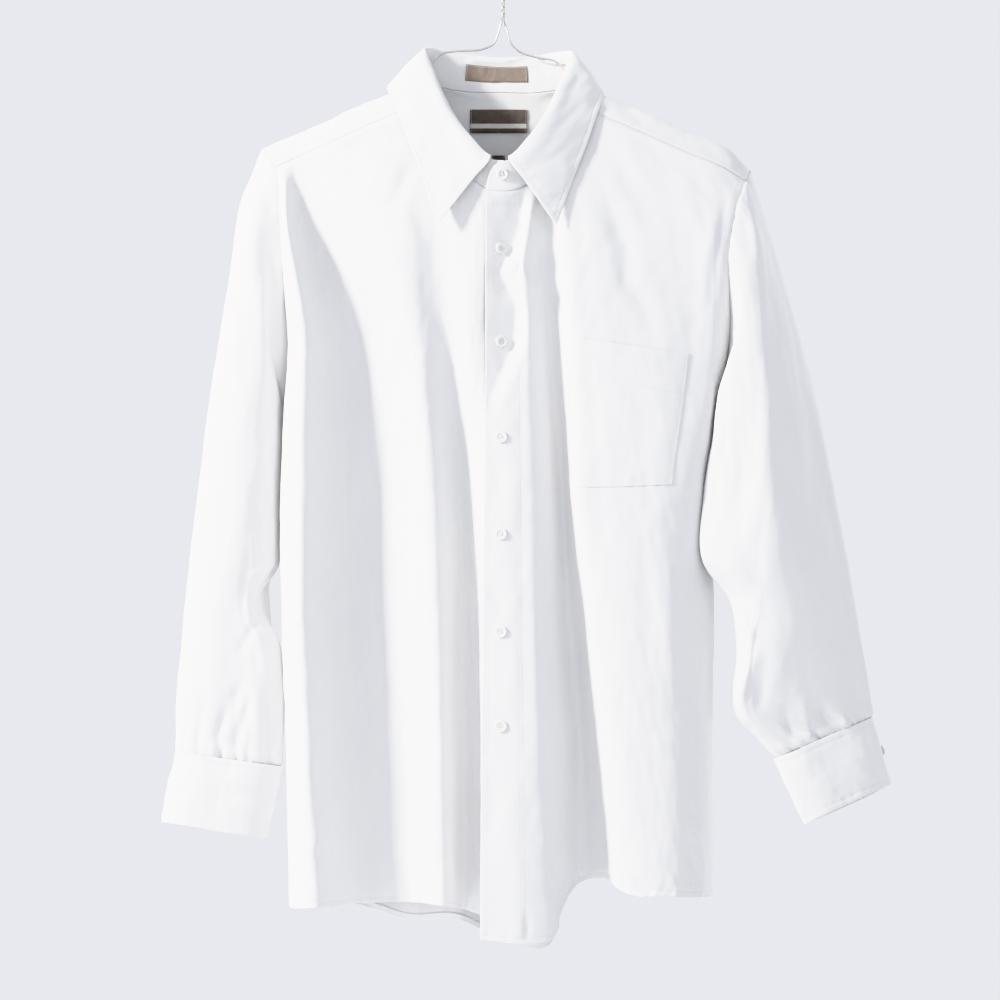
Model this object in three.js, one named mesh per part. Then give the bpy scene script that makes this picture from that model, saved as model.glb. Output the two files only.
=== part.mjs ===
// Long-sleeved dress shirt, buttoned to the neck, hanging on a twisted wire hanger.
// Millimetres, +Z up, the front faces -Y, +X is the wearer's left side.
// The origin is the inside top of the hanger's hook.
import * as THREE from 'three';

// ---- driving sizes (mm) ---------------------------------------------------------------
const CLOTH = 1.2;            // wall of the single-layer panels
const MADE_UP = 1.5;          // wall of collar, cuffs and front band, which are several layers
const SEAM = 0.45;            // how far a panel stops short of a seam that lies flat
const ANGLED = 1.45;          // the same where two pieces meet at an angle
const CLEAR = 0.35;           // space between a panel and what lies on it
const ROLL = 3.2;             // how far the collar leaf rolls over the stand
const ROLL_DROP = 3.6;        // the stand's top edge below the roll line
const LEAF_BULGE = 1.6;       // crown of the collar leaf between roll and outer edge
const CUFF_LAP = 0.9;         // overlap of the cuff's ends, in ribs of its ring
const BUTTON_D = 11.2, BUTTON_T = 2.4, BUTTON_WELL = 7.4;
const CUFF_BUTTON_D = 11.2;
const FRONT_BUTTON_Z = [-316.0, -403.3, -492.5, -582.6, -672.7, -760.0];
const COLLAR_BUTTON_Z = -247.8;
const BAND_WIDTH_COLUMNS = 1; // the front band is as wide as this many columns of the left front
const LABEL_T = 1.0;
const WIRE_D = 2.3;           // hanger wire
const WIRE_SIDES = 8;
const HOOK_INNER_R = 18;
const NECK_TOP_Z = -60, APEX_Z = -98;
const SHOULDER_X = 214;       // the wire turns under here
const BAR_DROP = 15;          // the bar below the shoulders' ends
const UNDER_YOKE = 4.2;       // the wire's centre below the yoke's crest line
// the bare stretch of each shoulder, from the twist down to where it goes under the yoke
const BARE_RIGHT = [{ x: -4.9, y: 0, z: -108 }, { x: -9, y: 0, z: -117 }, { x: -19, y: 0, z: -121.8 }, { x: -41, y: 0, z: -123.7 }, { x: -59, y: -1, z: -126.8 }, { x: -69.6, y: -4, z: -138 }, { x: -74.8, y: -4.5, z: -149.4 }, { x: -78.7, y: -4.5, z: -160.8 }, { x: -88, y: -4, z: -166 }];
const BARE_LEFT = [{ x: 4.9, y: 0, z: -108 }, { x: 7.5, y: 0, z: -116.5 }, { x: 13, y: 0, z: -122.5 }, { x: 34, y: 0, z: -130.4 }, { x: 49, y: -1, z: -133.5 }, { x: 57, y: -3, z: -141 }, { x: 63.5, y: -4.5, z: -151 }, { x: 68, y: -4.5, z: -161.5 }, { x: 77, y: -4.5, z: -168.5 }];
const TWIST_R = 1.35, TWIST_TURNS = 2.5;

// ---- sections and folds (mm): a row for each height or rib, a column for each fold line --
const FRONT_RIGHT = [
  { at: 'yoke_neck', side: [-216, -13, -236.7], edge: [-213.6, -13, -235.7], ridge_a: [-210.2, -14, -234.3], valley_a: [-198.9, -14, -229], rise: [-159.6, -21, -212.4], ridge_b: [-118.1, -21, -193.8], valley_b: [-77.6, -20, -177.2], near: [-53.5, -41, -225.3], lap_in: [-12.3, -50.5, -261.9], lap_edge: [15.7, -50, -262.8] },
  { at: 'upper', side: [-210.9, -18, -297.8], edge: [-208.4, -31, -298.2], ridge_a: [-202, -46, -298.8], valley_a: [-185.8, -25, -296.6], rise: [-151.3, -34, -297.6], ridge_b: [-98.2, -48, -299], valley_b: [-62.8, -44, -298.6], near: [-34.7, -52, -301.3], lap_in: [-14.2, -53, -302.3], lap_edge: [15.6, -53, -302.3] },
  { at: 'chest', side: [-203.9, -10, -404.1], edge: [-201.7, -26, -405], ridge_a: [-186.3, -56, -406.8], valley_a: [-153.9, -22, -404.8], rise: [-115.7, -33, -405.4], ridge_b: [-78.4, -54, -406.7], valley_b: [-51.7, -42, -406], near: [-29.1, -53, -406.6], lap_in: [-14.2, -52.4, -406.6], lap_edge: [15.6, -52.4, -406.6] },
  { at: 'armpit', side: [-202.1, 3, -465.2], edge: [-206.9, -20, -468.9], ridge_a: [-187.8, -60, -470.2], valley_a: [-150.4, -18, -468.8], rise: [-109.2, -31, -469.2], ridge_b: [-71.8, -56, -470.1], valley_b: [-45.2, -37, -469.4], near: [-27.2, -51, -469.9], lap_in: [-14.2, -56.4, -470.1], lap_edge: [15.6, -56.4, -470.1] },
  { at: 'rib', side: [-204.1, 4, -537.7], edge: [-209.9, -18, -538.7], ridge_a: [-188.7, -61, -538.9], valley_a: [-147.7, -16, -538.7], rise: [-104.6, -29, -538.8], ridge_b: [-64.4, -56, -538.9], valley_b: [-39.7, -31, -538.8], near: [-26.4, -46, -538.9], lap_in: [-15.1, -60.4, -538.9], lap_edge: [15.6, -60.4, -538.9] },
  { at: 'waist', side: [-204.1, 4, -646.3], edge: [-209, -18, -646.4], ridge_a: [-188.7, -61, -645.7], valley_a: [-145.8, -15, -647.5], rise: [-100.9, -28, -647], ridge_b: [-60.7, -55, -645.9], valley_b: [-36.9, -25, -647.1], near: [-24.6, -36, -646.7], lap_in: [-16, -65.4, -645.5], lap_edge: [14.6, -65.4, -645.5] },
  { at: 'hip', side: [-201.3, 5, -779.9], edge: [-205.2, -18, -778.7], ridge_a: [-184.1, -60, -776.7], valley_a: [-141.1, -15, -780.9], rise: [-94.3, -26, -779.8], ridge_b: [-58, -53, -777.3], valley_b: [-35.1, -20, -780.4], near: [-23.7, -30, -779.5], lap_in: [-15.9, -70.4, -775.7], lap_edge: [14.6, -70.4, -775.7] },
  { at: 'hem', side: [-197.6, 6, -922.1], edge: [-202.5, -16, -933], ridge_a: [-176.8, -59, -930.1], valley_a: [-133.5, -15, -932.2], rise: [-85.9, -25, -929.7], ridge_b: [-56.1, -51, -929.5], valley_b: [-34.2, -16, -938.7], near: [-22.8, -28, -940.6], lap_in: [-15.9, -73.5, -937.1], lap_edge: [15.5, -74, -942.6] },
];
const FRONT_LEFT = [
  { at: 'yoke_neck', lap_edge: [-16, -57, -263.6], lap_in: [11.9, -54, -262.4], lobe: [32.5, -47, -249.4], turn_c: [40.9, -44, -239.7], deep_c: [46.6, -42, -231.9], under_d: [52.2, -40, -223.3], ridge_d: [59.9, -35, -210.4], flat: [72.5, -20, -179.1], middle: [114, -21, -196.7], pocket_r: [176.4, -20, -223.4], fall: [210.6, -17, -237.7], edge: [223.2, -14, -244.9], side: [230, -12, -248.9] },
  { at: 'upper', lap_edge: [-16.5, -56, -300.7], lap_in: [13.7, -56, -300.7], lobe: [23, -58, -300.9], turn_c: [32.4, -50, -299.2], deep_c: [40, -43, -298.5], under_d: [45.6, -46, -297.8], ridge_d: [51, -54, -298.7], flat: [73.3, -56, -298], middle: [118.2, -50, -299.2], pocket_r: [180.4, -42, -300.2], fall: [199.2, -41, -301.1], edge: [209.7, -38, -300.8], side: [213.8, -35, -299.5] },
  { at: 'chest', lap_edge: [-16.5, -55, -406.7], lap_in: [14.7, -55, -406.7], lobe: [25.9, -55, -406.7], turn_c: [37.2, -42, -405], deep_c: [45.8, -34, -402.7], under_d: [53, -46, -401.5], ridge_d: [57.4, -58, -401.3], flat: [80.5, -62, -403.4], middle: [117.7, -60, -408], pocket_r: [173, -53, -414.1], fall: [195.2, -44.5, -410.8], edge: [206.6, -36.5, -407.5], side: [212.5, -28, -405.1] },
  { at: 'armpit', lap_edge: [-16.9, -59, -470.2], lap_in: [15.6, -59, -470.2], lobe: [27.7, -58, -470.1], turn_c: [40.9, -44, -469.7], deep_c: [50.5, -32, -468.3], under_d: [57.7, -46, -467.9], ridge_d: [62, -60, -468.3], flat: [86, -64, -468.5], middle: [121.3, -64, -471.3], pocket_r: [165.3, -58, -475.7], fall: [191.1, -43, -472.4], edge: [200.3, -27, -470], side: [205.2, 3, -467.2] },
  { at: 'rib', lap_edge: [-17.8, -63, -538], lap_in: [16.5, -63, -538], lobe: [26.7, -62, -538], turn_c: [41.8, -47, -537.9], deep_c: [55.3, -30, -537.8], under_d: [63.3, -46, -538.9], ridge_d: [67.5, -62, -538.9], flat: [91.5, -66, -539], middle: [124.9, -66, -538], pocket_r: [156.6, -62, -536.6], fall: [184, -44, -537], edge: [196.4, -18, -537.8], side: [197.2, 4, -538.6] },
  { at: 'waist', lap_edge: [-18.7, -68, -643.6], lap_in: [17.4, -68, -643.6], lobe: [27.6, -67, -643.6], turn_c: [43.6, -49, -644.3], deep_c: [62, -26, -645.2], under_d: [73.7, -44, -644.5], ridge_d: [81.4, -63, -643.8], flat: [102.5, -68, -643.6], middle: [129.4, -68, -643.6], pocket_r: [154.6, -64, -643.7], fall: [178.1, -48, -644.3], edge: [198.3, -17, -645.5], side: [195.3, 4, -646.3] },
  { at: 'hip', lap_edge: [-20.1, -73, -774.6], lap_in: [19.2, -73, -774.6], lobe: [32.1, -71, -774.8], turn_c: [48.3, -52, -775.6], deep_c: [73.4, -22, -777.4], under_d: [86.8, -42, -775.6], ridge_d: [95.3, -63, -773.6], flat: [115.4, -69, -773.1], middle: [137.7, -69, -773.1], pocket_r: [160.1, -65, -773.5], fall: [181.7, -50, -774.8], edge: [198.3, -17, -777.8], side: [196.3, 5, -779.9] },
  { at: 'hem', lap_edge: [-21.4, -77, -956.8], lap_in: [21, -77, -960.5], lobe: [46, -70, -958], turn_c: [53.8, -54, -934.6], deep_c: [75.4, -20, -910.7], under_d: [98.2, -38, -906.2], ridge_d: [109.4, -60, -914.2], flat: [126.6, -68, -918.5], middle: [145.1, -69, -917.5], pocket_r: [163.8, -65, -919], fall: [184.5, -50, -921.2], edge: [198.3, -17, -922.5], side: [194.5, 6, -913.5] },
];
const BACK = [
  { at: 'yoke_back', side_r: [-225.1, 15, -268.6], turn_r: [-215.9, 19, -268.1], ridge_1: [-190.2, 22, -267.8], valley_1: [-146.9, 21, -267.9], ridge_2: [-100.9, 21, -267.9], valley_2: [-52.9, 20, -268], ridge_3: [-0.1, 20, -268], valley_3: [50.7, 20, -268], ridge_4: [98.7, 21, -267.9], valley_4: [142.9, 21, -267.9], ridge_5: [183.2, 22, -267.8], turn_l: [220.4, 19, -268.1], side_l: [230.6, 15, -268.6] },
  { at: 'blade', side_r: [-213.8, 17, -340.2], turn_r: [-204.6, 22, -339.8], ridge_1: [-180, 27, -339.4], valley_1: [-141, 18, -340.1], ridge_2: [-97.2, 24, -339.6], valley_2: [-50.9, 16, -340.3], ridge_3: [-0.1, 25, -339.5], valley_3: [47.8, 16, -340.3], ridge_4: [93.1, 25, -339.5], valley_4: [135.9, 17, -340.2], ridge_5: [174, 27, -339.4], turn_l: [211.1, 22, -339.8], side_l: [219.3, 17, -340.2] },
  { at: 'chest', side_r: [-206.8, 14, -402.7], turn_r: [-198.8, 22, -402.2], ridge_1: [-176.4, 30, -401.7], valley_1: [-138.9, 14, -402.7], ridge_2: [-95.3, 27, -401.9], valley_2: [-49.9, 12, -402.8], ridge_3: [-0.1, 28, -401.8], valley_3: [45.8, 12, -402.8], ridge_4: [90.3, 28, -401.8], valley_4: [131, 14, -402.7], ridge_5: [170.4, 30, -401.7], turn_l: [206.3, 22, -402.2], side_l: [214.2, 14, -402.7] },
  { at: 'armpit', side_r: [-202.1, 3, -465.2], turn_r: [-200.5, 19, -464.7], ridge_1: [-176.4, 31, -464.3], valley_1: [-137.8, 12, -464.9], ridge_2: [-94.5, 29, -464.4], valley_2: [-48.8, 9, -465], ridge_3: [-0.1, 30, -464.3], valley_3: [44.8, 9, -465], ridge_4: [88.5, 30, -464.3], valley_4: [127, 12, -464.9], ridge_5: [166.6, 31, -464.3], turn_l: [198.4, 20, -464.7], side_l: [205.2, 3, -467.2] },
  { at: 'rib', side_r: [-204.1, 4, -537.7], turn_r: [-201.5, 19, -538.5], ridge_1: [-176.5, 32, -538.5], valley_1: [-136.8, 10, -538.6], ridge_2: [-94.5, 31, -538.5], valley_2: [-48.8, 8, -538.6], ridge_3: [-0.1, 32, -538.5], valley_3: [43.8, 8, -538.6], ridge_4: [86.6, 31, -538.5], valley_4: [124.1, 10, -538.6], ridge_5: [162.8, 32, -538.5], turn_l: [190.8, 20, -538.5], side_l: [197.2, 4, -538.6] },
  { at: 'waist', side_r: [-204.1, 4, -646.3], turn_r: [-201.5, 19, -647.8], ridge_1: [-175.6, 33, -649.3], valley_1: [-134.8, 9, -648.4], ridge_2: [-93.6, 33, -649.3], valley_2: [-47.9, 7, -648.3], ridge_3: [-0.1, 34, -649.4], valley_3: [42.8, 7, -648.3], ridge_4: [85.7, 33, -649.3], valley_4: [123.1, 9, -648.4], ridge_5: [160.9, 33, -649.3], turn_l: [188.8, 19, -647.8], side_l: [195.3, 4, -646.3] },
  { at: 'hip', side_r: [-201.3, 5, -779.9], turn_r: [-198.7, 20, -783.1], ridge_1: [-172.8, 34, -787.3], valley_1: [-131.9, 8, -786.8], ridge_2: [-91.7, 34, -791.2], valley_2: [-46.9, 7, -789.6], ridge_3: [-0.1, 35, -793.2], valley_3: [42.8, 7, -789.6], ridge_4: [85.7, 34, -791.2], valley_4: [124, 8, -786.8], ridge_5: [161.9, 34, -787.3], turn_l: [189.8, 20, -783.1], side_l: [196.3, 5, -779.9] },
  { at: 'hem', side_r: [-197.6, 6, -922.1], turn_r: [-194.9, 20, -928], ridge_1: [-168.9, 34, -936.8], valley_1: [-129, 8, -939.6], ridge_2: [-89.8, 34, -956.1], valley_2: [-45.9, 7, -950.9], ridge_3: [-0.1, 35, -975.6], valley_3: [40.9, 8, -977.7], ridge_4: [68.4, 33, -909.7], valley_4: [124, 8, -921.4], ridge_5: [161.9, 34, -924.3], turn_l: [188.9, 20, -919.4], side_l: [194.5, 6, -913.5] },
];
const YOKE = [
  { at: 'arm_r', back_seam: [-225.1, 15, -268.6], shoulder_blade: [-231.8, 15, -242.7], crest_back: [-232.2, 9, -224.4], crest: [-228.5, 0, -217], seam_front: [-216, -13, -236.7] },
  { at: 'tip_r', back_seam: [-208.3, 20, -268], shoulder_blade: [-212.9, 18, -236.6], crest_back: [-212.2, 10, -212.8], crest: [-208.5, -1, -209], seam_front: [-201.7, -14, -230.2] },
  { at: 'mid_r', back_seam: [-166.1, 21, -267.9], shoulder_blade: [-169.8, 18, -225.1], crest_back: [-169.2, 10, -197.5], crest: [-166.6, -1, -190.5], seam_front: [-163.4, -21, -214.1] },
  { at: 'in_r', back_seam: [-118.2, 21, -267.9], shoulder_blade: [-121.8, 17, -215.7], crest_back: [-123.3, 9, -178.5], crest: [-120.9, -2, -170.2], seam_front: [-116.2, -21, -192.9] },
  { at: 'neck_r', back_seam: [-87.4, 20.5, -268], shoulder_blade: [-89.2, 16, -212], crest_back: [-90.8, 8, -174.9], crest: [-91.4, -4, -161.9], seam_front: [-77.6, -20, -177.2] },
  { at: 'side_r', back_seam: [-62.5, 20, -268], shoulder_blade: [-68.1, 15, -211.1], crest_back: [-77.5, 10, -178.4], crest: [-83.1, 4, -160.2], seam_front: [-79, -3, -151.8] },
  { at: 'nape_r', back_seam: [-33.7, 20, -268], shoulder_blade: [-37.5, 16, -213.9], crest_back: [-43.2, 14, -183.5], crest: [-46, 12.5, -167.5], seam_front: [-47.9, 10.5, -160.1] },
  { at: 'nape', back_seam: [-0.1, 20, -268], shoulder_blade: [-0.1, 17, -215.7], crest_back: [-0.1, 15, -187.2], crest: [-0.1, 14, -171.1], seam_front: [-0.1, 13, -161.7] },
  { at: 'nape_l', back_seam: [33.5, 20, -268], shoulder_blade: [35.3, 16, -213.9], crest_back: [41, 14, -183.5], crest: [43.9, 12.5, -167.5], seam_front: [45.7, 10.5, -161.1] },
  { at: 'side_l', back_seam: [60.3, 20, -268], shoulder_blade: [65, 15, -211.1], crest_back: [72.5, 10, -180.3], crest: [78, 4, -162.1], seam_front: [74, -3, -153.7] },
  { at: 'neck_l', back_seam: [85.3, 20.5, -268], shoulder_blade: [85.1, 16, -213.9], crest_back: [86.7, 8, -176.8], crest: [86.3, -4, -164.3], seam_front: [72.5, -20, -179.1] },
  { at: 'in_l', back_seam: [117.9, 21, -267.9], shoulder_blade: [121.6, 17, -220.4], crest_back: [123.1, 9, -185.2], crest: [121.6, -2, -175.9], seam_front: [119.7, -21, -198.5] },
  { at: 'mid_l', back_seam: [165.9, 21, -267.9], shoulder_blade: [171.4, 18, -230.9], crest_back: [172.8, 10, -205.1], crest: [172, -1, -199], seam_front: [170.7, -20, -221.1] },
  { at: 'tip_l', back_seam: [210, 20, -268], shoulder_blade: [217.5, 18, -242.4], crest_back: [218.7, 10, -226.1], crest: [216.7, -1, -219.5], seam_front: [211.6, -17, -238.1] },
  { at: 'arm_l', back_seam: [230.6, 15, -268.6], shoulder_blade: [238.3, 15, -254.2], crest_back: [238.6, 9, -243.5], crest: [234.9, 0, -237.9], seam_front: [230, -12, -248.9] },
];
const SLEEVE_RIGHT = [
  { at: 'armhole', crest: [-228.5, 0, -217], front_a: [-216, -13, -236.7], front_b: [-210.9, -18, -297.8], front_c: [-203.9, -10, -404.1], under: [-202.1, 3, -465.2], back_c: [-206.8, 14, -402.7], back_b: [-213.8, 17, -340.2], back_a: [-225.1, 15, -268.6], back_top: [-232.2, 9, -224.4] },
  { at: 'cap', crest: [-247.4, -2, -261.9], front_a: [-239, -20, -277.2], front_b: [-226.1, -27, -327], front_c: [-214.9, -15, -409.1], under: [-206.5, 4, -470.9], back_c: [-214.7, 16, -411.2], back_b: [-227.3, 18, -349.7], back_a: [-238.6, 16, -302], back_top: [-245.7, 10, -272] },
  { at: 'upper', crest: [-260.7, -2, -343.7], front_a: [-252, -22, -352.9], front_b: [-234.3, -30, -386.5], front_c: [-219.4, -18, -442.3], under: [-207.9, 4, -484.3], back_c: [-219.4, 15, -450.5], back_b: [-236.8, 17, -407.3], back_a: [-251.9, 15, -369.1], back_top: [-258.9, 8, -350.5] },
  { at: 'bicep', crest: [-275.9, -2, -436.9], front_a: [-265.2, -22, -442.5], front_b: [-238.8, -32, -457.1], front_c: [-223, -20, -484.9], under: [-209.8, 3, -509.1], back_c: [-220.2, 14, -493.6], back_b: [-240.5, 16, -469.6], back_a: [-261.4, 14, -450.5], back_top: [-272.1, 7, -440.3] },
  { at: 'arm', crest: [-289.2, -2, -539.6], front_a: [-276.8, -20, -541.6], front_b: [-239.8, -31, -549.1], front_c: [-224.8, -20, -560.4], under: [-212.6, 3, -570.1], back_c: [-223, 13, -568.2], back_b: [-246.2, 15, -558.7], back_a: [-270.8, 13, -547.2], back_top: [-284.4, 6, -541.5] },
  { at: 'over_elbow', crest: [-296.8, -2, -604.2], front_a: [-283.5, -19, -604.8], front_b: [-241.1, -28, -608.4], front_c: [-226.2, -16, -611.5], under: [-214.5, 3, -613.9], back_c: [-224.9, 13, -615.1], back_b: [-248.9, 14, -613.2], back_a: [-275.5, 12, -608.4], back_top: [-292, 6, -605.4] },
  { at: 'elbow', crest: [-301.6, -2, -648.9], front_a: [-288.4, -17, -649.3], front_b: [-251.8, -24, -650.9], front_c: [-238, -21, -650.1], under: [-231.5, -9, -649.6], back_c: [-222.8, 10, -649.4], back_b: [-253.7, 14, -650.5], back_a: [-280.3, 12, -650.4], back_top: [-296.8, 6, -649.3] },
  { at: 'under_elbow', crest: [-306.3, -2, -693.6], front_a: [-293.3, -16, -693.8], front_b: [-250.1, -22, -696.3], front_c: [-225.9, -19, -692.7], under: [-211.2, -3, -691.7], back_c: [-222.8, 10, -696.2], back_b: [-251.6, 12, -698.3], back_a: [-282.1, 11, -696.3], back_top: [-301.6, 6, -694.1] },
  { at: 'forearm', crest: [-311.1, -2, -745], front_a: [-297.2, -15, -745.9], front_b: [-256, -20, -749.2], front_c: [-225.1, -17, -751.4], under: [-208.3, -3, -752.5], back_c: [-222.7, 9, -753.5], back_b: [-255.3, 11, -751.7], back_a: [-285.8, 10, -748.8], back_top: [-306.2, 5, -745.5] },
  { at: 'wrist', crest: [-311.1, -2, -789.7], front_a: [-298.4, -13, -790.5], front_b: [-262, -17, -794.9], front_c: [-228.2, -14, -799.9], under: [-211.2, -3, -803.8], back_c: [-228.2, 7, -802.9], back_b: [-260.9, 9, -798.4], back_a: [-289.4, 8, -794.4], back_top: [-306.1, 4, -791.2] },
];
const CUFF_RIGHT = [
  { at: 'wrist', crest: [-312, -2, -790.1], front_a: [-298.1, -15, -791.3], front_b: [-261.8, -19, -795.6], front_c: [-228, -16, -800.6], under: [-209.3, -3, -804.3], back_c: [-228.4, 9, -804.1], back_b: [-261.1, 11, -799.5], back_a: [-289.6, 10, -795.6], back_top: [-307.2, 5, -791.3] },
  { at: 'middle', crest: [-319.6, -2, -823.9], front_a: [-304.7, -15.5, -824.3], front_b: [-267.4, -19.5, -829.5], front_c: [-233.7, -16.5, -834.6], under: [-216.9, -3, -838.1], back_c: [-235.1, 9, -838.5], back_b: [-267.8, 11, -833.9], back_a: [-296.4, 10.5, -829.1], back_top: [-313.9, 5, -825.6] },
  { at: 'edge', crest: [-325.3, -2, -857.2], front_a: [-311.5, -14, -857.6], front_b: [-273.3, -17, -863.9], front_c: [-241.4, -14.5, -868.9], under: [-225.4, -3, -872.3], back_c: [-241.7, 8, -872.7], back_b: [-274.3, 10, -868.2], back_a: [-303, 9.5, -863.4], back_top: [-319.6, 5, -859] },
];
const SLEEVE_LEFT = [
  { at: 'armhole', crest: [234.9, 0, -237.9], front_a: [230, -12, -248.9], front_b: [213.8, -35, -299.5], front_c: [212.5, -28, -405.1], under: [205.2, 3, -467.2], back_c: [214.2, 14, -402.7], back_b: [219.3, 17, -340.2], back_a: [230.6, 15, -268.6], back_top: [238.6, 9, -243.5] },
  { at: 'cap', crest: [245.2, -2, -268.6], front_a: [239.6, -20, -278.2], front_b: [228, -43, -324.7], front_c: [219.3, -41, -410.6], under: [212.2, -9, -474.2], back_c: [216.1, 14, -409.4], back_b: [227.9, 17, -351.7], back_a: [238.3, 15, -300.2], back_top: [244.4, 9, -272.1] },
  { at: 'upper', crest: [262.3, -2, -326.6], front_a: [254.6, -21, -334], front_b: [239.6, -49, -370.9], front_c: [210.8, -47, -435.2], under: [205.1, -32, -485.2], back_c: [216.9, 12, -441], back_b: [235.4, 15, -388.2], back_a: [253.4, 13, -346.3], back_top: [261.3, 7, -329.6] },
  { at: 'bicep', crest: [285, -3, -408.4], front_a: [275.3, -22, -413.3], front_b: [243.6, -55, -437.5], front_c: [214.1, -52, -474.6], under: [198.6, -42, -509.8], back_c: [220.2, 6, -484.2], back_b: [244.9, 14, -447.6], back_a: [270.5, 12, -419], back_top: [282.2, 6, -409.8] },
  { at: 'arm', crest: [306.9, -3, -503.5], front_a: [294.1, -22, -505.7], front_b: [244.9, -61, -518.5], front_c: [212.8, -56, -534.3], under: [192.2, -47, -544.5], back_c: [214.2, -8, -541.5], back_b: [250.4, 12, -524.2], back_a: [288.5, 11, -508.9], back_top: [303.1, 5, -504.3] },
  { at: 'over_elbow', crest: [327.6, -4, -608], front_a: [314.1, -21, -607.6], front_b: [245.2, -67, -606.6], front_c: [210.5, -62, -606.7], under: [187, -53, -607.8], back_c: [211.8, -14, -610.6], back_b: [253.1, 10, -610.2], back_a: [304.7, 10, -608.3], back_top: [323.9, 4, -608.2] },
  { at: 'elbow', crest: [335.2, -4, -651.7], front_a: [321.9, -19, -650.2], front_b: [245, -60, -645.7], front_c: [224.1, -55, -647.8], under: [213, -43, -647.3], back_c: [224.7, -8, -649.7], back_b: [262.4, 8, -651.2], back_a: [310.3, 9, -652.2], back_top: [331.4, 3, -652] },
  { at: 'under_elbow', crest: [341.9, -4, -694.5], front_a: [327.7, -18, -692.7], front_b: [236.2, -55, -686], front_c: [225.3, -52, -686.1], under: [218.8, -42, -686.7], back_c: [229, -12, -689.3], back_b: [267.8, 5, -692.1], back_a: [317.6, 7, -695.1], back_top: [338, 2, -694.8] },
  { at: 'forearm', crest: [348.4, -5, -744.7], front_a: [333.5, -17, -745.7], front_b: [243.6, -46, -749], front_c: [224.7, -48, -749.8], under: [216, -41, -749.4], back_c: [228.3, -20, -753], back_b: [272.8, -2, -751.6], back_a: [322.9, 3, -747.3], back_top: [344.4, 0, -745.1] },
  { at: 'wrist', crest: [348.1, -7, -756.9], front_a: [335.2, -18, -760.7], front_b: [299.5, -32, -773.7], front_c: [270.7, -38, -785.3], under: [257, -34, -792.2], back_c: [272.8, -19, -789], back_b: [304.2, -9, -776.7], back_a: [331.6, -3, -764.9], back_top: [344.9, -3, -758.2] },
];
const CUFF_LEFT = [
  { at: 'wrist', crest: [350, -7, -756.9], front_a: [335.9, -20, -761.5], front_b: [299.3, -34, -774.9], front_c: [270.4, -40, -787], under: [255.1, -34, -793.7], back_c: [273, -17, -790.1], back_b: [304.5, -7, -777.8], back_a: [332.8, -1, -765], back_top: [346.9, -2, -758.3] },
  { at: 'middle', crest: [359.4, -8, -788.2], front_a: [346.2, -21, -791.6], front_b: [311.3, -35, -805.3], front_c: [283.4, -41, -816.8], under: [269.1, -35, -824.1], back_c: [286.1, -18, -820.3], back_b: [316.7, -8, -809], back_a: [343.1, -2, -797.3], back_top: [357.2, -3, -789.6] },
  { at: 'edge', crest: [368.7, -9, -820.3], front_a: [356.7, -20, -823.8], front_b: [323.7, -34, -836.4], front_c: [296.7, -40, -847.8], under: [284.1, -35.5, -855], back_c: [299.2, -19, -851.3], back_b: [328.9, -9, -840.2], back_a: [353.4, -3.5, -829.4], back_top: [366.6, -4, -821.8] },
];
const COLLAR = [
  { at: 'under_end', base: [15.7, -50, -262.8], fold: [10.1, -47, -230.7], point: [10.1, -47, -230.7] },
  { at: 'front_r', base: [-12.3, -50.5, -261.9], fold: [-11.4, -48, -229.5], point: [-59.7, -60, -293.3] },
  { at: 'r1', base: [-33.8, -47, -246.6], fold: [-29.2, -40, -212], point: [-65.3, -57, -281.3] },
  { at: 'r2', base: [-53.5, -41, -225.3], fold: [-44.4, -30, -191.8], point: [-73.8, -51, -254.6] },
  { at: 'r3', base: [-67.8, -32, -201.5], fold: [-56.8, -20, -167.7], point: [-86.3, -41, -220.6] },
  { at: 'r4', base: [-77.6, -20, -177.2], fold: [-66.5, -10, -142.5], point: [-100, -25, -184.5] },
  { at: 'side_r', base: [-79, -3, -151.8], fold: [-72.4, -2, -121.2], point: [-109.5, -3, -158.4] },
  { at: 'r5', base: [-66, 6.5, -156], fold: [-59.3, 6, -121.3], point: [-95, 18, -164.7] },
  { at: 'r6', base: [-35.5, 12, -160.9], fold: [-33.6, 12, -125.5], point: [-51.1, 26, -172.2] },
  { at: 'nape', base: [-0.1, 13, -161.7], fold: [-0.1, 14, -128], point: [-0.1, 28, -174.7] },
  { at: 'l6', base: [33.3, 12, -161.8], fold: [31.4, 12, -126], point: [50.8, 26, -173.1] },
  { at: 'l5', base: [61.9, 6.5, -157.4], fold: [52.3, 6, -124.1], point: [85.2, 18, -168.6] },
  { at: 'side_l', base: [74, -3, -153.7], fold: [63.6, -2, -125], point: [95.9, -3, -164.1] },
  { at: 'l4', base: [72.5, -20, -179.1], fold: [59.5, -11, -140.8], point: [89.4, -22, -185] },
  { at: 'l3', base: [62.8, -32, -204.3], fold: [49.7, -28, -165.2], point: [79.6, -34, -214] },
  { at: 'l2', base: [49.4, -41, -228.1], fold: [38.2, -42, -190.8], point: [68, -45, -244.5] },
  { at: 'l1', base: [32.5, -47, -249.4], fold: [23.1, -52, -212.7], point: [56.6, -55, -275.5] },
  { at: 'front_l', base: [10, -54, -262.4], fold: [4.4, -58, -231.7], point: [49, -61, -295.7] },
  { at: 'over_end', base: [-16, -57, -263.6], fold: [-11.4, -58.5, -235], point: [-11.4, -58.5, -235] },
];
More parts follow.
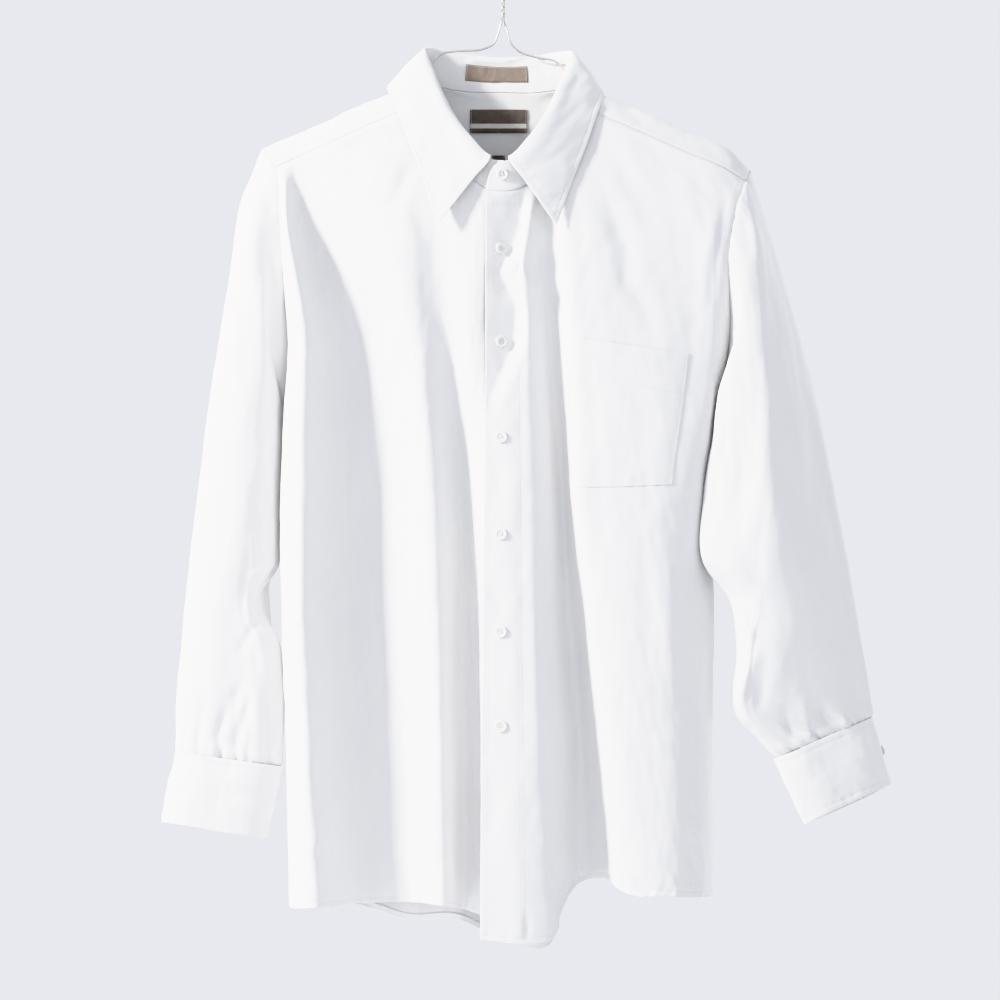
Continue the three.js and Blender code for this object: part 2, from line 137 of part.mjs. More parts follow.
// The neckline follows the collar's base from one end to the other: where each column of a
// front's top row, and each row of the yoke's neck edge, meets it (station numbers of COLLAR).
const NECK_RIGHT_FRONT = { valley_b: 5, near: 3, lap_in: 1, lap_edge: 0 };
const NECK_LEFT_FRONT = { lap_edge: 18, lap_in: 17, lobe: 16.1, turn_c: 15.6, deep_c: 15.2, under_d: 14.85, ridge_d: 14.4, flat: 13 };
const NECK_YOKE = { neck_r: 5, side_r: 6, nape_r: 7.6, nape: 9, nape_l: 10.4, side_l: 12, neck_l: 13 };

// ---- small helpers ----------------------------------------------------------------------
const v3 = (a) => new THREE.Vector3(a[0], a[1], a[2]);
const columnsOf = (table) => Object.keys(table[0]).filter((k) => k !== 'at');
const lerp = (a, b, t) => a + (b - a) * t;

// A smooth curve through points, spaced by their chords; u counts the points.
function through(points, closed = false) {
  const n = points.length;
  const get = (i) => (closed ? points[((i % n) + n) % n] : points[Math.min(n - 1, Math.max(0, i))]);
  const tangent = (i) => {
    if (!closed && i <= 0) return get(1).clone().sub(get(0)).divideScalar(Math.max(1e-6, get(1).distanceTo(get(0))));
    if (!closed && i >= n - 1) return get(n - 1).clone().sub(get(n - 2)).divideScalar(Math.max(1e-6, get(n - 1).distanceTo(get(n - 2))));
    const a = get(i - 1), b = get(i), c = get(i + 1);
    const d0 = Math.max(1e-6, b.distanceTo(a)), d1 = Math.max(1e-6, c.distanceTo(b));
    const v0 = b.clone().sub(a).divideScalar(d0), v1 = c.clone().sub(b).divideScalar(d1);
    return v0.multiplyScalar(d1).add(v1.multiplyScalar(d0)).divideScalar(d0 + d1);
  };
  return (u) => {
    let i = Math.floor(u + 1e-9);
    if (!closed) i = Math.min(n - 2, Math.max(0, i));
    const t = u - i, a = get(i), b = get(i + 1), d = a.distanceTo(b);
    const t2 = t * t, t3 = t2 * t;
    return a.clone().multiplyScalar(2 * t3 - 3 * t2 + 1)
      .add(tangent(i).multiplyScalar((t3 - 2 * t2 + t) * d))
      .add(b.clone().multiplyScalar(-2 * t3 + 3 * t2))
      .add(tangent(i + 1).multiplyScalar((t3 - t2) * d));
  };
}

// Positions along a row of control points, `steps` of them for each interval.
function positions(intervals, steps) {
  const out = [];
  for (let i = 0; i < intervals; i++) {
    const k = Array.isArray(steps) ? steps[i] : steps;
    for (let j = 0; j < k; j++) out.push(i + j / k);
  }
  out.push(intervals);
  return out;
}

// A grid of points on the smooth surface through a table's cells.
function sheetOf(table, { across = 2, down = 2, ring = false } = {}) {
  const names = columnsOf(table);
  const us = positions(ring ? names.length : names.length - 1, across);
  if (ring) us.pop();
  const vs = positions(table.length - 1, down);
  const rows = table.map((row) => {
    const curve = through(names.map((k) => v3(row[k])), ring);
    return us.map(curve);
  });
  const grid = vs.map(() => []);
  us.forEach((u, j) => {
    const curve = through(rows.map((r) => r[j]));
    vs.forEach((v, i) => { grid[i][j] = curve(v); });
  });
  return { grid, us, vs, names };
}

// Outward normals of a grid; `side` is +1 or -1.
function normalsOf(grid, side, ring) {
  const R = grid.length, C = grid[0].length;
  return grid.map((row, i) => row.map((p, j) => {
    const l = ring ? row[(j + C - 1) % C] : row[Math.max(0, j - 1)];
    const r = ring ? row[(j + 1) % C] : row[Math.min(C - 1, j + 1)];
    const a = grid[Math.max(0, i - 1)][j], b = grid[Math.min(R - 1, i + 1)][j];
    return r.clone().sub(l).cross(b.clone().sub(a)).normalize().multiplyScalar(side);
  }));
}

// A closed wall of thickness t about a grid, its middle surface moved out by `out`.
function wall(grid, t, { side = 1, ring = false, out = 0, normals = null } = {}) {
  const R = grid.length, C = grid[0].length, N = normals || normalsOf(grid, side, ring);
  const pos = [], idx = [];
  for (const s of [1, -1]) {
    for (let i = 0; i < R; i++) for (let j = 0; j < C; j++) {
      const p = grid[i][j].clone().addScaledVector(N[i][j], out + s * t / 2);
      pos.push(p.x, p.y, p.z);
    }
  }
  const id = (s, i, j) => s * R * C + i * C + ((j + C) % C);
  const at = (k) => new THREE.Vector3(pos[3 * k], pos[3 * k + 1], pos[3 * k + 2]);
  const quad = (a, b, c, d) => idx.push(a, b, c, a, c, d);
  const W = ring ? C : C - 1;
  for (let i = 0; i < R - 1; i++) for (let j = 0; j < W; j++) {
    // each cell is split along the shorter diagonal of the middle surface
    const short = grid[i][j].distanceTo(grid[i + 1][(j + 1) % C]) <= grid[i + 1][j].distanceTo(grid[i][(j + 1) % C]);
    for (const s of [0, 1]) {
      const q = [id(s, i, j), id(s, i + 1, j), id(s, i + 1, j + 1), id(s, i, j + 1)];
      const tris = short ? [[q[0], q[1], q[2]], [q[0], q[2], q[3]]] : [[q[0], q[1], q[3]], [q[1], q[2], q[3]]];
      for (const f of tris) idx.push(...(s ? [f[0], f[2], f[1]] : f));
    }
  }
  for (let j = 0; j < W; j++) {
    quad(id(0, 0, j), id(0, 0, j + 1), id(1, 0, j + 1), id(1, 0, j));
    quad(id(0, R - 1, j + 1), id(0, R - 1, j), id(1, R - 1, j), id(1, R - 1, j + 1));
  }
  if (!ring) for (let i = 0; i < R - 1; i++) {
    quad(id(0, i + 1, 0), id(0, i, 0), id(1, i, 0), id(1, i + 1, 0));
    quad(id(0, i, C - 1), id(0, i + 1, C - 1), id(1, i + 1, C - 1), id(1, i, C - 1));
  }
  let volume = 0;
  for (let k = 0; k < idx.length; k += 3) volume += at(idx[k]).dot(at(idx[k + 1]).cross(at(idx[k + 2])));
  if (volume < 0) for (let k = 0; k < idx.length; k += 3) [idx[k + 1], idx[k + 2]] = [idx[k + 2], idx[k + 1]];
  const g = new THREE.BufferGeometry();
  g.setAttribute('position', new THREE.Float32BufferAttribute(pos, 3));
  g.setIndex(idx);
  g.computeVertexNormals();
  return g;
}

// Pulls one edge of a grid back along the surface, so that the piece stops at its seam.
function pull(grid, edge, by) {
  const R = grid.length, C = grid[0].length;
  const step = (p, q, d) => p.add(q.clone().sub(p).setLength(Math.min(d, 0.4 * p.distanceTo(q))));
  if (edge === 'first') for (let i = 0; i < R; i++) step(grid[i][0], grid[i][1], by);
  if (edge === 'last') for (let i = 0; i < R; i++) step(grid[i][C - 1], grid[i][C - 2], typeof by === 'function' ? by(i) : by);
  if (edge === 'top') for (let j = 0; j < C; j++) step(grid[0][j], grid[1][j], typeof by === 'function' ? by(j) : by);
  if (edge === 'bottom') for (let j = 0; j < C; j++) step(grid[R - 1][j], grid[R - 2][j], by);
}

// A line of points read by its x, for a seam that runs across the shirt.
function seamByX(cells) {
  const pts = cells.map(v3).sort((a, b) => a.x - b.x);
  return (x) => {
    let i = 0;
    while (i < pts.length - 2 && x > pts[i + 1].x) i++;
    const t = (x - pts[i].x) / (pts[i + 1].x - pts[i].x);
    return new THREE.Vector3(x, lerp(pts[i].y, pts[i + 1].y, t), lerp(pts[i].z, pts[i + 1].z, t));
  };
}

const group = new THREE.Group();
function piece(name, geometry, colour, roughness = 0.9, metalness = 0) {
  const mesh = new THREE.Mesh(geometry, new THREE.MeshStandardMaterial({ color: colour, roughness, metalness }));
  mesh.name = name;
  group.add(mesh);
  return mesh;
}
const WHITE = 0xf4f5f6, PEARL = 0xeceae4, STEEL = 0xa9a8a4, CHARCOAL = 0x4b4442, TAUPE = 0x9c8a80;

// ---- shared seams -------------------------------------------------------------------------
const names9 = columnsOf(SLEEVE_RIGHT);
const ringOf = (row) => through(names9.map((k) => v3(row[k])), true);
const ARMHOLE_R = ringOf(SLEEVE_RIGHT[0]), ARMHOLE_L = ringOf(SLEEVE_LEFT[0]);
const NECK = through(COLLAR.map((r) => v3(r.base)));
const YOKE_FRONT_R = seamByX(YOKE.slice(0, 5).map((r) => r.seam_front));
const YOKE_FRONT_L = seamByX(YOKE.slice(10).map((r) => r.seam_front));
const YOKE_BACK = seamByX(YOKE.map((r) => r.back_seam));
const sideSeam = (table, key) => through(table.slice(3).map((r) => v3(r[key])));
const SIDE_R = sideSeam(BACK, 'side_r'), SIDE_L = sideSeam(BACK, 'side_l');
const mapped = (list, u) => {
  const i = Math.min(list.length - 2, Math.floor(u + 1e-9));
  return lerp(list[i], list[i + 1], u - i);
};

// ---- back: from the yoke seam to the hem, side seam to side seam -----------------------------
const back = sheetOf(BACK, { across: 2, down: 2 });
back.vs.forEach((v, i) => {
  const last = back.us.length - 1;
  back.grid[i][0] = v <= 3 ? ARMHOLE_R(7 - v) : SIDE_R(v - 3);
  back.grid[i][last] = v <= 3 ? ARMHOLE_L(7 - v) : SIDE_L(v - 3);
});
back.us.forEach((u, j) => { back.grid[0][j] = YOKE_BACK(back.grid[0][j].x); });
pull(back.grid, 'top', SEAM);
pull(back.grid, 'first', ANGLED);
pull(back.grid, 'last', ANGLED);
piece('back', wall(back.grid, CLOTH, { side: 1 }), WHITE);

// ---- right front (the wearer's right): goes under the band, and its edge is hidden -----------
const rightFront = sheetOf(FRONT_RIGHT, { across: [1, 1, 2, 2, 2, 2, 2, 2, 1], down: 2 });
const rfNeck = [NECK_RIGHT_FRONT.valley_b, NECK_RIGHT_FRONT.near, NECK_RIGHT_FRONT.lap_in, NECK_RIGHT_FRONT.lap_edge];
rightFront.vs.forEach((v, i) => { rightFront.grid[i][0] = v <= 3 ? ARMHOLE_R(1 + v) : SIDE_R(v - 3); });
rightFront.us.forEach((u, j) => {
  if (u > 0) rightFront.grid[0][j] = u <= 6 ? YOKE_FRONT_R(rightFront.grid[0][j].x) : NECK(mapped(rfNeck, u - 6));
});
pull(rightFront.grid, 'top', (j) => (rightFront.us[j] < 5.9 ? SEAM : ANGLED));
pull(rightFront.grid, 'first', ANGLED);
piece('right_front', wall(rightFront.grid, CLOTH, { side: -1 }), WHITE);

// ---- left front: carries the band, the buttons' holes and the pocket --------------------------
const leftFront = sheetOf(FRONT_LEFT, { across: [1, 1, 1, 1, 1, 1, 2, 2, 2, 1, 1, 1], down: 2 });
const lfNeck = ['lap_edge', 'lap_in', 'lobe', 'turn_c', 'deep_c', 'under_d', 'ridge_d', 'flat'].map((k) => NECK_LEFT_FRONT[k]);
const lfLast = leftFront.us.length - 1;
leftFront.vs.forEach((v, i) => { leftFront.grid[i][lfLast] = v <= 3 ? ARMHOLE_L(1 + v) : SIDE_L(v - 3); });
leftFront.us.forEach((u, j) => {
  if (j < lfLast) leftFront.grid[0][j] = u < 7 ? NECK(mapped(lfNeck, u)) : YOKE_FRONT_L(leftFront.grid[0][j].x);
});
pull(leftFront.grid, 'top', (j) => (leftFront.us[j] > 7.1 ? SEAM : ANGLED));
pull(leftFront.grid, 'last', ANGLED);
const leftNormals = normalsOf(leftFront.grid, -1, false);
piece('left_front', wall(leftFront.grid, CLOTH, { normals: leftNormals }), WHITE);

// ---- front band on the left front's edge, with seven buttons -----------------------------------
const bandColumns = leftFront.us.filter((u) => u <= BAND_WIDTH_COLUMNS).length;
const band = leftFront.grid.map((row) => {
  const a = row[0], b = row[bandColumns - 1];
  return [0, 0.5, 1].map((t) => a.clone().lerp(b, t));
});
band[0].forEach((p, j) => p.add(band[1][j].clone().sub(p).setLength(0.6)));
const bandOut = CLOTH / 2 + CLEAR + MADE_UP / 2;
piece('placket_band', wall(band, MADE_UP, { side: -1, out: bandOut }), WHITE);

function buttonGeometry(d) {
  const r = d / 2, w = BUTTON_WELL / 2, h = BUTTON_T / 2;
  const profile = [[0, -h], [r - 0.7, -h], [r, -h + 0.7], [r, h - 0.8], [r - 0.9, h], [w, h], [w - 0.5, h - 0.7], [0, h - 0.7]];
  return new THREE.LatheGeometry(profile.map(([x, y]) => new THREE.Vector2(x, y)), 12);
}
function button(name, at, normal, d = BUTTON_D) {
  const mesh = piece(name, buttonGeometry(d), PEARL, 0.35);
  mesh.quaternion.setFromUnitVectors(new THREE.Vector3(0, 1, 0), normal);
  mesh.position.copy(at).addScaledVector(normal, BUTTON_T / 2 + CLEAR);
}
// the band's face at a height, on its middle column
const bandNormals = normalsOf(band, -1, false);
function bandFace(z) {
  let i = 0;
  while (i < band.length - 2 && band[i + 1][1].z > z) i++;
  const t = (z - band[i][1].z) / (band[i + 1][1].z - band[i][1].z);
  const n = bandNormals[i][1].clone().lerp(bandNormals[i + 1][1], t).normalize();
  return { at: band[i][1].clone().lerp(band[i + 1][1], t).addScaledVector(n, bandOut + MADE_UP / 2), normal: n };
}
FRONT_BUTTON_Z.forEach((z, i) => {
  const { at, normal } = bandFace(z);
  button(`button_front_${i + 1}`, at.addScaledVector(normal, 0.25), normal);
});

// ---- chest pocket: from the left front's points, ridge_d to pocket_r, chest to rib ---------------
const patch = (cells) => leftFront.vs.map((v, i) => [v, i]).filter(([v]) => v >= 2 && v <= 4)
  .map(([, i]) => leftFront.us.map((u, j) => [u, j]).filter(([u]) => u >= 6 && u <= 9).map(([, j]) => cells[i][j].clone()));
piece('pocket', wall(patch(leftFront.grid), CLOTH, { normals: patch(leftNormals), out: CLOTH + CLEAR + 0.15 }), WHITE);

// ---- yoke: over both shoulders, from the back seam to the front seams and the neck ----------------
const yoke = sheetOf(YOKE, { across: 2, down: [1, 2, 2, 1, 1, 1, 1, 1, 1, 1, 1, 2, 2, 1] });
const yokeNeck = ['neck_r', 'side_r', 'nape_r', 'nape', 'nape_l', 'side_l', 'neck_l'].map((k) => NECK_YOKE[k]);
const yokeArm = [7, 7.5, 8, 9, 10];
const yLast = yoke.us.length - 1;
yoke.vs.forEach((v, i) => {
  const row = yoke.grid[i];
  row[0] = YOKE_BACK(row[0].x);
  if (v <= 4) row[yLast] = YOKE_FRONT_R(row[yLast].x);
  else if (v < 10) row[yLast] = NECK(mapped(yokeNeck, v - 4));
  else row[yLast] = YOKE_FRONT_L(row[yLast].x);
});
yoke.us.forEach((u, j) => {
  yoke.grid[0][j] = ARMHOLE_R(mapped(yokeArm, u));
  yoke.grid[yoke.grid.length - 1][j] = ARMHOLE_L(mapped(yokeArm, u));
});
pull(yoke.grid, 'first', SEAM);
pull(yoke.grid, 'last', (i) => (yoke.vs[i] > 3.9 && yoke.vs[i] < 10.1 ? ANGLED : SEAM));
pull(yoke.grid, 'top', ANGLED);
pull(yoke.grid, 'bottom', ANGLED);
piece('yoke', wall(yoke.grid, CLOTH, { side: 1 }), WHITE);

// ---- sleeves: rings from the armhole to the wrist --------------------------------------------------
function sleeve(name, table, side) {
  const s = sheetOf(table, { across: 2, down: 2, ring: true });
  pull(s.grid, 'top', ANGLED + 0.25);
  pull(s.grid, 'bottom', SEAM);
  piece(name, wall(s.grid, CLOTH, { side, ring: true }), WHITE);
  return s;
}
const sleeveRight = sleeve('sleeve_right', SLEEVE_RIGHT, -1);
const sleeveLeft = sleeve('sleeve_left', SLEEVE_LEFT, 1);

// ---- cuffs: a band wound once round the wrist, its ends lapped at the back -------------------------
function cuff(name, table, side, start) {
  const n = names9.length, steps = 2, rings = positions(table.length - 1, 1);
  const total = n + CUFF_LAP;
  const curves = table.map(ringOf);
  const grid = rings.map((v) => {
    const row = [];
    for (let k = 0; k <= Math.ceil(total * steps); k++) {
      const u = Math.min(total, k / steps);
      row.push(curves[v]((start + u) % n));
    }
    return row;
  });
  const N = normalsOf(grid, side, false);
  const lift = (u) => (MADE_UP + 0.6) * THREE.MathUtils.smoothstep(u, 0.5, n - 0.6);
  const C = grid[0].length;
  grid.forEach((row, i) => row.forEach((p, j) => p.addScaledVector(N[i][j], lift(Math.min(total, j / steps)) - (MADE_UP + 0.6) / 2)));
  pull(grid, 'top', SEAM);
  piece(name, wall(grid, MADE_UP, { side }), WHITE);
  // the button sits on the outer end of the lap, at the cuff's middle height
  const M = normalsOf(grid, side, false), mid = 1, j = C - 2;
  const at = grid[mid][j].clone().addScaledVector(M[mid][j], MADE_UP / 2 + 0.2);
  return { at, normal: M[mid][j] };
}
const cuffR = cuff('cuff_right', CUFF_RIGHT, -1, 7.5);
const cuffL = cuff('cuff_left', CUFF_LEFT, 1, 7.5);
button('button_cuff_right', cuffR.at, cuffR.normal, CUFF_BUTTON_D);
button('button_cuff_left', cuffL.at, cuffL.normal, CUFF_BUTTON_D);

// ---- sleeve plackets: a strip on the back of each sleeve above the cuff ------------------------------
function sleevePlacket(name, s, side) {
  const N = normalsOf(s.grid, side, true), R = s.grid.length;
  const rows = [R - 5, R - 4, R - 3, R - 2].map((i) => {
    const j = 14; // the back_a rib
    return [0, 1].map((k) => s.grid[i][j + k].clone());
  });
  // 24 mm wide, centred between two ribs
  rows.forEach((r) => {
    const mid = r[0].clone().lerp(r[1], 0.5), dir = r[1].clone().sub(r[0]).normalize();
    r[0] = mid.clone().addScaledVector(dir, -Math.min(12, 0.48 * r[0].distanceTo(r[1])));
    r[1] = mid.clone().addScaledVector(dir, Math.min(12, 0.48 * r[1].distanceTo(mid) * 2));
  });
  piece(name, wall(rows, CLOTH, { side, out: CLOTH + CLEAR + 0.9 }), WHITE);
}
sleevePlacket('sleeve_placket_right', sleeveRight, -1);
sleevePlacket('sleeve_placket_left', sleeveLeft, 1);

// ---- collar: a stand round the neck and a leaf that rolls over it -------------------------------------
const stations = positions(COLLAR.length - 1, 2);
const BASE = NECK;
const FOLD = through(COLLAR.map((r) => v3(r.fold)));
const POINT = through(COLLAR.map((r) => v3(r.point)));
const stand = [0, 0.5, 1].map((t) => stations.map((u) => {
  const b = BASE(u), f = FOLD(u), up = f.clone().sub(b).normalize();
  const low = b.clone().addScaledVector(up, ANGLED + 0.3), top = f.clone().addScaledVector(up, -ROLL_DROP);
  return low.lerp(top, t);
}));
piece('collar_stand', wall(stand, MADE_UP, { side: -1 }), WHITE);

const leafStations = stations.filter((u) => u >= 1 && u <= 17);
const leafSection = leafStations.map((u) => {
  const b = BASE(u), f = FOLD(u), p = POINT(u);
  const up = f.clone().sub(b).normalize();
  const along = FOLD(Math.min(18, u + 0.3)).sub(FOLD(Math.max(0, u - 0.3)));
  const outward = f.clone().sub(b).cross(along).normalize();
  const start = f.clone().addScaledVector(up, 1.35 - ROLL_DROP);
  const crest = f.clone().addScaledVector(outward, ROLL * 0.42);
  const turn = f.clone().addScaledVector(outward, ROLL).addScaledVector(up, -2.6);
  const out = (t) => turn.clone().lerp(p, t).addScaledVector(outward, LEAF_BULGE * 4 * t * (1 - t));
  return [start, crest, turn, out(0.3), out(0.65), p];
});
const leaf = leafSection[0].map((_, k) => leafSection.map((s) => s[k]));
piece('collar_leaf', wall(leaf, MADE_UP, { side: 1 }), WHITE);

// collar button on the stand's outer end
{
  const u = 17.4;
  const b = BASE(u), f = FOLD(u);
  const t = (COLLAR_BUTTON_Z - b.z) / (f.z - b.z);
  const at = b.clone().lerp(f, THREE.MathUtils.clamp(t, 0.2, 0.8));
  const along = BASE(u + 0.3).sub(BASE(u - 0.3)).normalize();
  const n = along.cross(f.clone().sub(b)).normalize();
  if (n.y > 0) n.negate();
  button('button_collar', at.addScaledVector(n, MADE_UP / 2 + 0.15), n);
}

// ---- labels inside the neck: plain woven tabs with no lettering ---------------------------------------
// On the stand: from station a to b, between two shares of its height.
{
  const across = [7.95, 8.4, 8.85, 9.3, 9.72];
  const rows = [0.30, 0.74].map((t) => across.map((u) => BASE(u).lerp(FOLD(u), t)));
  piece('label_stand', wall(rows, LABEL_T, { side: 1, out: MADE_UP / 2 + CLEAR + LABEL_T / 2 }), TAUPE);
}
// On the inside of the yoke below the neck seam: plane patches laid on its points.
const yokeInside = (x, z) => {
  // nearest point of the yoke's middle column band at x, z
  let best = null;
  for (let i = 0; i < yoke.grid.length - 1; i++) for (let j = 0; j < yoke.grid[0].length - 1; j++) {
    const a = yoke.grid[i][j], b = yoke.grid[i + 1][j], c = yoke.grid[i + 1][j + 1], d = yoke.grid[i][j + 1];
    for (const [p, q, r] of [[a, b, c], [a, c, d]]) {
      const det = (q.x - p.x) * (r.z - p.z) - (r.x - p.x) * (q.z - p.z);
      if (Math.abs(det) < 1e-6) continue;
      const s = ((x - p.x) * (r.z - p.z) - (r.x - p.x) * (z - p.z)) / det;
      const t = ((q.x - p.x) * (z - p.z) - (x - p.x) * (q.z - p.z)) / det;
      if (s < -1e-6 || t < -1e-6 || s + t > 1 + 1e-6) continue;
      const y = p.y + s * (q.y - p.y) + t * (r.y - p.y);
      if (y > 0 && (best === null || y < best)) best = y;
    }
  }
  return new THREE.Vector3(x, best, z);
};
function yokeLabel(name, x0, x1, z0, z1, colour) {
  const rows = [z0, z1].map((z) => [0, 0.34, 0.67, 1].map((t) => yokeInside(lerp(x0, x1, t), z)));
  piece(name, wall(rows, LABEL_T, { side: -1, out: CLOTH / 2 + CLEAR + 0.35 + LABEL_T / 2 }), colour);
}
yokeLabel('label_main', -31.7, 23.0, -177.5, -199.6, CHARCOAL);
yokeLabel('label_size', -10.5, 3.2, -219.5, -233, CHARCOAL);

// ---- hanger: one wire, hook, neck, two shoulders, bar, and its end wound round the neck ------------------
{
  const pts = [];
  const add = (x, y, z) => pts.push(new THREE.Vector3(x, y, z));
  const R = HOOK_INNER_R + WIRE_D / 2, cz = -HOOK_INNER_R;
  // hook: its open end points to the left side of the view, its top passes the origin
  for (let a = 205; a >= -60; a -= 26.5) add(R * Math.cos(a * Math.PI / 180), 0, cz + R * Math.sin(a * Math.PI / 180));
  add(4.5, 0, -46);
  // neck, wound a little about the other wire
  const helix = (t, phase) => {
    const z = lerp(NECK_TOP_Z, APEX_Z + 4, t), a = phase + t * TWIST_TURNS * 2 * Math.PI;
    return [TWIST_R * Math.cos(a), TWIST_R * Math.sin(a), z];
  };
  const steps = 15;
  for (let i = 0; i <= steps; i++) add(...helix(i / steps, 0));
  const end = APEX_Z - 4;
  // shoulders: bare inside the collar, then just under the yoke's crest line, and the bar
  const crest = seamByX(YOKE.map((r) => r.crest));
  const under = (x) => crest(x).z - UNDER_YOKE;
  const tipL = under(-SHOULDER_X + 6), tipR = under(SHOULDER_X - 6);
  for (const { x, y, z } of BARE_RIGHT) add(x, y, z);
  for (const x of [100, 121, 150, 180]) add(-x, -1.5, under(-x));
  add(-SHOULDER_X + 6, 0, tipL); add(-SHOULDER_X, 0, tipL - 6); add(-SHOULDER_X + 3, 0, tipL - BAR_DROP + 3);
  add(-SHOULDER_X + 12, 0, tipL - BAR_DROP); add(-100, 0, tipL - BAR_DROP - 1);
  add(100, 0, tipR - BAR_DROP - 1); add(SHOULDER_X - 12, 0, tipR - BAR_DROP);
  add(SHOULDER_X - 3, 0, tipR - BAR_DROP + 3); add(SHOULDER_X, 0, tipR - 6); add(SHOULDER_X - 6, 0, tipR);
  for (const x of [180, 150, 121, 96]) add(x, -1.5, under(x));
  for (const { x, y, z } of BARE_LEFT.slice().reverse()) add(x, y, z);
  for (let i = steps; i >= 0; i--) add(...helix(i / steps, Math.PI));
  add(-1.9, 0, NECK_TOP_Z + 2.6);
  const path = new THREE.CatmullRomCurve3(pts, false, 'centripetal');
  const section = new THREE.Shape();
  for (let k = 0; k < WIRE_SIDES; k++) {
    const a = (k / WIRE_SIDES) * 2 * Math.PI, r = WIRE_D / 2;
    if (k === 0) section.moveTo(r * Math.cos(a), r * Math.sin(a)); else section.lineTo(r * Math.cos(a), r * Math.sin(a));
  }
  section.closePath();
  // equal steps in the path's own points, so that bends get more steps than straights
  path.getPointAt = path.getPoint;
  path.getTangentAt = path.getTangent;
  const g = new THREE.ExtrudeGeometry(section, { steps: pts.length - 1, bevelEnabled: false, extrudePath: path, curveSegments: 1 });
  piece('hanger', g, STEEL, 0.35, 0.9);
}

export default group;
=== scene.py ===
import math

import bpy
import numpy as np
from mathutils import Matrix, Vector


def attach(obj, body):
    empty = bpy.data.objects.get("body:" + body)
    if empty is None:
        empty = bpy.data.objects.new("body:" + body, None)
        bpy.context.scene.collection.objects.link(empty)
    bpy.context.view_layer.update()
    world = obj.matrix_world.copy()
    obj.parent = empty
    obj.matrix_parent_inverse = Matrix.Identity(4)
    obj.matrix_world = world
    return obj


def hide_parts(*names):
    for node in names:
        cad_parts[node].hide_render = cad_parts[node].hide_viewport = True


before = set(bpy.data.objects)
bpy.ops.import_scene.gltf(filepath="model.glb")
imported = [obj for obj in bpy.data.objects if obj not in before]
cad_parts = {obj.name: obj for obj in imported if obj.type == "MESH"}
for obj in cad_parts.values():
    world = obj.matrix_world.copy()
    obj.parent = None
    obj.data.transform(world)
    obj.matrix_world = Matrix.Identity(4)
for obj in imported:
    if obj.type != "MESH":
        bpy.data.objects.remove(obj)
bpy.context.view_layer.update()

# ---- sizes (mm) ---------------------------------------------------------------------------
CLOTH = 0.55                 # a single layer as shown
DOUBLE = 1.25                # collar, cuffs, band: cloth, interlining, cloth
MADE_UP = 1.5
ROLL, ROLL_DROP, LEAF_BULGE = 3.2, 3.6, 1.6
CUFF_LAP = 0.9
BUTTON_D, BUTTON_T = 11.2, 2.4
FRONT_BUTTON_Z = [-316.0, -403.3, -492.5, -582.6, -672.7, -760.0]
COLLAR_BUTTON_Z = -247.8
WIRE_D, HOOK_INNER_R = 2.3, 18.0
NECK_TOP_Z, APEX_Z, TWIST_R, TWIST_TURNS = -60.0, -98.0, 1.35, 2.5
SHOULDER_X, BAR_DROP, UNDER_YOKE = 214.0, 15.0, 4.2
BARE_RIGHT = [(-4.9, 0, -108), (-9, 0, -117), (-19, 0, -121.8), (-41, 0, -123.7), (-59, -1, -126.8), (-69.6, -4, -138), (-74.8, -4.5, -149.4), (-78.7, -4.5, -160.8), (-88, -4, -166)]
BARE_LEFT = [(4.9, 0, -108), (7.5, 0, -116.5), (13, 0, -122.5), (34, 0, -130.4), (49, -1, -133.5), (57, -3, -141), (63.5, -4.5, -151), (68, -4.5, -161.5), (77, -4.5, -168.5)]
STITCH, PITCH = 1.75, 2.35   # a stitch's length, and from one to the next

# ---- the view: a level camera 2.5 m in front --------------------------------------------------
CAM_X, CAM_Y, CAM_Z = -3.0, -2500.0, -551.0
MM_PER_PIXEL = 0.925 / 2430.0   # for each mm of distance, in a frame 1000 across


def in_view(G):
    """Where points appear in the 1000 by 1000 frame."""
    s = MM_PER_PIXEL * (G[..., 1] - CAM_Y)
    return 500 + (G[..., 0] - CAM_X) / s, 500 + (CAM_Z - G[..., 2]) / s


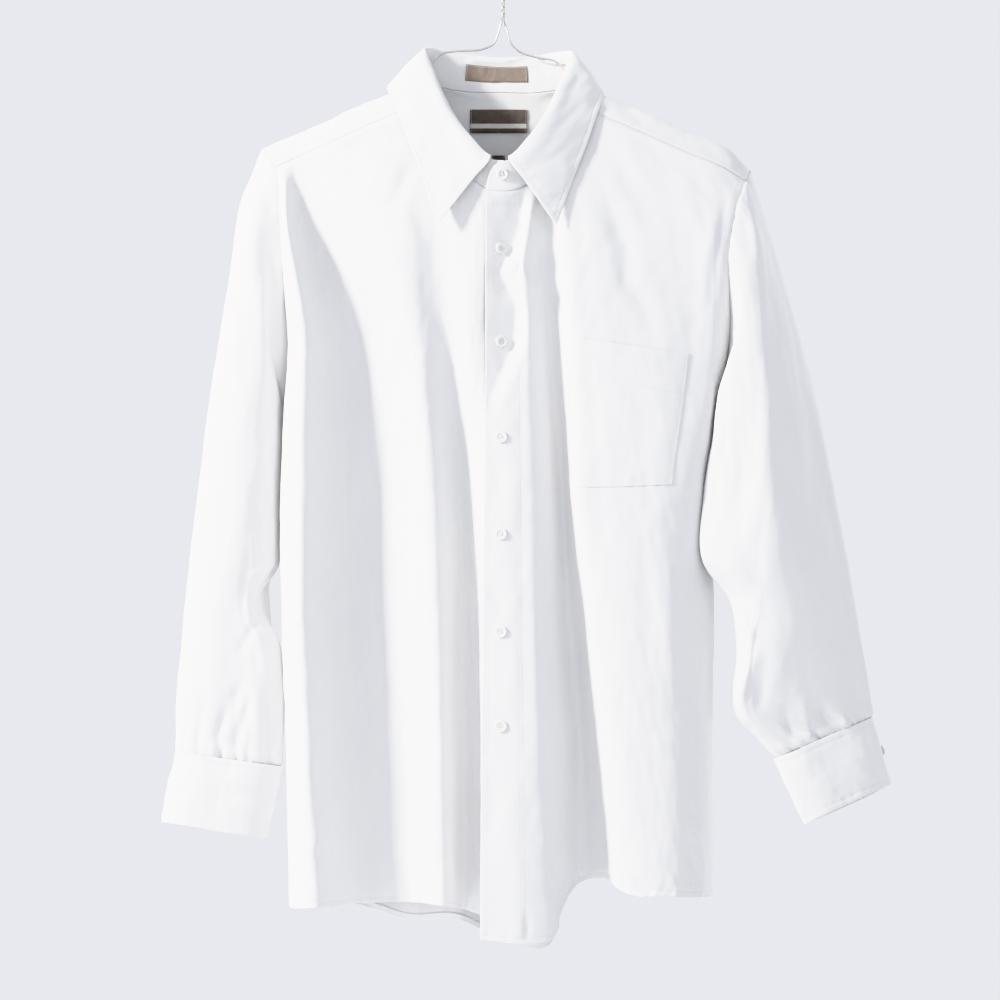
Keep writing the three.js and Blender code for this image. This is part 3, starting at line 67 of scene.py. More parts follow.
# ---- sections and folds (mm): a row for each height or rib, a column for each fold line ---------
FRONT_RIGHT = [  # mm
    dict(at='yoke_neck', side=(-216, -13, -236.7), edge=(-213.6, -13, -235.7), ridge_a=(-210.2, -14, -234.3), valley_a=(-198.9, -14, -229), rise=(-159.6, -21, -212.4), ridge_b=(-118.1, -21, -193.8), valley_b=(-77.6, -20, -177.2), near=(-53.5, -41, -225.3), lap_in=(-12.3, -50.5, -261.9), lap_edge=(15.7, -50, -262.8)),
    dict(at='upper', side=(-210.9, -18, -297.8), edge=(-208.4, -31, -298.2), ridge_a=(-202, -46, -298.8), valley_a=(-185.8, -25, -296.6), rise=(-151.3, -34, -297.6), ridge_b=(-98.2, -48, -299), valley_b=(-62.8, -44, -298.6), near=(-34.7, -52, -301.3), lap_in=(-14.2, -53, -302.3), lap_edge=(15.6, -53, -302.3)),
    dict(at='chest', side=(-203.9, -10, -404.1), edge=(-201.7, -26, -405), ridge_a=(-186.3, -56, -406.8), valley_a=(-153.9, -22, -404.8), rise=(-115.7, -33, -405.4), ridge_b=(-78.4, -54, -406.7), valley_b=(-51.7, -42, -406), near=(-29.1, -53, -406.6), lap_in=(-14.2, -52.4, -406.6), lap_edge=(15.6, -52.4, -406.6)),
    dict(at='armpit', side=(-202.1, 3, -465.2), edge=(-206.9, -20, -468.9), ridge_a=(-187.8, -60, -470.2), valley_a=(-150.4, -18, -468.8), rise=(-109.2, -31, -469.2), ridge_b=(-71.8, -56, -470.1), valley_b=(-45.2, -37, -469.4), near=(-27.2, -51, -469.9), lap_in=(-14.2, -56.4, -470.1), lap_edge=(15.6, -56.4, -470.1)),
    dict(at='rib', side=(-204.1, 4, -537.7), edge=(-209.9, -18, -538.7), ridge_a=(-188.7, -61, -538.9), valley_a=(-147.7, -16, -538.7), rise=(-104.6, -29, -538.8), ridge_b=(-64.4, -56, -538.9), valley_b=(-39.7, -31, -538.8), near=(-26.4, -46, -538.9), lap_in=(-15.1, -60.4, -538.9), lap_edge=(15.6, -60.4, -538.9)),
    dict(at='waist', side=(-204.1, 4, -646.3), edge=(-209, -18, -646.4), ridge_a=(-188.7, -61, -645.7), valley_a=(-145.8, -15, -647.5), rise=(-100.9, -28, -647), ridge_b=(-60.7, -55, -645.9), valley_b=(-36.9, -25, -647.1), near=(-24.6, -36, -646.7), lap_in=(-16, -65.4, -645.5), lap_edge=(14.6, -65.4, -645.5)),
    dict(at='hip', side=(-201.3, 5, -779.9), edge=(-205.2, -18, -778.7), ridge_a=(-184.1, -60, -776.7), valley_a=(-141.1, -15, -780.9), rise=(-94.3, -26, -779.8), ridge_b=(-58, -53, -777.3), valley_b=(-35.1, -20, -780.4), near=(-23.7, -30, -779.5), lap_in=(-15.9, -70.4, -775.7), lap_edge=(14.6, -70.4, -775.7)),
    dict(at='hem', side=(-197.6, 6, -922.1), edge=(-202.5, -16, -933), ridge_a=(-176.8, -59, -930.1), valley_a=(-133.5, -15, -932.2), rise=(-85.9, -25, -929.7), ridge_b=(-56.1, -51, -929.5), valley_b=(-34.2, -16, -938.7), near=(-22.8, -28, -940.6), lap_in=(-15.9, -73.5, -937.1), lap_edge=(15.5, -74, -942.6)),
]
FRONT_LEFT = [  # mm
    dict(at='yoke_neck', lap_edge=(-16, -57, -263.6), lap_in=(11.9, -54, -262.4), lobe=(32.5, -47, -249.4), turn_c=(40.9, -44, -239.7), deep_c=(46.6, -42, -231.9), under_d=(52.2, -40, -223.3), ridge_d=(59.9, -35, -210.4), flat=(72.5, -20, -179.1), middle=(114, -21, -196.7), pocket_r=(176.4, -20, -223.4), fall=(210.6, -17, -237.7), edge=(223.2, -14, -244.9), side=(230, -12, -248.9)),
    dict(at='upper', lap_edge=(-16.5, -56, -300.7), lap_in=(13.7, -56, -300.7), lobe=(23, -58, -300.9), turn_c=(32.4, -50, -299.2), deep_c=(40, -43, -298.5), under_d=(45.6, -46, -297.8), ridge_d=(51, -54, -298.7), flat=(73.3, -56, -298), middle=(118.2, -50, -299.2), pocket_r=(180.4, -42, -300.2), fall=(199.2, -41, -301.1), edge=(209.7, -38, -300.8), side=(213.8, -35, -299.5)),
    dict(at='chest', lap_edge=(-16.5, -55, -406.7), lap_in=(14.7, -55, -406.7), lobe=(25.9, -55, -406.7), turn_c=(37.2, -42, -405), deep_c=(45.8, -34, -402.7), under_d=(53, -46, -401.5), ridge_d=(57.4, -58, -401.3), flat=(80.5, -62, -403.4), middle=(117.7, -60, -408), pocket_r=(173, -53, -414.1), fall=(195.2, -44.5, -410.8), edge=(206.6, -36.5, -407.5), side=(212.5, -28, -405.1)),
    dict(at='armpit', lap_edge=(-16.9, -59, -470.2), lap_in=(15.6, -59, -470.2), lobe=(27.7, -58, -470.1), turn_c=(40.9, -44, -469.7), deep_c=(50.5, -32, -468.3), under_d=(57.7, -46, -467.9), ridge_d=(62, -60, -468.3), flat=(86, -64, -468.5), middle=(121.3, -64, -471.3), pocket_r=(165.3, -58, -475.7), fall=(191.1, -43, -472.4), edge=(200.3, -27, -470), side=(205.2, 3, -467.2)),
    dict(at='rib', lap_edge=(-17.8, -63, -538), lap_in=(16.5, -63, -538), lobe=(26.7, -62, -538), turn_c=(41.8, -47, -537.9), deep_c=(55.3, -30, -537.8), under_d=(63.3, -46, -538.9), ridge_d=(67.5, -62, -538.9), flat=(91.5, -66, -539), middle=(124.9, -66, -538), pocket_r=(156.6, -62, -536.6), fall=(184, -44, -537), edge=(196.4, -18, -537.8), side=(197.2, 4, -538.6)),
    dict(at='waist', lap_edge=(-18.7, -68, -643.6), lap_in=(17.4, -68, -643.6), lobe=(27.6, -67, -643.6), turn_c=(43.6, -49, -644.3), deep_c=(62, -26, -645.2), under_d=(73.7, -44, -644.5), ridge_d=(81.4, -63, -643.8), flat=(102.5, -68, -643.6), middle=(129.4, -68, -643.6), pocket_r=(154.6, -64, -643.7), fall=(178.1, -48, -644.3), edge=(198.3, -17, -645.5), side=(195.3, 4, -646.3)),
    dict(at='hip', lap_edge=(-20.1, -73, -774.6), lap_in=(19.2, -73, -774.6), lobe=(32.1, -71, -774.8), turn_c=(48.3, -52, -775.6), deep_c=(73.4, -22, -777.4), under_d=(86.8, -42, -775.6), ridge_d=(95.3, -63, -773.6), flat=(115.4, -69, -773.1), middle=(137.7, -69, -773.1), pocket_r=(160.1, -65, -773.5), fall=(181.7, -50, -774.8), edge=(198.3, -17, -777.8), side=(196.3, 5, -779.9)),
    dict(at='hem', lap_edge=(-21.4, -77, -956.8), lap_in=(21, -77, -960.5), lobe=(46, -70, -958), turn_c=(53.8, -54, -934.6), deep_c=(75.4, -20, -910.7), under_d=(98.2, -38, -906.2), ridge_d=(109.4, -60, -914.2), flat=(126.6, -68, -918.5), middle=(145.1, -69, -917.5), pocket_r=(163.8, -65, -919), fall=(184.5, -50, -921.2), edge=(198.3, -17, -922.5), side=(194.5, 6, -913.5)),
]
BACK = [  # mm
    dict(at='yoke_back', side_r=(-225.1, 15, -268.6), turn_r=(-215.9, 19, -268.1), ridge_1=(-190.2, 22, -267.8), valley_1=(-146.9, 21, -267.9), ridge_2=(-100.9, 21, -267.9), valley_2=(-52.9, 20, -268), ridge_3=(-0.1, 20, -268), valley_3=(50.7, 20, -268), ridge_4=(98.7, 21, -267.9), valley_4=(142.9, 21, -267.9), ridge_5=(183.2, 22, -267.8), turn_l=(220.4, 19, -268.1), side_l=(230.6, 15, -268.6)),
    dict(at='blade', side_r=(-213.8, 17, -340.2), turn_r=(-204.6, 22, -339.8), ridge_1=(-180, 27, -339.4), valley_1=(-141, 18, -340.1), ridge_2=(-97.2, 24, -339.6), valley_2=(-50.9, 16, -340.3), ridge_3=(-0.1, 25, -339.5), valley_3=(47.8, 16, -340.3), ridge_4=(93.1, 25, -339.5), valley_4=(135.9, 17, -340.2), ridge_5=(174, 27, -339.4), turn_l=(211.1, 22, -339.8), side_l=(219.3, 17, -340.2)),
    dict(at='chest', side_r=(-206.8, 14, -402.7), turn_r=(-198.8, 22, -402.2), ridge_1=(-176.4, 30, -401.7), valley_1=(-138.9, 14, -402.7), ridge_2=(-95.3, 27, -401.9), valley_2=(-49.9, 12, -402.8), ridge_3=(-0.1, 28, -401.8), valley_3=(45.8, 12, -402.8), ridge_4=(90.3, 28, -401.8), valley_4=(131, 14, -402.7), ridge_5=(170.4, 30, -401.7), turn_l=(206.3, 22, -402.2), side_l=(214.2, 14, -402.7)),
    dict(at='armpit', side_r=(-202.1, 3, -465.2), turn_r=(-200.5, 19, -464.7), ridge_1=(-176.4, 31, -464.3), valley_1=(-137.8, 12, -464.9), ridge_2=(-94.5, 29, -464.4), valley_2=(-48.8, 9, -465), ridge_3=(-0.1, 30, -464.3), valley_3=(44.8, 9, -465), ridge_4=(88.5, 30, -464.3), valley_4=(127, 12, -464.9), ridge_5=(166.6, 31, -464.3), turn_l=(198.4, 20, -464.7), side_l=(205.2, 3, -467.2)),
    dict(at='rib', side_r=(-204.1, 4, -537.7), turn_r=(-201.5, 19, -538.5), ridge_1=(-176.5, 32, -538.5), valley_1=(-136.8, 10, -538.6), ridge_2=(-94.5, 31, -538.5), valley_2=(-48.8, 8, -538.6), ridge_3=(-0.1, 32, -538.5), valley_3=(43.8, 8, -538.6), ridge_4=(86.6, 31, -538.5), valley_4=(124.1, 10, -538.6), ridge_5=(162.8, 32, -538.5), turn_l=(190.8, 20, -538.5), side_l=(197.2, 4, -538.6)),
    dict(at='waist', side_r=(-204.1, 4, -646.3), turn_r=(-201.5, 19, -647.8), ridge_1=(-175.6, 33, -649.3), valley_1=(-134.8, 9, -648.4), ridge_2=(-93.6, 33, -649.3), valley_2=(-47.9, 7, -648.3), ridge_3=(-0.1, 34, -649.4), valley_3=(42.8, 7, -648.3), ridge_4=(85.7, 33, -649.3), valley_4=(123.1, 9, -648.4), ridge_5=(160.9, 33, -649.3), turn_l=(188.8, 19, -647.8), side_l=(195.3, 4, -646.3)),
    dict(at='hip', side_r=(-201.3, 5, -779.9), turn_r=(-198.7, 20, -783.1), ridge_1=(-172.8, 34, -787.3), valley_1=(-131.9, 8, -786.8), ridge_2=(-91.7, 34, -791.2), valley_2=(-46.9, 7, -789.6), ridge_3=(-0.1, 35, -793.2), valley_3=(42.8, 7, -789.6), ridge_4=(85.7, 34, -791.2), valley_4=(124, 8, -786.8), ridge_5=(161.9, 34, -787.3), turn_l=(189.8, 20, -783.1), side_l=(196.3, 5, -779.9)),
    dict(at='hem', side_r=(-197.6, 6, -922.1), turn_r=(-194.9, 20, -928), ridge_1=(-168.9, 34, -936.8), valley_1=(-129, 8, -939.6), ridge_2=(-89.8, 34, -956.1), valley_2=(-45.9, 7, -950.9), ridge_3=(-0.1, 35, -975.6), valley_3=(40.9, 8, -977.7), ridge_4=(68.4, 33, -909.7), valley_4=(124, 8, -921.4), ridge_5=(161.9, 34, -924.3), turn_l=(188.9, 20, -919.4), side_l=(194.5, 6, -913.5)),
]
YOKE = [  # mm
    dict(at='arm_r', back_seam=(-225.1, 15, -268.6), shoulder_blade=(-231.8, 15, -242.7), crest_back=(-232.2, 9, -224.4), crest=(-228.5, 0, -217), seam_front=(-216, -13, -236.7)),
    dict(at='tip_r', back_seam=(-208.3, 20, -268), shoulder_blade=(-212.9, 18, -236.6), crest_back=(-212.2, 10, -212.8), crest=(-208.5, -1, -209), seam_front=(-201.7, -14, -230.2)),
    dict(at='mid_r', back_seam=(-166.1, 21, -267.9), shoulder_blade=(-169.8, 18, -225.1), crest_back=(-169.2, 10, -197.5), crest=(-166.6, -1, -190.5), seam_front=(-163.4, -21, -214.1)),
    dict(at='in_r', back_seam=(-118.2, 21, -267.9), shoulder_blade=(-121.8, 17, -215.7), crest_back=(-123.3, 9, -178.5), crest=(-120.9, -2, -170.2), seam_front=(-116.2, -21, -192.9)),
    dict(at='neck_r', back_seam=(-87.4, 20.5, -268), shoulder_blade=(-89.2, 16, -212), crest_back=(-90.8, 8, -174.9), crest=(-91.4, -4, -161.9), seam_front=(-77.6, -20, -177.2)),
    dict(at='side_r', back_seam=(-62.5, 20, -268), shoulder_blade=(-68.1, 15, -211.1), crest_back=(-77.5, 10, -178.4), crest=(-83.1, 4, -160.2), seam_front=(-79, -3, -151.8)),
    dict(at='nape_r', back_seam=(-33.7, 20, -268), shoulder_blade=(-37.5, 16, -213.9), crest_back=(-43.2, 14, -183.5), crest=(-46, 12.5, -167.5), seam_front=(-47.9, 10.5, -160.1)),
    dict(at='nape', back_seam=(-0.1, 20, -268), shoulder_blade=(-0.1, 17, -215.7), crest_back=(-0.1, 15, -187.2), crest=(-0.1, 14, -171.1), seam_front=(-0.1, 13, -161.7)),
    dict(at='nape_l', back_seam=(33.5, 20, -268), shoulder_blade=(35.3, 16, -213.9), crest_back=(41, 14, -183.5), crest=(43.9, 12.5, -167.5), seam_front=(45.7, 10.5, -161.1)),
    dict(at='side_l', back_seam=(60.3, 20, -268), shoulder_blade=(65, 15, -211.1), crest_back=(72.5, 10, -180.3), crest=(78, 4, -162.1), seam_front=(74, -3, -153.7)),
    dict(at='neck_l', back_seam=(85.3, 20.5, -268), shoulder_blade=(85.1, 16, -213.9), crest_back=(86.7, 8, -176.8), crest=(86.3, -4, -164.3), seam_front=(72.5, -20, -179.1)),
    dict(at='in_l', back_seam=(117.9, 21, -267.9), shoulder_blade=(121.6, 17, -220.4), crest_back=(123.1, 9, -185.2), crest=(121.6, -2, -175.9), seam_front=(119.7, -21, -198.5)),
    dict(at='mid_l', back_seam=(165.9, 21, -267.9), shoulder_blade=(171.4, 18, -230.9), crest_back=(172.8, 10, -205.1), crest=(172, -1, -199), seam_front=(170.7, -20, -221.1)),
    dict(at='tip_l', back_seam=(210, 20, -268), shoulder_blade=(217.5, 18, -242.4), crest_back=(218.7, 10, -226.1), crest=(216.7, -1, -219.5), seam_front=(211.6, -17, -238.1)),
    dict(at='arm_l', back_seam=(230.6, 15, -268.6), shoulder_blade=(238.3, 15, -254.2), crest_back=(238.6, 9, -243.5), crest=(234.9, 0, -237.9), seam_front=(230, -12, -248.9)),
]
SLEEVE_RIGHT = [  # mm
    dict(at='armhole', crest=(-228.5, 0, -217), front_a=(-216, -13, -236.7), front_b=(-210.9, -18, -297.8), front_c=(-203.9, -10, -404.1), under=(-202.1, 3, -465.2), back_c=(-206.8, 14, -402.7), back_b=(-213.8, 17, -340.2), back_a=(-225.1, 15, -268.6), back_top=(-232.2, 9, -224.4)),
    dict(at='cap', crest=(-247.4, -2, -261.9), front_a=(-239, -20, -277.2), front_b=(-226.1, -27, -327), front_c=(-214.9, -15, -409.1), under=(-206.5, 4, -470.9), back_c=(-214.7, 16, -411.2), back_b=(-227.3, 18, -349.7), back_a=(-238.6, 16, -302), back_top=(-245.7, 10, -272)),
    dict(at='upper', crest=(-260.7, -2, -343.7), front_a=(-252, -22, -352.9), front_b=(-234.3, -30, -386.5), front_c=(-219.4, -18, -442.3), under=(-207.9, 4, -484.3), back_c=(-219.4, 15, -450.5), back_b=(-236.8, 17, -407.3), back_a=(-251.9, 15, -369.1), back_top=(-258.9, 8, -350.5)),
    dict(at='bicep', crest=(-275.9, -2, -436.9), front_a=(-265.2, -22, -442.5), front_b=(-238.8, -32, -457.1), front_c=(-223, -20, -484.9), under=(-209.8, 3, -509.1), back_c=(-220.2, 14, -493.6), back_b=(-240.5, 16, -469.6), back_a=(-261.4, 14, -450.5), back_top=(-272.1, 7, -440.3)),
    dict(at='arm', crest=(-289.2, -2, -539.6), front_a=(-276.8, -20, -541.6), front_b=(-239.8, -31, -549.1), front_c=(-224.8, -20, -560.4), under=(-212.6, 3, -570.1), back_c=(-223, 13, -568.2), back_b=(-246.2, 15, -558.7), back_a=(-270.8, 13, -547.2), back_top=(-284.4, 6, -541.5)),
    dict(at='over_elbow', crest=(-296.8, -2, -604.2), front_a=(-283.5, -19, -604.8), front_b=(-241.1, -28, -608.4), front_c=(-226.2, -16, -611.5), under=(-214.5, 3, -613.9), back_c=(-224.9, 13, -615.1), back_b=(-248.9, 14, -613.2), back_a=(-275.5, 12, -608.4), back_top=(-292, 6, -605.4)),
    dict(at='elbow', crest=(-301.6, -2, -648.9), front_a=(-288.4, -17, -649.3), front_b=(-251.8, -24, -650.9), front_c=(-238, -21, -650.1), under=(-231.5, -9, -649.6), back_c=(-222.8, 10, -649.4), back_b=(-253.7, 14, -650.5), back_a=(-280.3, 12, -650.4), back_top=(-296.8, 6, -649.3)),
    dict(at='under_elbow', crest=(-306.3, -2, -693.6), front_a=(-293.3, -16, -693.8), front_b=(-250.1, -22, -696.3), front_c=(-225.9, -19, -692.7), under=(-211.2, -3, -691.7), back_c=(-222.8, 10, -696.2), back_b=(-251.6, 12, -698.3), back_a=(-282.1, 11, -696.3), back_top=(-301.6, 6, -694.1)),
    dict(at='forearm', crest=(-311.1, -2, -745), front_a=(-297.2, -15, -745.9), front_b=(-256, -20, -749.2), front_c=(-225.1, -17, -751.4), under=(-208.3, -3, -752.5), back_c=(-222.7, 9, -753.5), back_b=(-255.3, 11, -751.7), back_a=(-285.8, 10, -748.8), back_top=(-306.2, 5, -745.5)),
    dict(at='wrist', crest=(-311.1, -2, -789.7), front_a=(-298.4, -13, -790.5), front_b=(-262, -17, -794.9), front_c=(-228.2, -14, -799.9), under=(-211.2, -3, -803.8), back_c=(-228.2, 7, -802.9), back_b=(-260.9, 9, -798.4), back_a=(-289.4, 8, -794.4), back_top=(-306.1, 4, -791.2)),
]
CUFF_RIGHT = [  # mm
    dict(at='wrist', crest=(-312, -2, -790.1), front_a=(-298.1, -15, -791.3), front_b=(-261.8, -19, -795.6), front_c=(-228, -16, -800.6), under=(-209.3, -3, -804.3), back_c=(-228.4, 9, -804.1), back_b=(-261.1, 11, -799.5), back_a=(-289.6, 10, -795.6), back_top=(-307.2, 5, -791.3)),
    dict(at='middle', crest=(-319.6, -2, -823.9), front_a=(-304.7, -15.5, -824.3), front_b=(-267.4, -19.5, -829.5), front_c=(-233.7, -16.5, -834.6), under=(-216.9, -3, -838.1), back_c=(-235.1, 9, -838.5), back_b=(-267.8, 11, -833.9), back_a=(-296.4, 10.5, -829.1), back_top=(-313.9, 5, -825.6)),
    dict(at='edge', crest=(-325.3, -2, -857.2), front_a=(-311.5, -14, -857.6), front_b=(-273.3, -17, -863.9), front_c=(-241.4, -14.5, -868.9), under=(-225.4, -3, -872.3), back_c=(-241.7, 8, -872.7), back_b=(-274.3, 10, -868.2), back_a=(-303, 9.5, -863.4), back_top=(-319.6, 5, -859)),
]
SLEEVE_LEFT = [  # mm
    dict(at='armhole', crest=(234.9, 0, -237.9), front_a=(230, -12, -248.9), front_b=(213.8, -35, -299.5), front_c=(212.5, -28, -405.1), under=(205.2, 3, -467.2), back_c=(214.2, 14, -402.7), back_b=(219.3, 17, -340.2), back_a=(230.6, 15, -268.6), back_top=(238.6, 9, -243.5)),
    dict(at='cap', crest=(245.2, -2, -268.6), front_a=(239.6, -20, -278.2), front_b=(228, -43, -324.7), front_c=(219.3, -41, -410.6), under=(212.2, -9, -474.2), back_c=(216.1, 14, -409.4), back_b=(227.9, 17, -351.7), back_a=(238.3, 15, -300.2), back_top=(244.4, 9, -272.1)),
    dict(at='upper', crest=(262.3, -2, -326.6), front_a=(254.6, -21, -334), front_b=(239.6, -49, -370.9), front_c=(210.8, -47, -435.2), under=(205.1, -32, -485.2), back_c=(216.9, 12, -441), back_b=(235.4, 15, -388.2), back_a=(253.4, 13, -346.3), back_top=(261.3, 7, -329.6)),
    dict(at='bicep', crest=(285, -3, -408.4), front_a=(275.3, -22, -413.3), front_b=(243.6, -55, -437.5), front_c=(214.1, -52, -474.6), under=(198.6, -42, -509.8), back_c=(220.2, 6, -484.2), back_b=(244.9, 14, -447.6), back_a=(270.5, 12, -419), back_top=(282.2, 6, -409.8)),
    dict(at='arm', crest=(306.9, -3, -503.5), front_a=(294.1, -22, -505.7), front_b=(244.9, -61, -518.5), front_c=(212.8, -56, -534.3), under=(192.2, -47, -544.5), back_c=(214.2, -8, -541.5), back_b=(250.4, 12, -524.2), back_a=(288.5, 11, -508.9), back_top=(303.1, 5, -504.3)),
    dict(at='over_elbow', crest=(327.6, -4, -608), front_a=(314.1, -21, -607.6), front_b=(245.2, -67, -606.6), front_c=(210.5, -62, -606.7), under=(187, -53, -607.8), back_c=(211.8, -14, -610.6), back_b=(253.1, 10, -610.2), back_a=(304.7, 10, -608.3), back_top=(323.9, 4, -608.2)),
    dict(at='elbow', crest=(335.2, -4, -651.7), front_a=(321.9, -19, -650.2), front_b=(245, -60, -645.7), front_c=(224.1, -55, -647.8), under=(213, -43, -647.3), back_c=(224.7, -8, -649.7), back_b=(262.4, 8, -651.2), back_a=(310.3, 9, -652.2), back_top=(331.4, 3, -652)),
    dict(at='under_elbow', crest=(341.9, -4, -694.5), front_a=(327.7, -18, -692.7), front_b=(236.2, -55, -686), front_c=(225.3, -52, -686.1), under=(218.8, -42, -686.7), back_c=(229, -12, -689.3), back_b=(267.8, 5, -692.1), back_a=(317.6, 7, -695.1), back_top=(338, 2, -694.8)),
    dict(at='forearm', crest=(348.4, -5, -744.7), front_a=(333.5, -17, -745.7), front_b=(243.6, -46, -749), front_c=(224.7, -48, -749.8), under=(216, -41, -749.4), back_c=(228.3, -20, -753), back_b=(272.8, -2, -751.6), back_a=(322.9, 3, -747.3), back_top=(344.4, 0, -745.1)),
    dict(at='wrist', crest=(348.1, -7, -756.9), front_a=(335.2, -18, -760.7), front_b=(299.5, -32, -773.7), front_c=(270.7, -38, -785.3), under=(257, -34, -792.2), back_c=(272.8, -19, -789), back_b=(304.2, -9, -776.7), back_a=(331.6, -3, -764.9), back_top=(344.9, -3, -758.2)),
]
CUFF_LEFT = [  # mm
    dict(at='wrist', crest=(350, -7, -756.9), front_a=(335.9, -20, -761.5), front_b=(299.3, -34, -774.9), front_c=(270.4, -40, -787), under=(255.1, -34, -793.7), back_c=(273, -17, -790.1), back_b=(304.5, -7, -777.8), back_a=(332.8, -1, -765), back_top=(346.9, -2, -758.3)),
    dict(at='middle', crest=(359.4, -8, -788.2), front_a=(346.2, -21, -791.6), front_b=(311.3, -35, -805.3), front_c=(283.4, -41, -816.8), under=(269.1, -35, -824.1), back_c=(286.1, -18, -820.3), back_b=(316.7, -8, -809), back_a=(343.1, -2, -797.3), back_top=(357.2, -3, -789.6)),
    dict(at='edge', crest=(368.7, -9, -820.3), front_a=(356.7, -20, -823.8), front_b=(323.7, -34, -836.4), front_c=(296.7, -40, -847.8), under=(284.1, -35.5, -855), back_c=(299.2, -19, -851.3), back_b=(328.9, -9, -840.2), back_a=(353.4, -3.5, -829.4), back_top=(366.6, -4, -821.8)),
]
COLLAR = [  # mm
    dict(at='under_end', base=(15.7, -50, -262.8), fold=(10.1, -47, -230.7), point=(10.1, -47, -230.7)),
    dict(at='front_r', base=(-12.3, -50.5, -261.9), fold=(-11.4, -48, -229.5), point=(-59.7, -60, -293.3)),
    dict(at='r1', base=(-33.8, -47, -246.6), fold=(-29.2, -40, -212), point=(-65.3, -57, -281.3)),
    dict(at='r2', base=(-53.5, -41, -225.3), fold=(-44.4, -30, -191.8), point=(-73.8, -51, -254.6)),
    dict(at='r3', base=(-67.8, -32, -201.5), fold=(-56.8, -20, -167.7), point=(-86.3, -41, -220.6)),
    dict(at='r4', base=(-77.6, -20, -177.2), fold=(-66.5, -10, -142.5), point=(-100, -25, -184.5)),
    dict(at='side_r', base=(-79, -3, -151.8), fold=(-72.4, -2, -121.2), point=(-109.5, -3, -158.4)),
    dict(at='r5', base=(-66, 6.5, -156), fold=(-59.3, 6, -121.3), point=(-95, 18, -164.7)),
    dict(at='r6', base=(-35.5, 12, -160.9), fold=(-33.6, 12, -125.5), point=(-51.1, 26, -172.2)),
    dict(at='nape', base=(-0.1, 13, -161.7), fold=(-0.1, 14, -128), point=(-0.1, 28, -174.7)),
    dict(at='l6', base=(33.3, 12, -161.8), fold=(31.4, 12, -126), point=(50.8, 26, -173.1)),
    dict(at='l5', base=(61.9, 6.5, -157.4), fold=(52.3, 6, -124.1), point=(85.2, 18, -168.6)),
    dict(at='side_l', base=(74, -3, -153.7), fold=(63.6, -2, -125), point=(95.9, -3, -164.1)),
    dict(at='l4', base=(72.5, -20, -179.1), fold=(59.5, -11, -140.8), point=(89.4, -22, -185)),
    dict(at='l3', base=(62.8, -32, -204.3), fold=(49.7, -28, -165.2), point=(79.6, -34, -214)),
    dict(at='l2', base=(49.4, -41, -228.1), fold=(38.2, -42, -190.8), point=(68, -45, -244.5)),
    dict(at='l1', base=(32.5, -47, -249.4), fold=(23.1, -52, -212.7), point=(56.6, -55, -275.5)),
    dict(at='front_l', base=(10, -54, -262.4), fold=(4.4, -58, -231.7), point=(49, -61, -295.7)),
    dict(at='over_end', base=(-16, -57, -263.6), fold=(-11.4, -58.5, -235), point=(-11.4, -58.5, -235)),
]
NECK_RIGHT_FRONT = [5, 3, 1, 0]                                      # valley_b, near, lap_in, lap_edge
NECK_LEFT_FRONT = [18, 17, 16.1, 15.6, 15.2, 14.85, 14.4, 13]        # lap_edge ... flat
NECK_YOKE = [5, 6, 7.6, 9, 10.4, 12, 13]                             # neck_r ... neck_l
YOKE_ARM = [7, 7.5, 8, 9, 10]                                        # back_seam ... seam_front


# ---- curves and sheets ---------------------------------------------------------------------
def cells(table):
    names = [k for k in table[0] if k != "at"]
    return np.array([[row[k] for k in names] for row in table], float)


def curve(P, us, closed=False):
    """Smooth curves through points, spaced by their chords; u counts the points."""
    P = np.asarray(P, float)
    one = P.ndim == 2
    if one:
        P = P[:, None, :]
    n = len(P)
    if closed:
        a, c = np.roll(P, 1, 0), np.roll(P, -1, 0)
    else:
        a, c = np.concatenate([P[:1], P[:-1]]), np.concatenate([P[1:], P[-1:]])
    d0 = np.maximum(np.linalg.norm(P - a, axis=2, keepdims=True), 1e-6)
    d1 = np.maximum(np.linalg.norm(c - P, axis=2, keepdims=True), 1e-6)
    v0, v1 = (P - a) / d0, (c - P) / d1
    T = (v0 * d1 + v1 * d0) / (d0 + d1)
    if not closed:
        T[0], T[-1] = v1[0], v0[-1]
    us = np.asarray(us, float)
    i = np.floor(us + 1e-9).astype(int)
    if not closed:
        i = np.clip(i, 0, n - 2)
    t = (us - i)[:, None, None]
    i0, i1 = (i % n, (i + 1) % n) if closed else (i, i + 1)
    d = np.linalg.norm(P[i1] - P[i0], axis=2, keepdims=True)
    out = (P[i0] * (2 * t**3 - 3 * t**2 + 1) + T[i0] * (t**3 - 2 * t**2 + t) * d
           + P[i1] * (-2 * t**3 + 3 * t**2) + T[i1] * (t**3 - t**2) * d)
    return out[:, 0] if one else out


def spread(lengths, step, low=2):
    out = []
    for i, d in enumerate(lengths):
        k = max(low, int(math.ceil(d / step)))
        out += [i + j / k for j in range(k)]
    return np.array(out + [len(lengths)])


def smooth01(x):
    x = np.clip(x, 0, 1)
    return x * x * (3 - 2 * x)


def unit(v):
    return v / np.maximum(np.linalg.norm(v, axis=-1, keepdims=True), 1e-9)


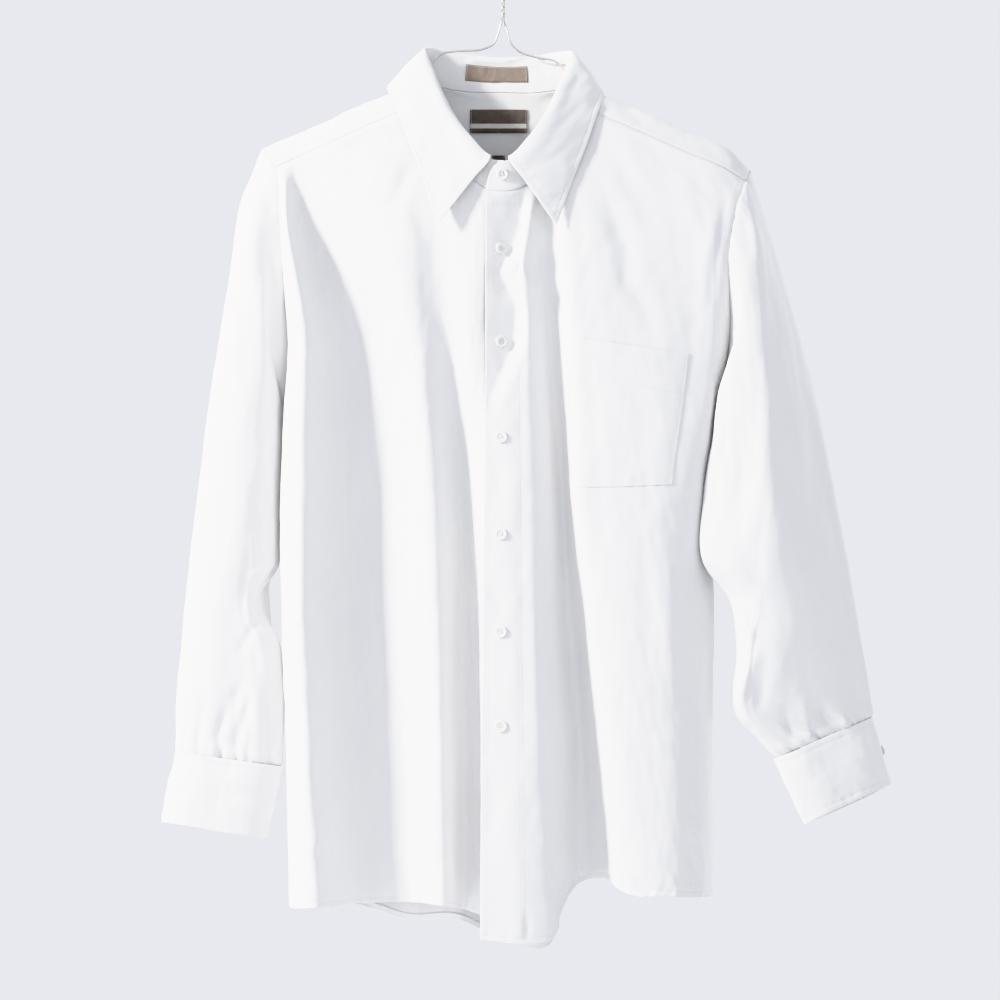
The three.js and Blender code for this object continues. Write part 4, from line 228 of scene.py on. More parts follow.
class Sheet:
    """A grid of points, rows down and columns across, with its outward normals."""

    def __init__(self, G, us, vs, side, ring=False):
        self.G, self.us, self.vs, self.side, self.ring = G, us, vs, side, ring

    @classmethod
    def of(cls, table, step_u, step_v, side, ring=False, us=None, vs=None):
        A = cells(table)
        B = np.concatenate([A, A[:, :1]], 1) if ring else A
        if us is None:
            us = spread(np.linalg.norm(np.diff(B, axis=1), axis=2).mean(0), step_u)
            if ring:
                us = us[:-1]
        if vs is None:
            vs = spread(np.linalg.norm(np.diff(A, axis=0), axis=2).mean(1), step_v)
        rows = curve(A.transpose(1, 0, 2), us, closed=ring)
        return cls(curve(rows.transpose(1, 0, 2), vs), us, vs, side, ring)

    @property
    def N(self):
        G = self.G
        if self.ring:
            du = np.roll(G, -1, 1) - np.roll(G, 1, 1)
        else:
            du = np.gradient(G, axis=1)
        n = np.cross(du, np.gradient(G, axis=0))
        return unit(n) * self.side

    def run(self, edge):
        """Distance of each point from an edge, along the grid."""
        if edge in ("first", "last"):
            d = np.concatenate([np.zeros((self.G.shape[0], 1)), np.cumsum(np.linalg.norm(np.diff(self.G, axis=1), axis=2), 1)], 1)
            return d if edge == "first" else d[:, -1:] - d
        d = np.concatenate([np.zeros((1, self.G.shape[1])), np.cumsum(np.linalg.norm(np.diff(self.G, axis=0), axis=2), 0)], 0)
        return d if edge == "top" else d[-1:] - d

    def attach(self, edge, target, reach=30.0):
        """Brings an edge onto a seam, and the cloth near it along."""
        w = 1 - smooth01(self.run(edge) / reach)
        if edge in ("first", "last"):
            k = 0 if edge == "first" else -1
            self.G = self.G + w[..., None] * (target - self.G[:, k])[:, None]
        else:
            k = 0 if edge == "top" else -1
            self.G = self.G + w[..., None] * (target - self.G[k])[None]

    def move(self, D):
        self.G = self.G + self.N * D[..., None]

    def cut(self, u0, u1, v0, v1):
        """The part of it between two columns and two rows, with the same points."""
        j = (self.us >= u0 - 1e-9) & (self.us <= u1 + 1e-9)
        i = (self.vs >= v0 - 1e-9) & (self.vs <= v1 + 1e-9)
        N = self.N
        return self.G[np.ix_(i, j)], N[np.ix_(i, j)], self.us[j], self.vs[i]

    def at(self, u, v):
        """Point and normal at u, v."""
        G, N = self.G, self.N
        us, U = self.us, len(self.us)
        if self.ring:
            us = np.concatenate([us, [us[0] + len(self.names9())]])
        u, v = np.atleast_1d(u).astype(float), np.atleast_1d(v).astype(float)
        j = np.clip(np.searchsorted(us, u, side="right") - 1, 0, len(us) - 2)
        i = np.clip(np.searchsorted(self.vs, v, side="right") - 1, 0, len(self.vs) - 2)
        a = (u - us[j]) / (us[j + 1] - us[j])
        b = (v - self.vs[i]) / (self.vs[i + 1] - self.vs[i])
        a, b = a[:, None], b[:, None]
        j1 = (j + 1) % U
        mix = lambda F: (F[i, j] * (1 - a) + F[i, j1] * a) * (1 - b) + (F[i + 1, j] * (1 - a) + F[i + 1, j1] * a) * b
        return mix(G), unit(mix(N))

    def names9(self):
        return range(9)


def mapped(values, u):
    return np.interp(u, np.arange(len(values)), values)


def by_x(P):
    P = P[np.argsort(P[:, 0])]
    Q = curve(P, np.linspace(0, len(P) - 1, 60 * (len(P) - 1) + 1))
    return lambda x: np.stack([x, np.interp(x, Q[:, 0], Q[:, 1]), np.interp(x, Q[:, 0], Q[:, 2])], -1)


def noise(a, b, seed, wave_a, wave_b, n=30):
    """A smooth uneven field of about unit height."""
    rng = np.random.RandomState(seed)
    out = np.zeros(np.broadcast(a, b).shape)
    for _ in range(n):
        out += np.cos(2 * np.pi * (rng.normal() / wave_a * a + rng.normal() / wave_b * b) + rng.uniform(0, 2 * np.pi))
    return out / math.sqrt(n / 2)


class Creases:
    """Soft troughs and ridges along lines, by where they appear in the frame; heights in mm."""

    def __init__(self, sheet, mask=None):
        self.x, self.y = in_view(sheet.G)
        self.D = np.zeros(self.x.shape)
        self.mask = np.ones(self.x.shape) if mask is None else mask

    def line(self, pts, w, d, ends=(0.35, 0.35), kind="soft"):
        pts = np.array([(p[0], p[1], 0.0) for p in pts], float)
        k = 8
        Q = curve(pts, np.linspace(0, len(pts) - 1, k * (len(pts) - 1) + 1))[:, :2]
        seg = np.linalg.norm(np.diff(Q, axis=0), axis=1)
        along = np.concatenate([[0], np.cumsum(seg)]) / seg.sum()
        wm = max(w) if hasattr(w, "__len__") else w
        reach = 3.2 * wm * (2.2 if kind == "step" else 1)
        near = ((self.x > Q[:, 0].min() - reach) & (self.x < Q[:, 0].max() + reach)
                & (self.y > Q[:, 1].min() - reach) & (self.y < Q[:, 1].max() + reach) & (self.mask > 0.001))
        if not near.any():
            return
        p = np.stack([self.x[near], self.y[near]], -1)
        best = np.full(len(p), 1e9)
        where, sign = np.zeros(len(p)), np.ones(len(p))
        for i in range(len(Q) - 1):
            a, b = Q[i], Q[i + 1]
            ab = b - a
            t = np.clip(((p - a) @ ab) / (ab @ ab), 0, 1)
            off = p - (a + t[:, None] * ab)
            dist = np.hypot(off[:, 0], off[:, 1])
            closer = dist < best
            best = np.where(closer, dist, best)
            where = np.where(closer, along[i] + t * (along[i + 1] - along[i]), where)
            sign = np.where(closer, np.sign(ab[0] * off[:, 1] - ab[1] * off[:, 0] + 1e-12), sign)
        width = np.interp(where, np.linspace(0, 1, len(w)), w) if hasattr(w, "__len__") else w
        depth = np.interp(where, np.linspace(0, 1, len(d)), d) if hasattr(d, "__len__") else d
        e0, e1 = ends
        taper = (smooth01(where / e0) if e0 > 0 else 1) * (smooth01((1 - where) / e1) if e1 > 0 else 1)
        q = best / width
        if kind == "soft":
            shape = np.exp(-q * q)
        elif kind == "sharp":      # a crease with a tight middle and broad shoulders
            shape = 0.55 * np.exp(-3.0 * q) + 0.45 * np.exp(-q * q)
        else:                      # one side up, the other down
            shape = np.tanh(sign * q) * np.exp(-(q / 3.0) ** 2)
        self.D[near] += depth * taper * shape * self.mask[near]

    def spot(self, x, y, rx, ry, d, turn=0.0):
        c, s = math.cos(math.radians(turn)), math.sin(math.radians(turn))
        a = ((self.x - x) * c + (self.y - y) * s) / rx
        b = (-(self.x - x) * s + (self.y - y) * c) / ry
        self.D += d * np.exp(-(a * a + b * b)) * self.mask


# ---- meshes ------------------------------------------------------------------------------------
def mesh_object(name, co, faces, smooth, uv=None, material=None):
    """faces: a list of index arrays (all quads, or quads and triangles as -1 padded rows)."""
    me = bpy.data.meshes.new(name)
    co = np.asarray(co, float) * 0.001
    faces = np.asarray(faces, int)
    tri = faces[:, 3] < 0
    total = np.where(tri, 3, 4)
    loops = faces.ravel()[(faces.ravel() >= 0)]
    me.vertices.add(len(co))
    me.vertices.foreach_set("co", co.astype(np.float32).ravel())
    me.loops.add(len(loops))
    me.loops.foreach_set("vertex_index", loops.astype(np.int32))
    me.polygons.add(len(faces))
    me.polygons.foreach_set("loop_start", np.concatenate([[0], np.cumsum(total)[:-1]]).astype(np.int32))
    me.polygons.foreach_set("use_smooth", np.asarray(smooth, bool))
    if uv is not None:
        layer = me.uv_layers.new(name="cloth")
        layer.data.foreach_set("uv", np.asarray(uv, np.float32).ravel())
    me.update(calc_edges=True)
    me.validate()
    if material is not None:
        for m in material if isinstance(material, (list, tuple)) else [material]:
            me.materials.append(m)
    ob = bpy.data.objects.new(name, me)
    bpy.context.scene.collection.objects.link(ob)
    return ob


def ride(ob, slot, *nodes):
    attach(ob, "root")
    if nodes:
        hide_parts(*nodes)
    return ob


def shell(name, G, N, material, out=0.0, t=CLOTH, inner=0.0, ring=False, rounded=0.0):
    """A closed thin shell about a grid: t thick, moved out by out, and thicker inside by inner."""
    R, C = G.shape[:2]
    half = np.full((R, C), t / 2.0)
    if rounded > 0:                      # made-up pieces have round edges
        s = Sheet(G, None, None, 1, ring)
        d = np.minimum(s.run("top"), s.run("bottom"))
        if not ring:
            d = np.minimum(d, np.minimum(s.run("first"), s.run("last")))
        q = np.clip(d / rounded, 0, 1)
        half = half * (0.3 + 0.7 * np.sqrt(1 - (1 - q) ** 2))
    o = np.zeros((R, C)) + out
    A = G + N * (o + half)[..., None]
    B = G + N * (o - half - inner)[..., None]
    co = np.concatenate([A.reshape(-1, 3), B.reshape(-1, 3)])
    W = C if ring else C - 1
    i, j = np.meshgrid(np.arange(R - 1), np.arange(W), indexing="ij")
    i, j = i.ravel(), j.ravel()
    j1 = (j + 1) % C
    a, b, c, d = i * C + j, (i + 1) * C + j, (i + 1) * C + j1, i * C + j1
    top = np.stack([a, b, c, d], -1)
    low = np.stack([a, d, c, b], -1) + R * C
    jj = np.arange(W)
    jj1 = (jj + 1) % C
    rims = [np.stack([jj, jj1, jj1 + R * C, jj + R * C], -1)]
    e = (R - 1) * C
    rims.append(np.stack([e + jj1, e + jj, e + jj + R * C, e + jj1 + R * C], -1))
    if not ring:
        ii = np.arange(R - 1)
        rims.append(np.stack([(ii + 1) * C, ii * C, ii * C + R * C, (ii + 1) * C + R * C], -1))
        f = C - 1
        rims.append(np.stack([ii * C + f, (ii + 1) * C + f, (ii + 1) * C + f + R * C, ii * C + f + R * C], -1))
    rim = np.concatenate(rims)
    faces = np.concatenate([top, low, rim])
    v = co[faces]
    volume = (np.einsum("ij,ij->i", v[:, 0], np.cross(v[:, 1], v[:, 2])) + np.einsum("ij,ij->i", v[:, 0], np.cross(v[:, 2], v[:, 3]))).sum()
    if volume < 0:
        faces = faces[:, ::-1]
    # cloth coordinates in metres, along and across the grain
    lu = np.concatenate([[0], np.cumsum(np.linalg.norm(np.diff(G, axis=1), axis=2).mean(0))])
    lv = np.concatenate([[0], np.cumsum(np.linalg.norm(np.diff(G, axis=0), axis=2).mean(1))])
    closing = np.linalg.norm(G[:, 0] - G[:, -1], axis=1).mean() if ring else 0
    idx = faces % (R * C)
    fi, fj = idx // C, idx % C
    u = lu[fj]
    if ring:
        wrap = (fj.max(1) == C - 1) & (fj.min(1) == 0)
        u = np.where(wrap[:, None] & (fj == 0), lu[-1] + closing, u)
    uv = np.stack([u, lv[fi]], -1) * 0.001
    smooth = np.ones(len(faces), bool)
    smooth[len(top) + len(low):] = rounded > 0
    return mesh_object(name, co, faces, smooth, uv.reshape(-1, 2), material)


def edge_line(sheet, edge, inset):
    """The line a constant distance from an edge, with its normals."""
    d = sheet.run(edge)
    N = sheet.N
    across = edge in ("first", "last")
    G = sheet.G if not across else sheet.G.transpose(1, 0, 2)
    M = N if not across else N.transpose(1, 0, 2)
    d = d if not across else d.T
    if edge in ("bottom", "last"):
        G, M, d = G[::-1], M[::-1], d[::-1]
    k = np.argmax(d > inset, axis=0)
    k = np.clip(k, 1, len(d) - 1)
    c = np.arange(G.shape[1])
    t = ((inset - d[k - 1, c]) / (d[k, c] - d[k - 1, c]))[:, None]
    return G[k - 1, c] * (1 - t) + G[k, c] * t, unit(M[k - 1, c] * (1 - t) + M[k, c] * t)


class Thread:
    """Lines of machine stitches, joined into one mesh."""

    def __init__(self):
        self.co, self.faces, self.n = [], [], 0

    def one(self, p, d, n, length=STITCH, w=0.42, h=0.3):
        b = np.cross(d, n)
        ring = []
        for s, r in ((-0.5, 0.35), (-0.28, 0.95), (0.28, 0.95), (0.5, 0.35)):
            for k in range(6):
                a = k * math.pi / 3
                ring.append(p + d * (s * length) + b * (math.cos(a) * w / 2 * r) + n * (math.sin(a) * h / 2 * r))
        base = self.n
        self.co += ring
        for s in range(3):
            for k in range(6):
                self.faces.append((base + s * 6 + k, base + s * 6 + (k + 1) % 6, base + (s + 1) * 6 + (k + 1) % 6, base + (s + 1) * 6 + k))
        self.faces.append((base + 5, base + 4, base + 1, base + 0))
        self.faces.append((base + 4, base + 3, base + 2, base + 1))
        self.faces.append((base + 18, base + 19, base + 22, base + 23))
        self.faces.append((base + 19, base + 20, base + 21, base + 22))
        self.n += 24

    def line(self, P, N, lift, pitch=PITCH, start=0.0, keep=None, **kw):
        P = P + N * lift
        seg = np.linalg.norm(np.diff(P, axis=0), axis=1)
        s = np.concatenate([[0], np.cumsum(seg)])
        if s[-1] < pitch:
            return
        at = np.arange(start + pitch / 2, s[-1], pitch)
        X = np.stack([np.interp(at, s, P[:, k]) for k in range(3)], -1)
        M = unit(np.stack([np.interp(at, s, N[:, k]) for k in range(3)], -1))
        e = 0.4
        D = unit(np.stack([np.interp(at + e, s, P[:, k]) - np.interp(at - e, s, P[:, k]) for k in range(3)], -1))
        for x, d, m in zip(X, D, M):
            if keep is None or keep(x):
                self.one(x, d, unit(m - d * (m @ d)), **kw)

    def made(self, name, material, slot="shirting"):
        return ride(mesh_object(name, np.array(self.co), np.array(self.faces), np.ones(len(self.faces), bool), None, material), slot)


def tube(P, r, sides=12, closed=False, name="tube", material=None, caps=True):
    """Vertices and faces of a round tube along points."""
    P = np.asarray(P, float)
    T = unit(np.gradient(P, axis=0))
    n = np.array([0.0, 1.0, 0.0])
    rings = []
    rr = np.broadcast_to(np.asarray(r, float), (len(P),))
    prev = unit(np.cross(T[0], n) if abs(T[0] @ n) < 0.9 else np.cross(T[0], [1.0, 0, 0]))
    for p, t, q in zip(P, T, rr):
        prev = unit(prev - t * (prev @ t))
        b = np.cross(t, prev)
        a = np.arange(sides) * 2 * math.pi / sides
        rings.append(p + (np.cos(a)[:, None] * prev + np.sin(a)[:, None] * b) * q)
    co = np.concatenate(rings)
    k, m = np.arange(sides), len(P)
    faces = [np.stack([s * sides + k, s * sides + (k + 1) % sides, (s + 1) * sides + (k + 1) % sides, (s + 1) * sides + k], -1) for s in range(m - 1)]
    faces = np.concatenate(faces)
    if caps:
        c0, c1 = len(co), len(co) + 1
        co = np.concatenate([co, [P[0] - T[0] * rr[0] * 0.4, P[-1] + T[-1] * rr[-1] * 0.4]])
        e = (m - 1) * sides
        faces = np.concatenate([faces, np.stack([(k + 1) % sides, k, np.full(sides, c0), np.full(sides, -1)], -1),
                                np.stack([e + k, e + (k + 1) % sides, np.full(sides, c1), np.full(sides, -1)], -1)])
    return co, faces


# ---- materials ------------------------------------------------------------------------------------
def nodes_of(name):
    m = bpy.data.materials.new(name)
    m.use_nodes = True
    nt = m.node_tree
    return m, nt, nt.nodes["Principled BSDF"]


def new(nt, kind, **values):
    n = nt.nodes.new(kind)
    for k, v in values.items():
        if k in n.inputs:
            n.inputs[k].default_value = v
        else:
            setattr(n, k, v)
    return n


def math_node(nt, op, a, b=None, clamp=False):
    n = nt.nodes.new("ShaderNodeMath")
    n.operation, n.use_clamp = op, clamp
    for s, v in ((0, a), (1, b)):
        if v is None:
            continue
        if isinstance(v, (int, float)):
            n.inputs[s].default_value = v
        else:
            nt.links.new(v, n.inputs[s])
    return n.outputs[0]


def cloth_material(name, light, dark, thread=0.55, strength=0.16, sheen=0.12, rough=0.86):
    """Woven cloth: warp and weft over and under each other at `thread` mm, with slubs, soft
    mottling and a faint sheen."""
    m, nt, bsdf = nodes_of(name)
    L = nt.links.new
    tc = nt.nodes.new("ShaderNodeTexCoord")
    sep = nt.nodes.new("ShaderNodeSeparateXYZ")
    L(tc.outputs["UV"], sep.inputs[0])
    k = 2 * math.pi / (thread * 0.001)
    sx = math_node(nt, "SINE", math_node(nt, "MULTIPLY", sep.outputs[0], k))
    sy = math_node(nt, "SINE", math_node(nt, "MULTIPLY", sep.outputs[1], k * 0.9))
    weave = math_node(nt, "MULTIPLY", sx, sy)
    # slubs: long thin changes of thickness along each thread
    warp = new(nt, "ShaderNodeMapping")
    warp.inputs["Scale"].default_value = (1400.0, 60.0, 1.0)
    L(tc.outputs["UV"], warp.inputs["Vector"])
    slub1 = new(nt, "ShaderNodeTexNoise", Scale=1.0, Detail=2.0, Roughness=0.6)
    L(warp.outputs[0], slub1.inputs["Vector"])
    weft = new(nt, "ShaderNodeMapping")
    weft.inputs["Scale"].default_value = (50.0, 1300.0, 1.0)
    L(tc.outputs["UV"], weft.inputs["Vector"])
    slub2 = new(nt, "ShaderNodeTexNoise", Scale=1.0, Detail=2.0, Roughness=0.6)
    L(weft.outputs[0], slub2.inputs["Vector"])
    slubs = math_node(nt, "ADD", slub1.outputs["Fac"], slub2.outputs["Fac"])
    soft = new(nt, "ShaderNodeTexNoise", Scale=14.0, Detail=5.0, Roughness=0.55)
    L(tc.outputs["Object"], soft.inputs["Vector"])
    rumple = new(nt, "ShaderNodeTexNoise", Scale=55.0, Detail=3.0, Roughness=0.5)
    L(tc.outputs["Object"], rumple.inputs["Vector"])
    height = math_node(nt, "ADD", math_node(nt, "MULTIPLY", weave, 0.35), math_node(nt, "MULTIPLY", slubs, 0.9))
    bump = new(nt, "ShaderNodeBump", Strength=strength, Distance=0.00022)
    L(height, bump.inputs["Height"])
    wide = new(nt, "ShaderNodeBump", Strength=0.10, Distance=0.0016)
    L(rumple.outputs["Fac"], wide.inputs["Height"])
    L(bump.outputs[0], wide.inputs["Normal"])
    L(wide.outputs[0], bsdf.inputs["Normal"])
    # colour: soft mottling, a tone that varies at random, plus painted shade: lighter on the raised threads and slubs,
    # darker in the weave's hollows
    mottle_and_painted_weave_shade = math_node(nt, "ADD", math_node(nt, "MULTIPLY", soft.outputs["Fac"], 0.6),
                      math_node(nt, "MULTIPLY", math_node(nt, "ADD", weave, slubs), 0.13), clamp=True)
    mix = nt.nodes.new("ShaderNodeMix")
    mix.data_type = "RGBA"
    mix.inputs[6].default_value = (*dark, 1)
    mix.inputs[7].default_value = (*light, 1)
    L(mottle_and_painted_weave_shade, mix.inputs[0])
    L(mix.outputs[2], bsdf.inputs["Base Color"])
    L(math_node(nt, "ADD", math_node(nt, "MULTIPLY", slubs, 0.08), rough - 0.08), bsdf.inputs["Roughness"])
    bsdf.inputs["Sheen Weight"].default_value = sheen
    bsdf.inputs["Sheen Roughness"].default_value = 0.45
    bsdf.inputs["Sheen Tint"].default_value = (1, 1, 1, 1)
    bsdf.inputs["Specular IOR Level"].default_value = 0.25
    return m


def label_material(name, ground, pale, band):
    """A narrow damask-woven tape, bare of lettering; band = (low, high) share of its height that is pale."""
    m, nt, bsdf = nodes_of(name)
    L = nt.links.new
    tc = nt.nodes.new("ShaderNodeTexCoord")
    sep = nt.nodes.new("ShaderNodeSeparateXYZ")
    L(tc.outputs["UV"], sep.inputs[0])
    rib = math_node(nt, "SINE", math_node(nt, "MULTIPLY", sep.outputs[1], 2 * math.pi / 0.0007))
    twill = math_node(nt, "SINE", math_node(nt, "MULTIPLY", math_node(nt, "ADD", sep.outputs[0], sep.outputs[1]), 2 * math.pi / 0.0011))
    h = math_node(nt, "ADD", math_node(nt, "MULTIPLY", rib, 0.5), math_node(nt, "MULTIPLY", twill, 0.5))
    fleck = new(nt, "ShaderNodeTexNoise", Scale=900.0, Detail=2.0)
    L(tc.outputs["Object"], fleck.inputs["Vector"])
    bump = new(nt, "ShaderNodeBump", Strength=0.35, Distance=0.0003)
    L(h, bump.inputs["Height"])
    L(bump.outputs[0], bsdf.inputs["Normal"])
    # colour: random flecks, plus painted shade: darker in the rib and twill hollows, lighter on their tops
    shade = nt.nodes.new("ShaderNodeMix")
    shade.data_type = "RGBA"
    shade.inputs[6].default_value = (*[c * 0.72 for c in ground], 1)
    shade.inputs[7].default_value = (*[min(1, c * 1.25) for c in ground], 1)
    L(math_node(nt, "ADD", math_node(nt, "MULTIPLY", h, 0.25), fleck.outputs["Fac"], clamp=True), shade.inputs[0])
    colour = shade.outputs[2]
    if band:
        inside = math_node(nt, "MULTIPLY", math_node(nt, "GREATER_THAN", sep.outputs[1], band[0]), math_node(nt, "LESS_THAN", sep.outputs[1], band[1]))
        strip = nt.nodes.new("ShaderNodeMix")
        strip.data_type = "RGBA"
        strip.inputs[7].default_value = (*pale, 1)
        L(inside, strip.inputs[0])
        L(colour, strip.inputs[6])
        colour = strip.outputs[2]
    L(colour, bsdf.inputs["Base Color"])
    bsdf.inputs["Roughness"].default_value = 0.62
    bsdf.inputs["Sheen Weight"].default_value = 0.2
    return m


def button_material():
    m, nt, bsdf = nodes_of("pearl_button")
    L = nt.links.new
    tc = nt.nodes.new("ShaderNodeTexCoord")
    n = new(nt, "ShaderNodeTexNoise", Scale=160.0, Detail=4.0, Distortion=1.6)
    L(tc.outputs["Object"], n.inputs["Vector"])
    mix = nt.nodes.new("ShaderNodeMix")
    mix.data_type = "RGBA"
    mix.inputs[6].default_value = (0.70, 0.695, 0.68, 1)
    mix.inputs[7].default_value = (0.80, 0.795, 0.78, 1)
    L(n.outputs["Fac"], mix.inputs[0])
    L(mix.outputs[2], bsdf.inputs["Base Color"])
    L(math_node(nt, "ADD", math_node(nt, "MULTIPLY", n.outputs["Fac"], 0.15), 0.24), bsdf.inputs["Roughness"])
    bsdf.inputs["Coat Weight"].default_value = 0.25
    bsdf.inputs["Coat Roughness"].default_value = 0.12
    bsdf.inputs["Subsurface Weight"].default_value = 0.15
    bsdf.inputs["Subsurface Radius"].default_value = (0.002, 0.0018, 0.0015)
    b = new(nt, "ShaderNodeBump", Strength=0.05, Distance=0.0002)
    L(n.outputs["Fac"], b.inputs["Height"])
    L(b.outputs[0], bsdf.inputs["Normal"])
    return m


def wire_material():
    m, nt, bsdf = nodes_of("galvanised_wire")
    L = nt.links.new
    tc = nt.nodes.new("ShaderNodeTexCoord")
    n = new(nt, "ShaderNodeTexNoise", Scale=220.0, Detail=5.0, Roughness=0.6)
    L(tc.outputs["Object"], n.inputs["Vector"])
    v = new(nt, "ShaderNodeTexVoronoi", Scale=420.0)
    L(tc.outputs["Object"], v.inputs["Vector"])
    mix = nt.nodes.new("ShaderNodeMix")
    mix.data_type = "RGBA"
    mix.inputs[6].default_value = (0.42, 0.41, 0.40, 1)
    mix.inputs[7].default_value = (0.72, 0.715, 0.70, 1)
    L(math_node(nt, "ADD", math_node(nt, "MULTIPLY", n.outputs["Fac"], 0.8), math_node(nt, "MULTIPLY", v.outputs["Distance"], 0.3), clamp=True), mix.inputs[0])
    L(mix.outputs[2], bsdf.inputs["Base Color"])
    bsdf.inputs["Metallic"].default_value = 0.9
    L(math_node(nt, "ADD", math_node(nt, "MULTIPLY", n.outputs["Fac"], 0.3), 0.22), bsdf.inputs["Roughness"])
    b = new(nt, "ShaderNodeBump", Strength=0.25, Distance=0.0002)
    L(n.outputs["Fac"], b.inputs["Height"])
    L(b.outputs[0], bsdf.inputs["Normal"])
    return m


SHIRTING = cloth_material("white_broadcloth", (0.755, 0.755, 0.758), (0.712, 0.712, 0.718))
MADE = cloth_material("white_broadcloth_interlined", (0.760, 0.760, 0.763), (0.726, 0.726, 0.731), strength=0.13, sheen=0.10, rough=0.82)
THREAD = cloth_material("white_thread", (0.80, 0.80, 0.80), (0.73, 0.73, 0.74), thread=0.3, strength=0.3, sheen=0.3, rough=0.6)
PEARL = button_material()
WIRE = wire_material()

# ---- shared seams ----------------------------------------------------------------------------------
ARM_R = lambda u: curve(cells(SLEEVE_RIGHT)[0], u, closed=True)
ARM_L = lambda u: curve(cells(SLEEVE_LEFT)[0], u, closed=True)
SIDE_R = lambda t: curve(cells(BACK)[3:, 0], t)
SIDE_L = lambda t: curve(cells(BACK)[3:, -1], t)
NECK = lambda u: curve(cells(COLLAR)[:, 0], u)
FOLD = lambda u: curve(cells(COLLAR)[:, 1], u)
POINT = lambda u: curve(cells(COLLAR)[:, 2], u)
YOKE_FRONT_R = by_x(cells(YOKE)[:5, -1])
YOKE_FRONT_L = by_x(cells(YOKE)[10:, -1])
YOKE_BACK = by_x(cells(YOKE)[:, 0])


def side_edge(vs, arm, side, up):
    """An armhole and side seam, read down a front (up False) or a back (up True)."""
    out = np.zeros((len(vs), 3))
    top = vs <= 3
    out[top] = arm(7 - vs[top]) if up else arm(1 + vs[top])
    out[~top] = side(vs[~top] - 3)
    return out


def edge_rows(base, extra):
    """Rows or columns with a few more close to both ends."""
    a, b = base[0], base[-1]
    return np.unique(np.concatenate([base, a + np.array(extra), b - np.array(extra)]))


# ---- cloth panels: the folded surfaces -----------------------------------------------------------
arm_u = cells(SLEEVE_RIGHT)

# right front (the wearer's right)
rf = Sheet.of(FRONT_RIGHT, 2.7, 3.3, -1)
rf.attach("first", side_edge(rf.vs, ARM_R, SIDE_R, False), 26)
top = rf.G[0].copy()
on_yoke = rf.us <= 6
top[on_yoke] = YOKE_FRONT_R(top[on_yoke][:, 0])
top[~on_yoke] = NECK(mapped(NECK_RIGHT_FRONT, rf.us[~on_yoke] - 6))
top[0] = rf.G[0, 0]
rf.attach("top", top, 34)

# left front (the wearer's left), with the band and the pocket on it
lf = Sheet.of(FRONT_LEFT, 2.7, 3.3, -1)
lf.attach("last", side_edge(lf.vs, ARM_L, SIDE_L, False), 26)
top = lf.G[0].copy()
on_neck = lf.us < 7
top[on_neck] = NECK(mapped(NECK_LEFT_FRONT, lf.us[on_neck]))
top[~on_neck] = YOKE_FRONT_L(top[~on_neck][:, 0])
top[-1] = lf.G[0, -1]
lf.attach("top", top, 34)
rows = np.interp(lf.vs, [0.0, 1.0, 3.0, 4.0], [0.0, 1.0, 1.0, 0.0])
wider = np.interp(lf.us, [1.0, 2.0, 3.0, 4.0, 5.0, 6.0, 7.0, 8.0], [0.0, -2.6, -2.2, 0.0, 3.2, 3.8, 1.8, 0.0])
later = np.interp(lf.us, [9.0, 9.6, 10.0, 10.5, 11.0], [0.0, 3.4, 5.6, 3.6, 0.0])
lf.G = lf.G + (rows[:, None] * wider[None, :])[..., None] * np.array([1.0, 0.0, 0.0])
lf.G = lf.G + (np.interp(lf.vs, [0.6, 2.0, 3.0, 4.0, 4.8], [0.0, 0.6, 1.0, 0.8, 0.0])[:, None] * later[None, :])[..., None] * np.array([0.2, -1.0, 0.0])

# back
bk = Sheet.of(BACK, 3.6, 4.0, 1)
bk.attach("first", side_edge(bk.vs, ARM_R, SIDE_R, True), 30)
bk.attach("last", side_edge(bk.vs, ARM_L, SIDE_L, True), 30)
top = YOKE_BACK(bk.G[0][:, 0])
top[0], top[-1] = bk.G[0, 0], bk.G[0, -1]
bk.attach("top", top, 30)

# yoke
yk = Sheet.of(YOKE, 2.6, 3.2, 1)
yk.attach("first", YOKE_BACK(yk.G[:, 0, 0]), 20)
edge = np.zeros((len(yk.vs), 3))
a, b = yk.vs <= 4, yk.vs >= 10
edge[a] = YOKE_FRONT_R(yk.G[a, -1, 0])
edge[b] = YOKE_FRONT_L(yk.G[b, -1, 0])
m = ~(a | b)
edge[m] = NECK(mapped(NECK_YOKE, yk.vs[m] - 4))
yk.attach("last", edge, 20)
yk.attach("top", ARM_R(mapped(YOKE_ARM, yk.us)), 14)
yk.attach("bottom", ARM_L(mapped(YOKE_ARM, yk.us)), 14)

# sleeves
sr = Sheet.of(SLEEVE_RIGHT, 3.0, 3.1, -1, ring=True)
sl = Sheet.of(SLEEVE_LEFT, 3.0, 3.1, 1, ring=True)
# the left sleeve's inner edge hangs a little over the body's side seam
ahead = np.interp(sl.vs, [0.0, 0.5, 1.0, 2.0, 3.0, 4.0, 5.0], [0.0, 3.4, 5.6, 6.2, 5.2, 2.4, 0.0])
inner = np.interp(sl.us, [1.8, 2.7, 3.3, 4.1, 4.8, 5.6], [0.0, 0.55, 1.0, 1.0, 0.55, 0.0])
sl.G = sl.G + (ahead[:, None] * inner[None, :])[..., None] * np.array([-1.15, -0.60, 0.0])
# and the right sleeve's lies closer to the body
closer = np.interp(sr.vs, [1.0, 2.0, 3.0, 5.0, 6.0], [0.0, 0.8, 1.0, 1.0, 0.0])[:, None] * np.interp(sr.us, [2.0, 2.6, 3.1, 3.7, 4.0], [0.0, 0.7, 1.0, 0.5, 0.0])[None, :]
sr.G = sr.G + closer[..., None] * np.array([5.5, 0.8, 0.0])


# ---- creases: soft troughs and ridges --------------------------------------------------------------
def seam_puckers(sheet, edge, reach, height, period, seed):
    """Uneven little gathers that a row of stitching draws up."""
    d = sheet.run(edge)
    along = sheet.run("top") if edge in ("first", "last") else sheet.run("first")
    wave = noise(along, d, seed, period, reach * 5, 26)
    return height * wave * np.exp(-(d / reach) ** 2)


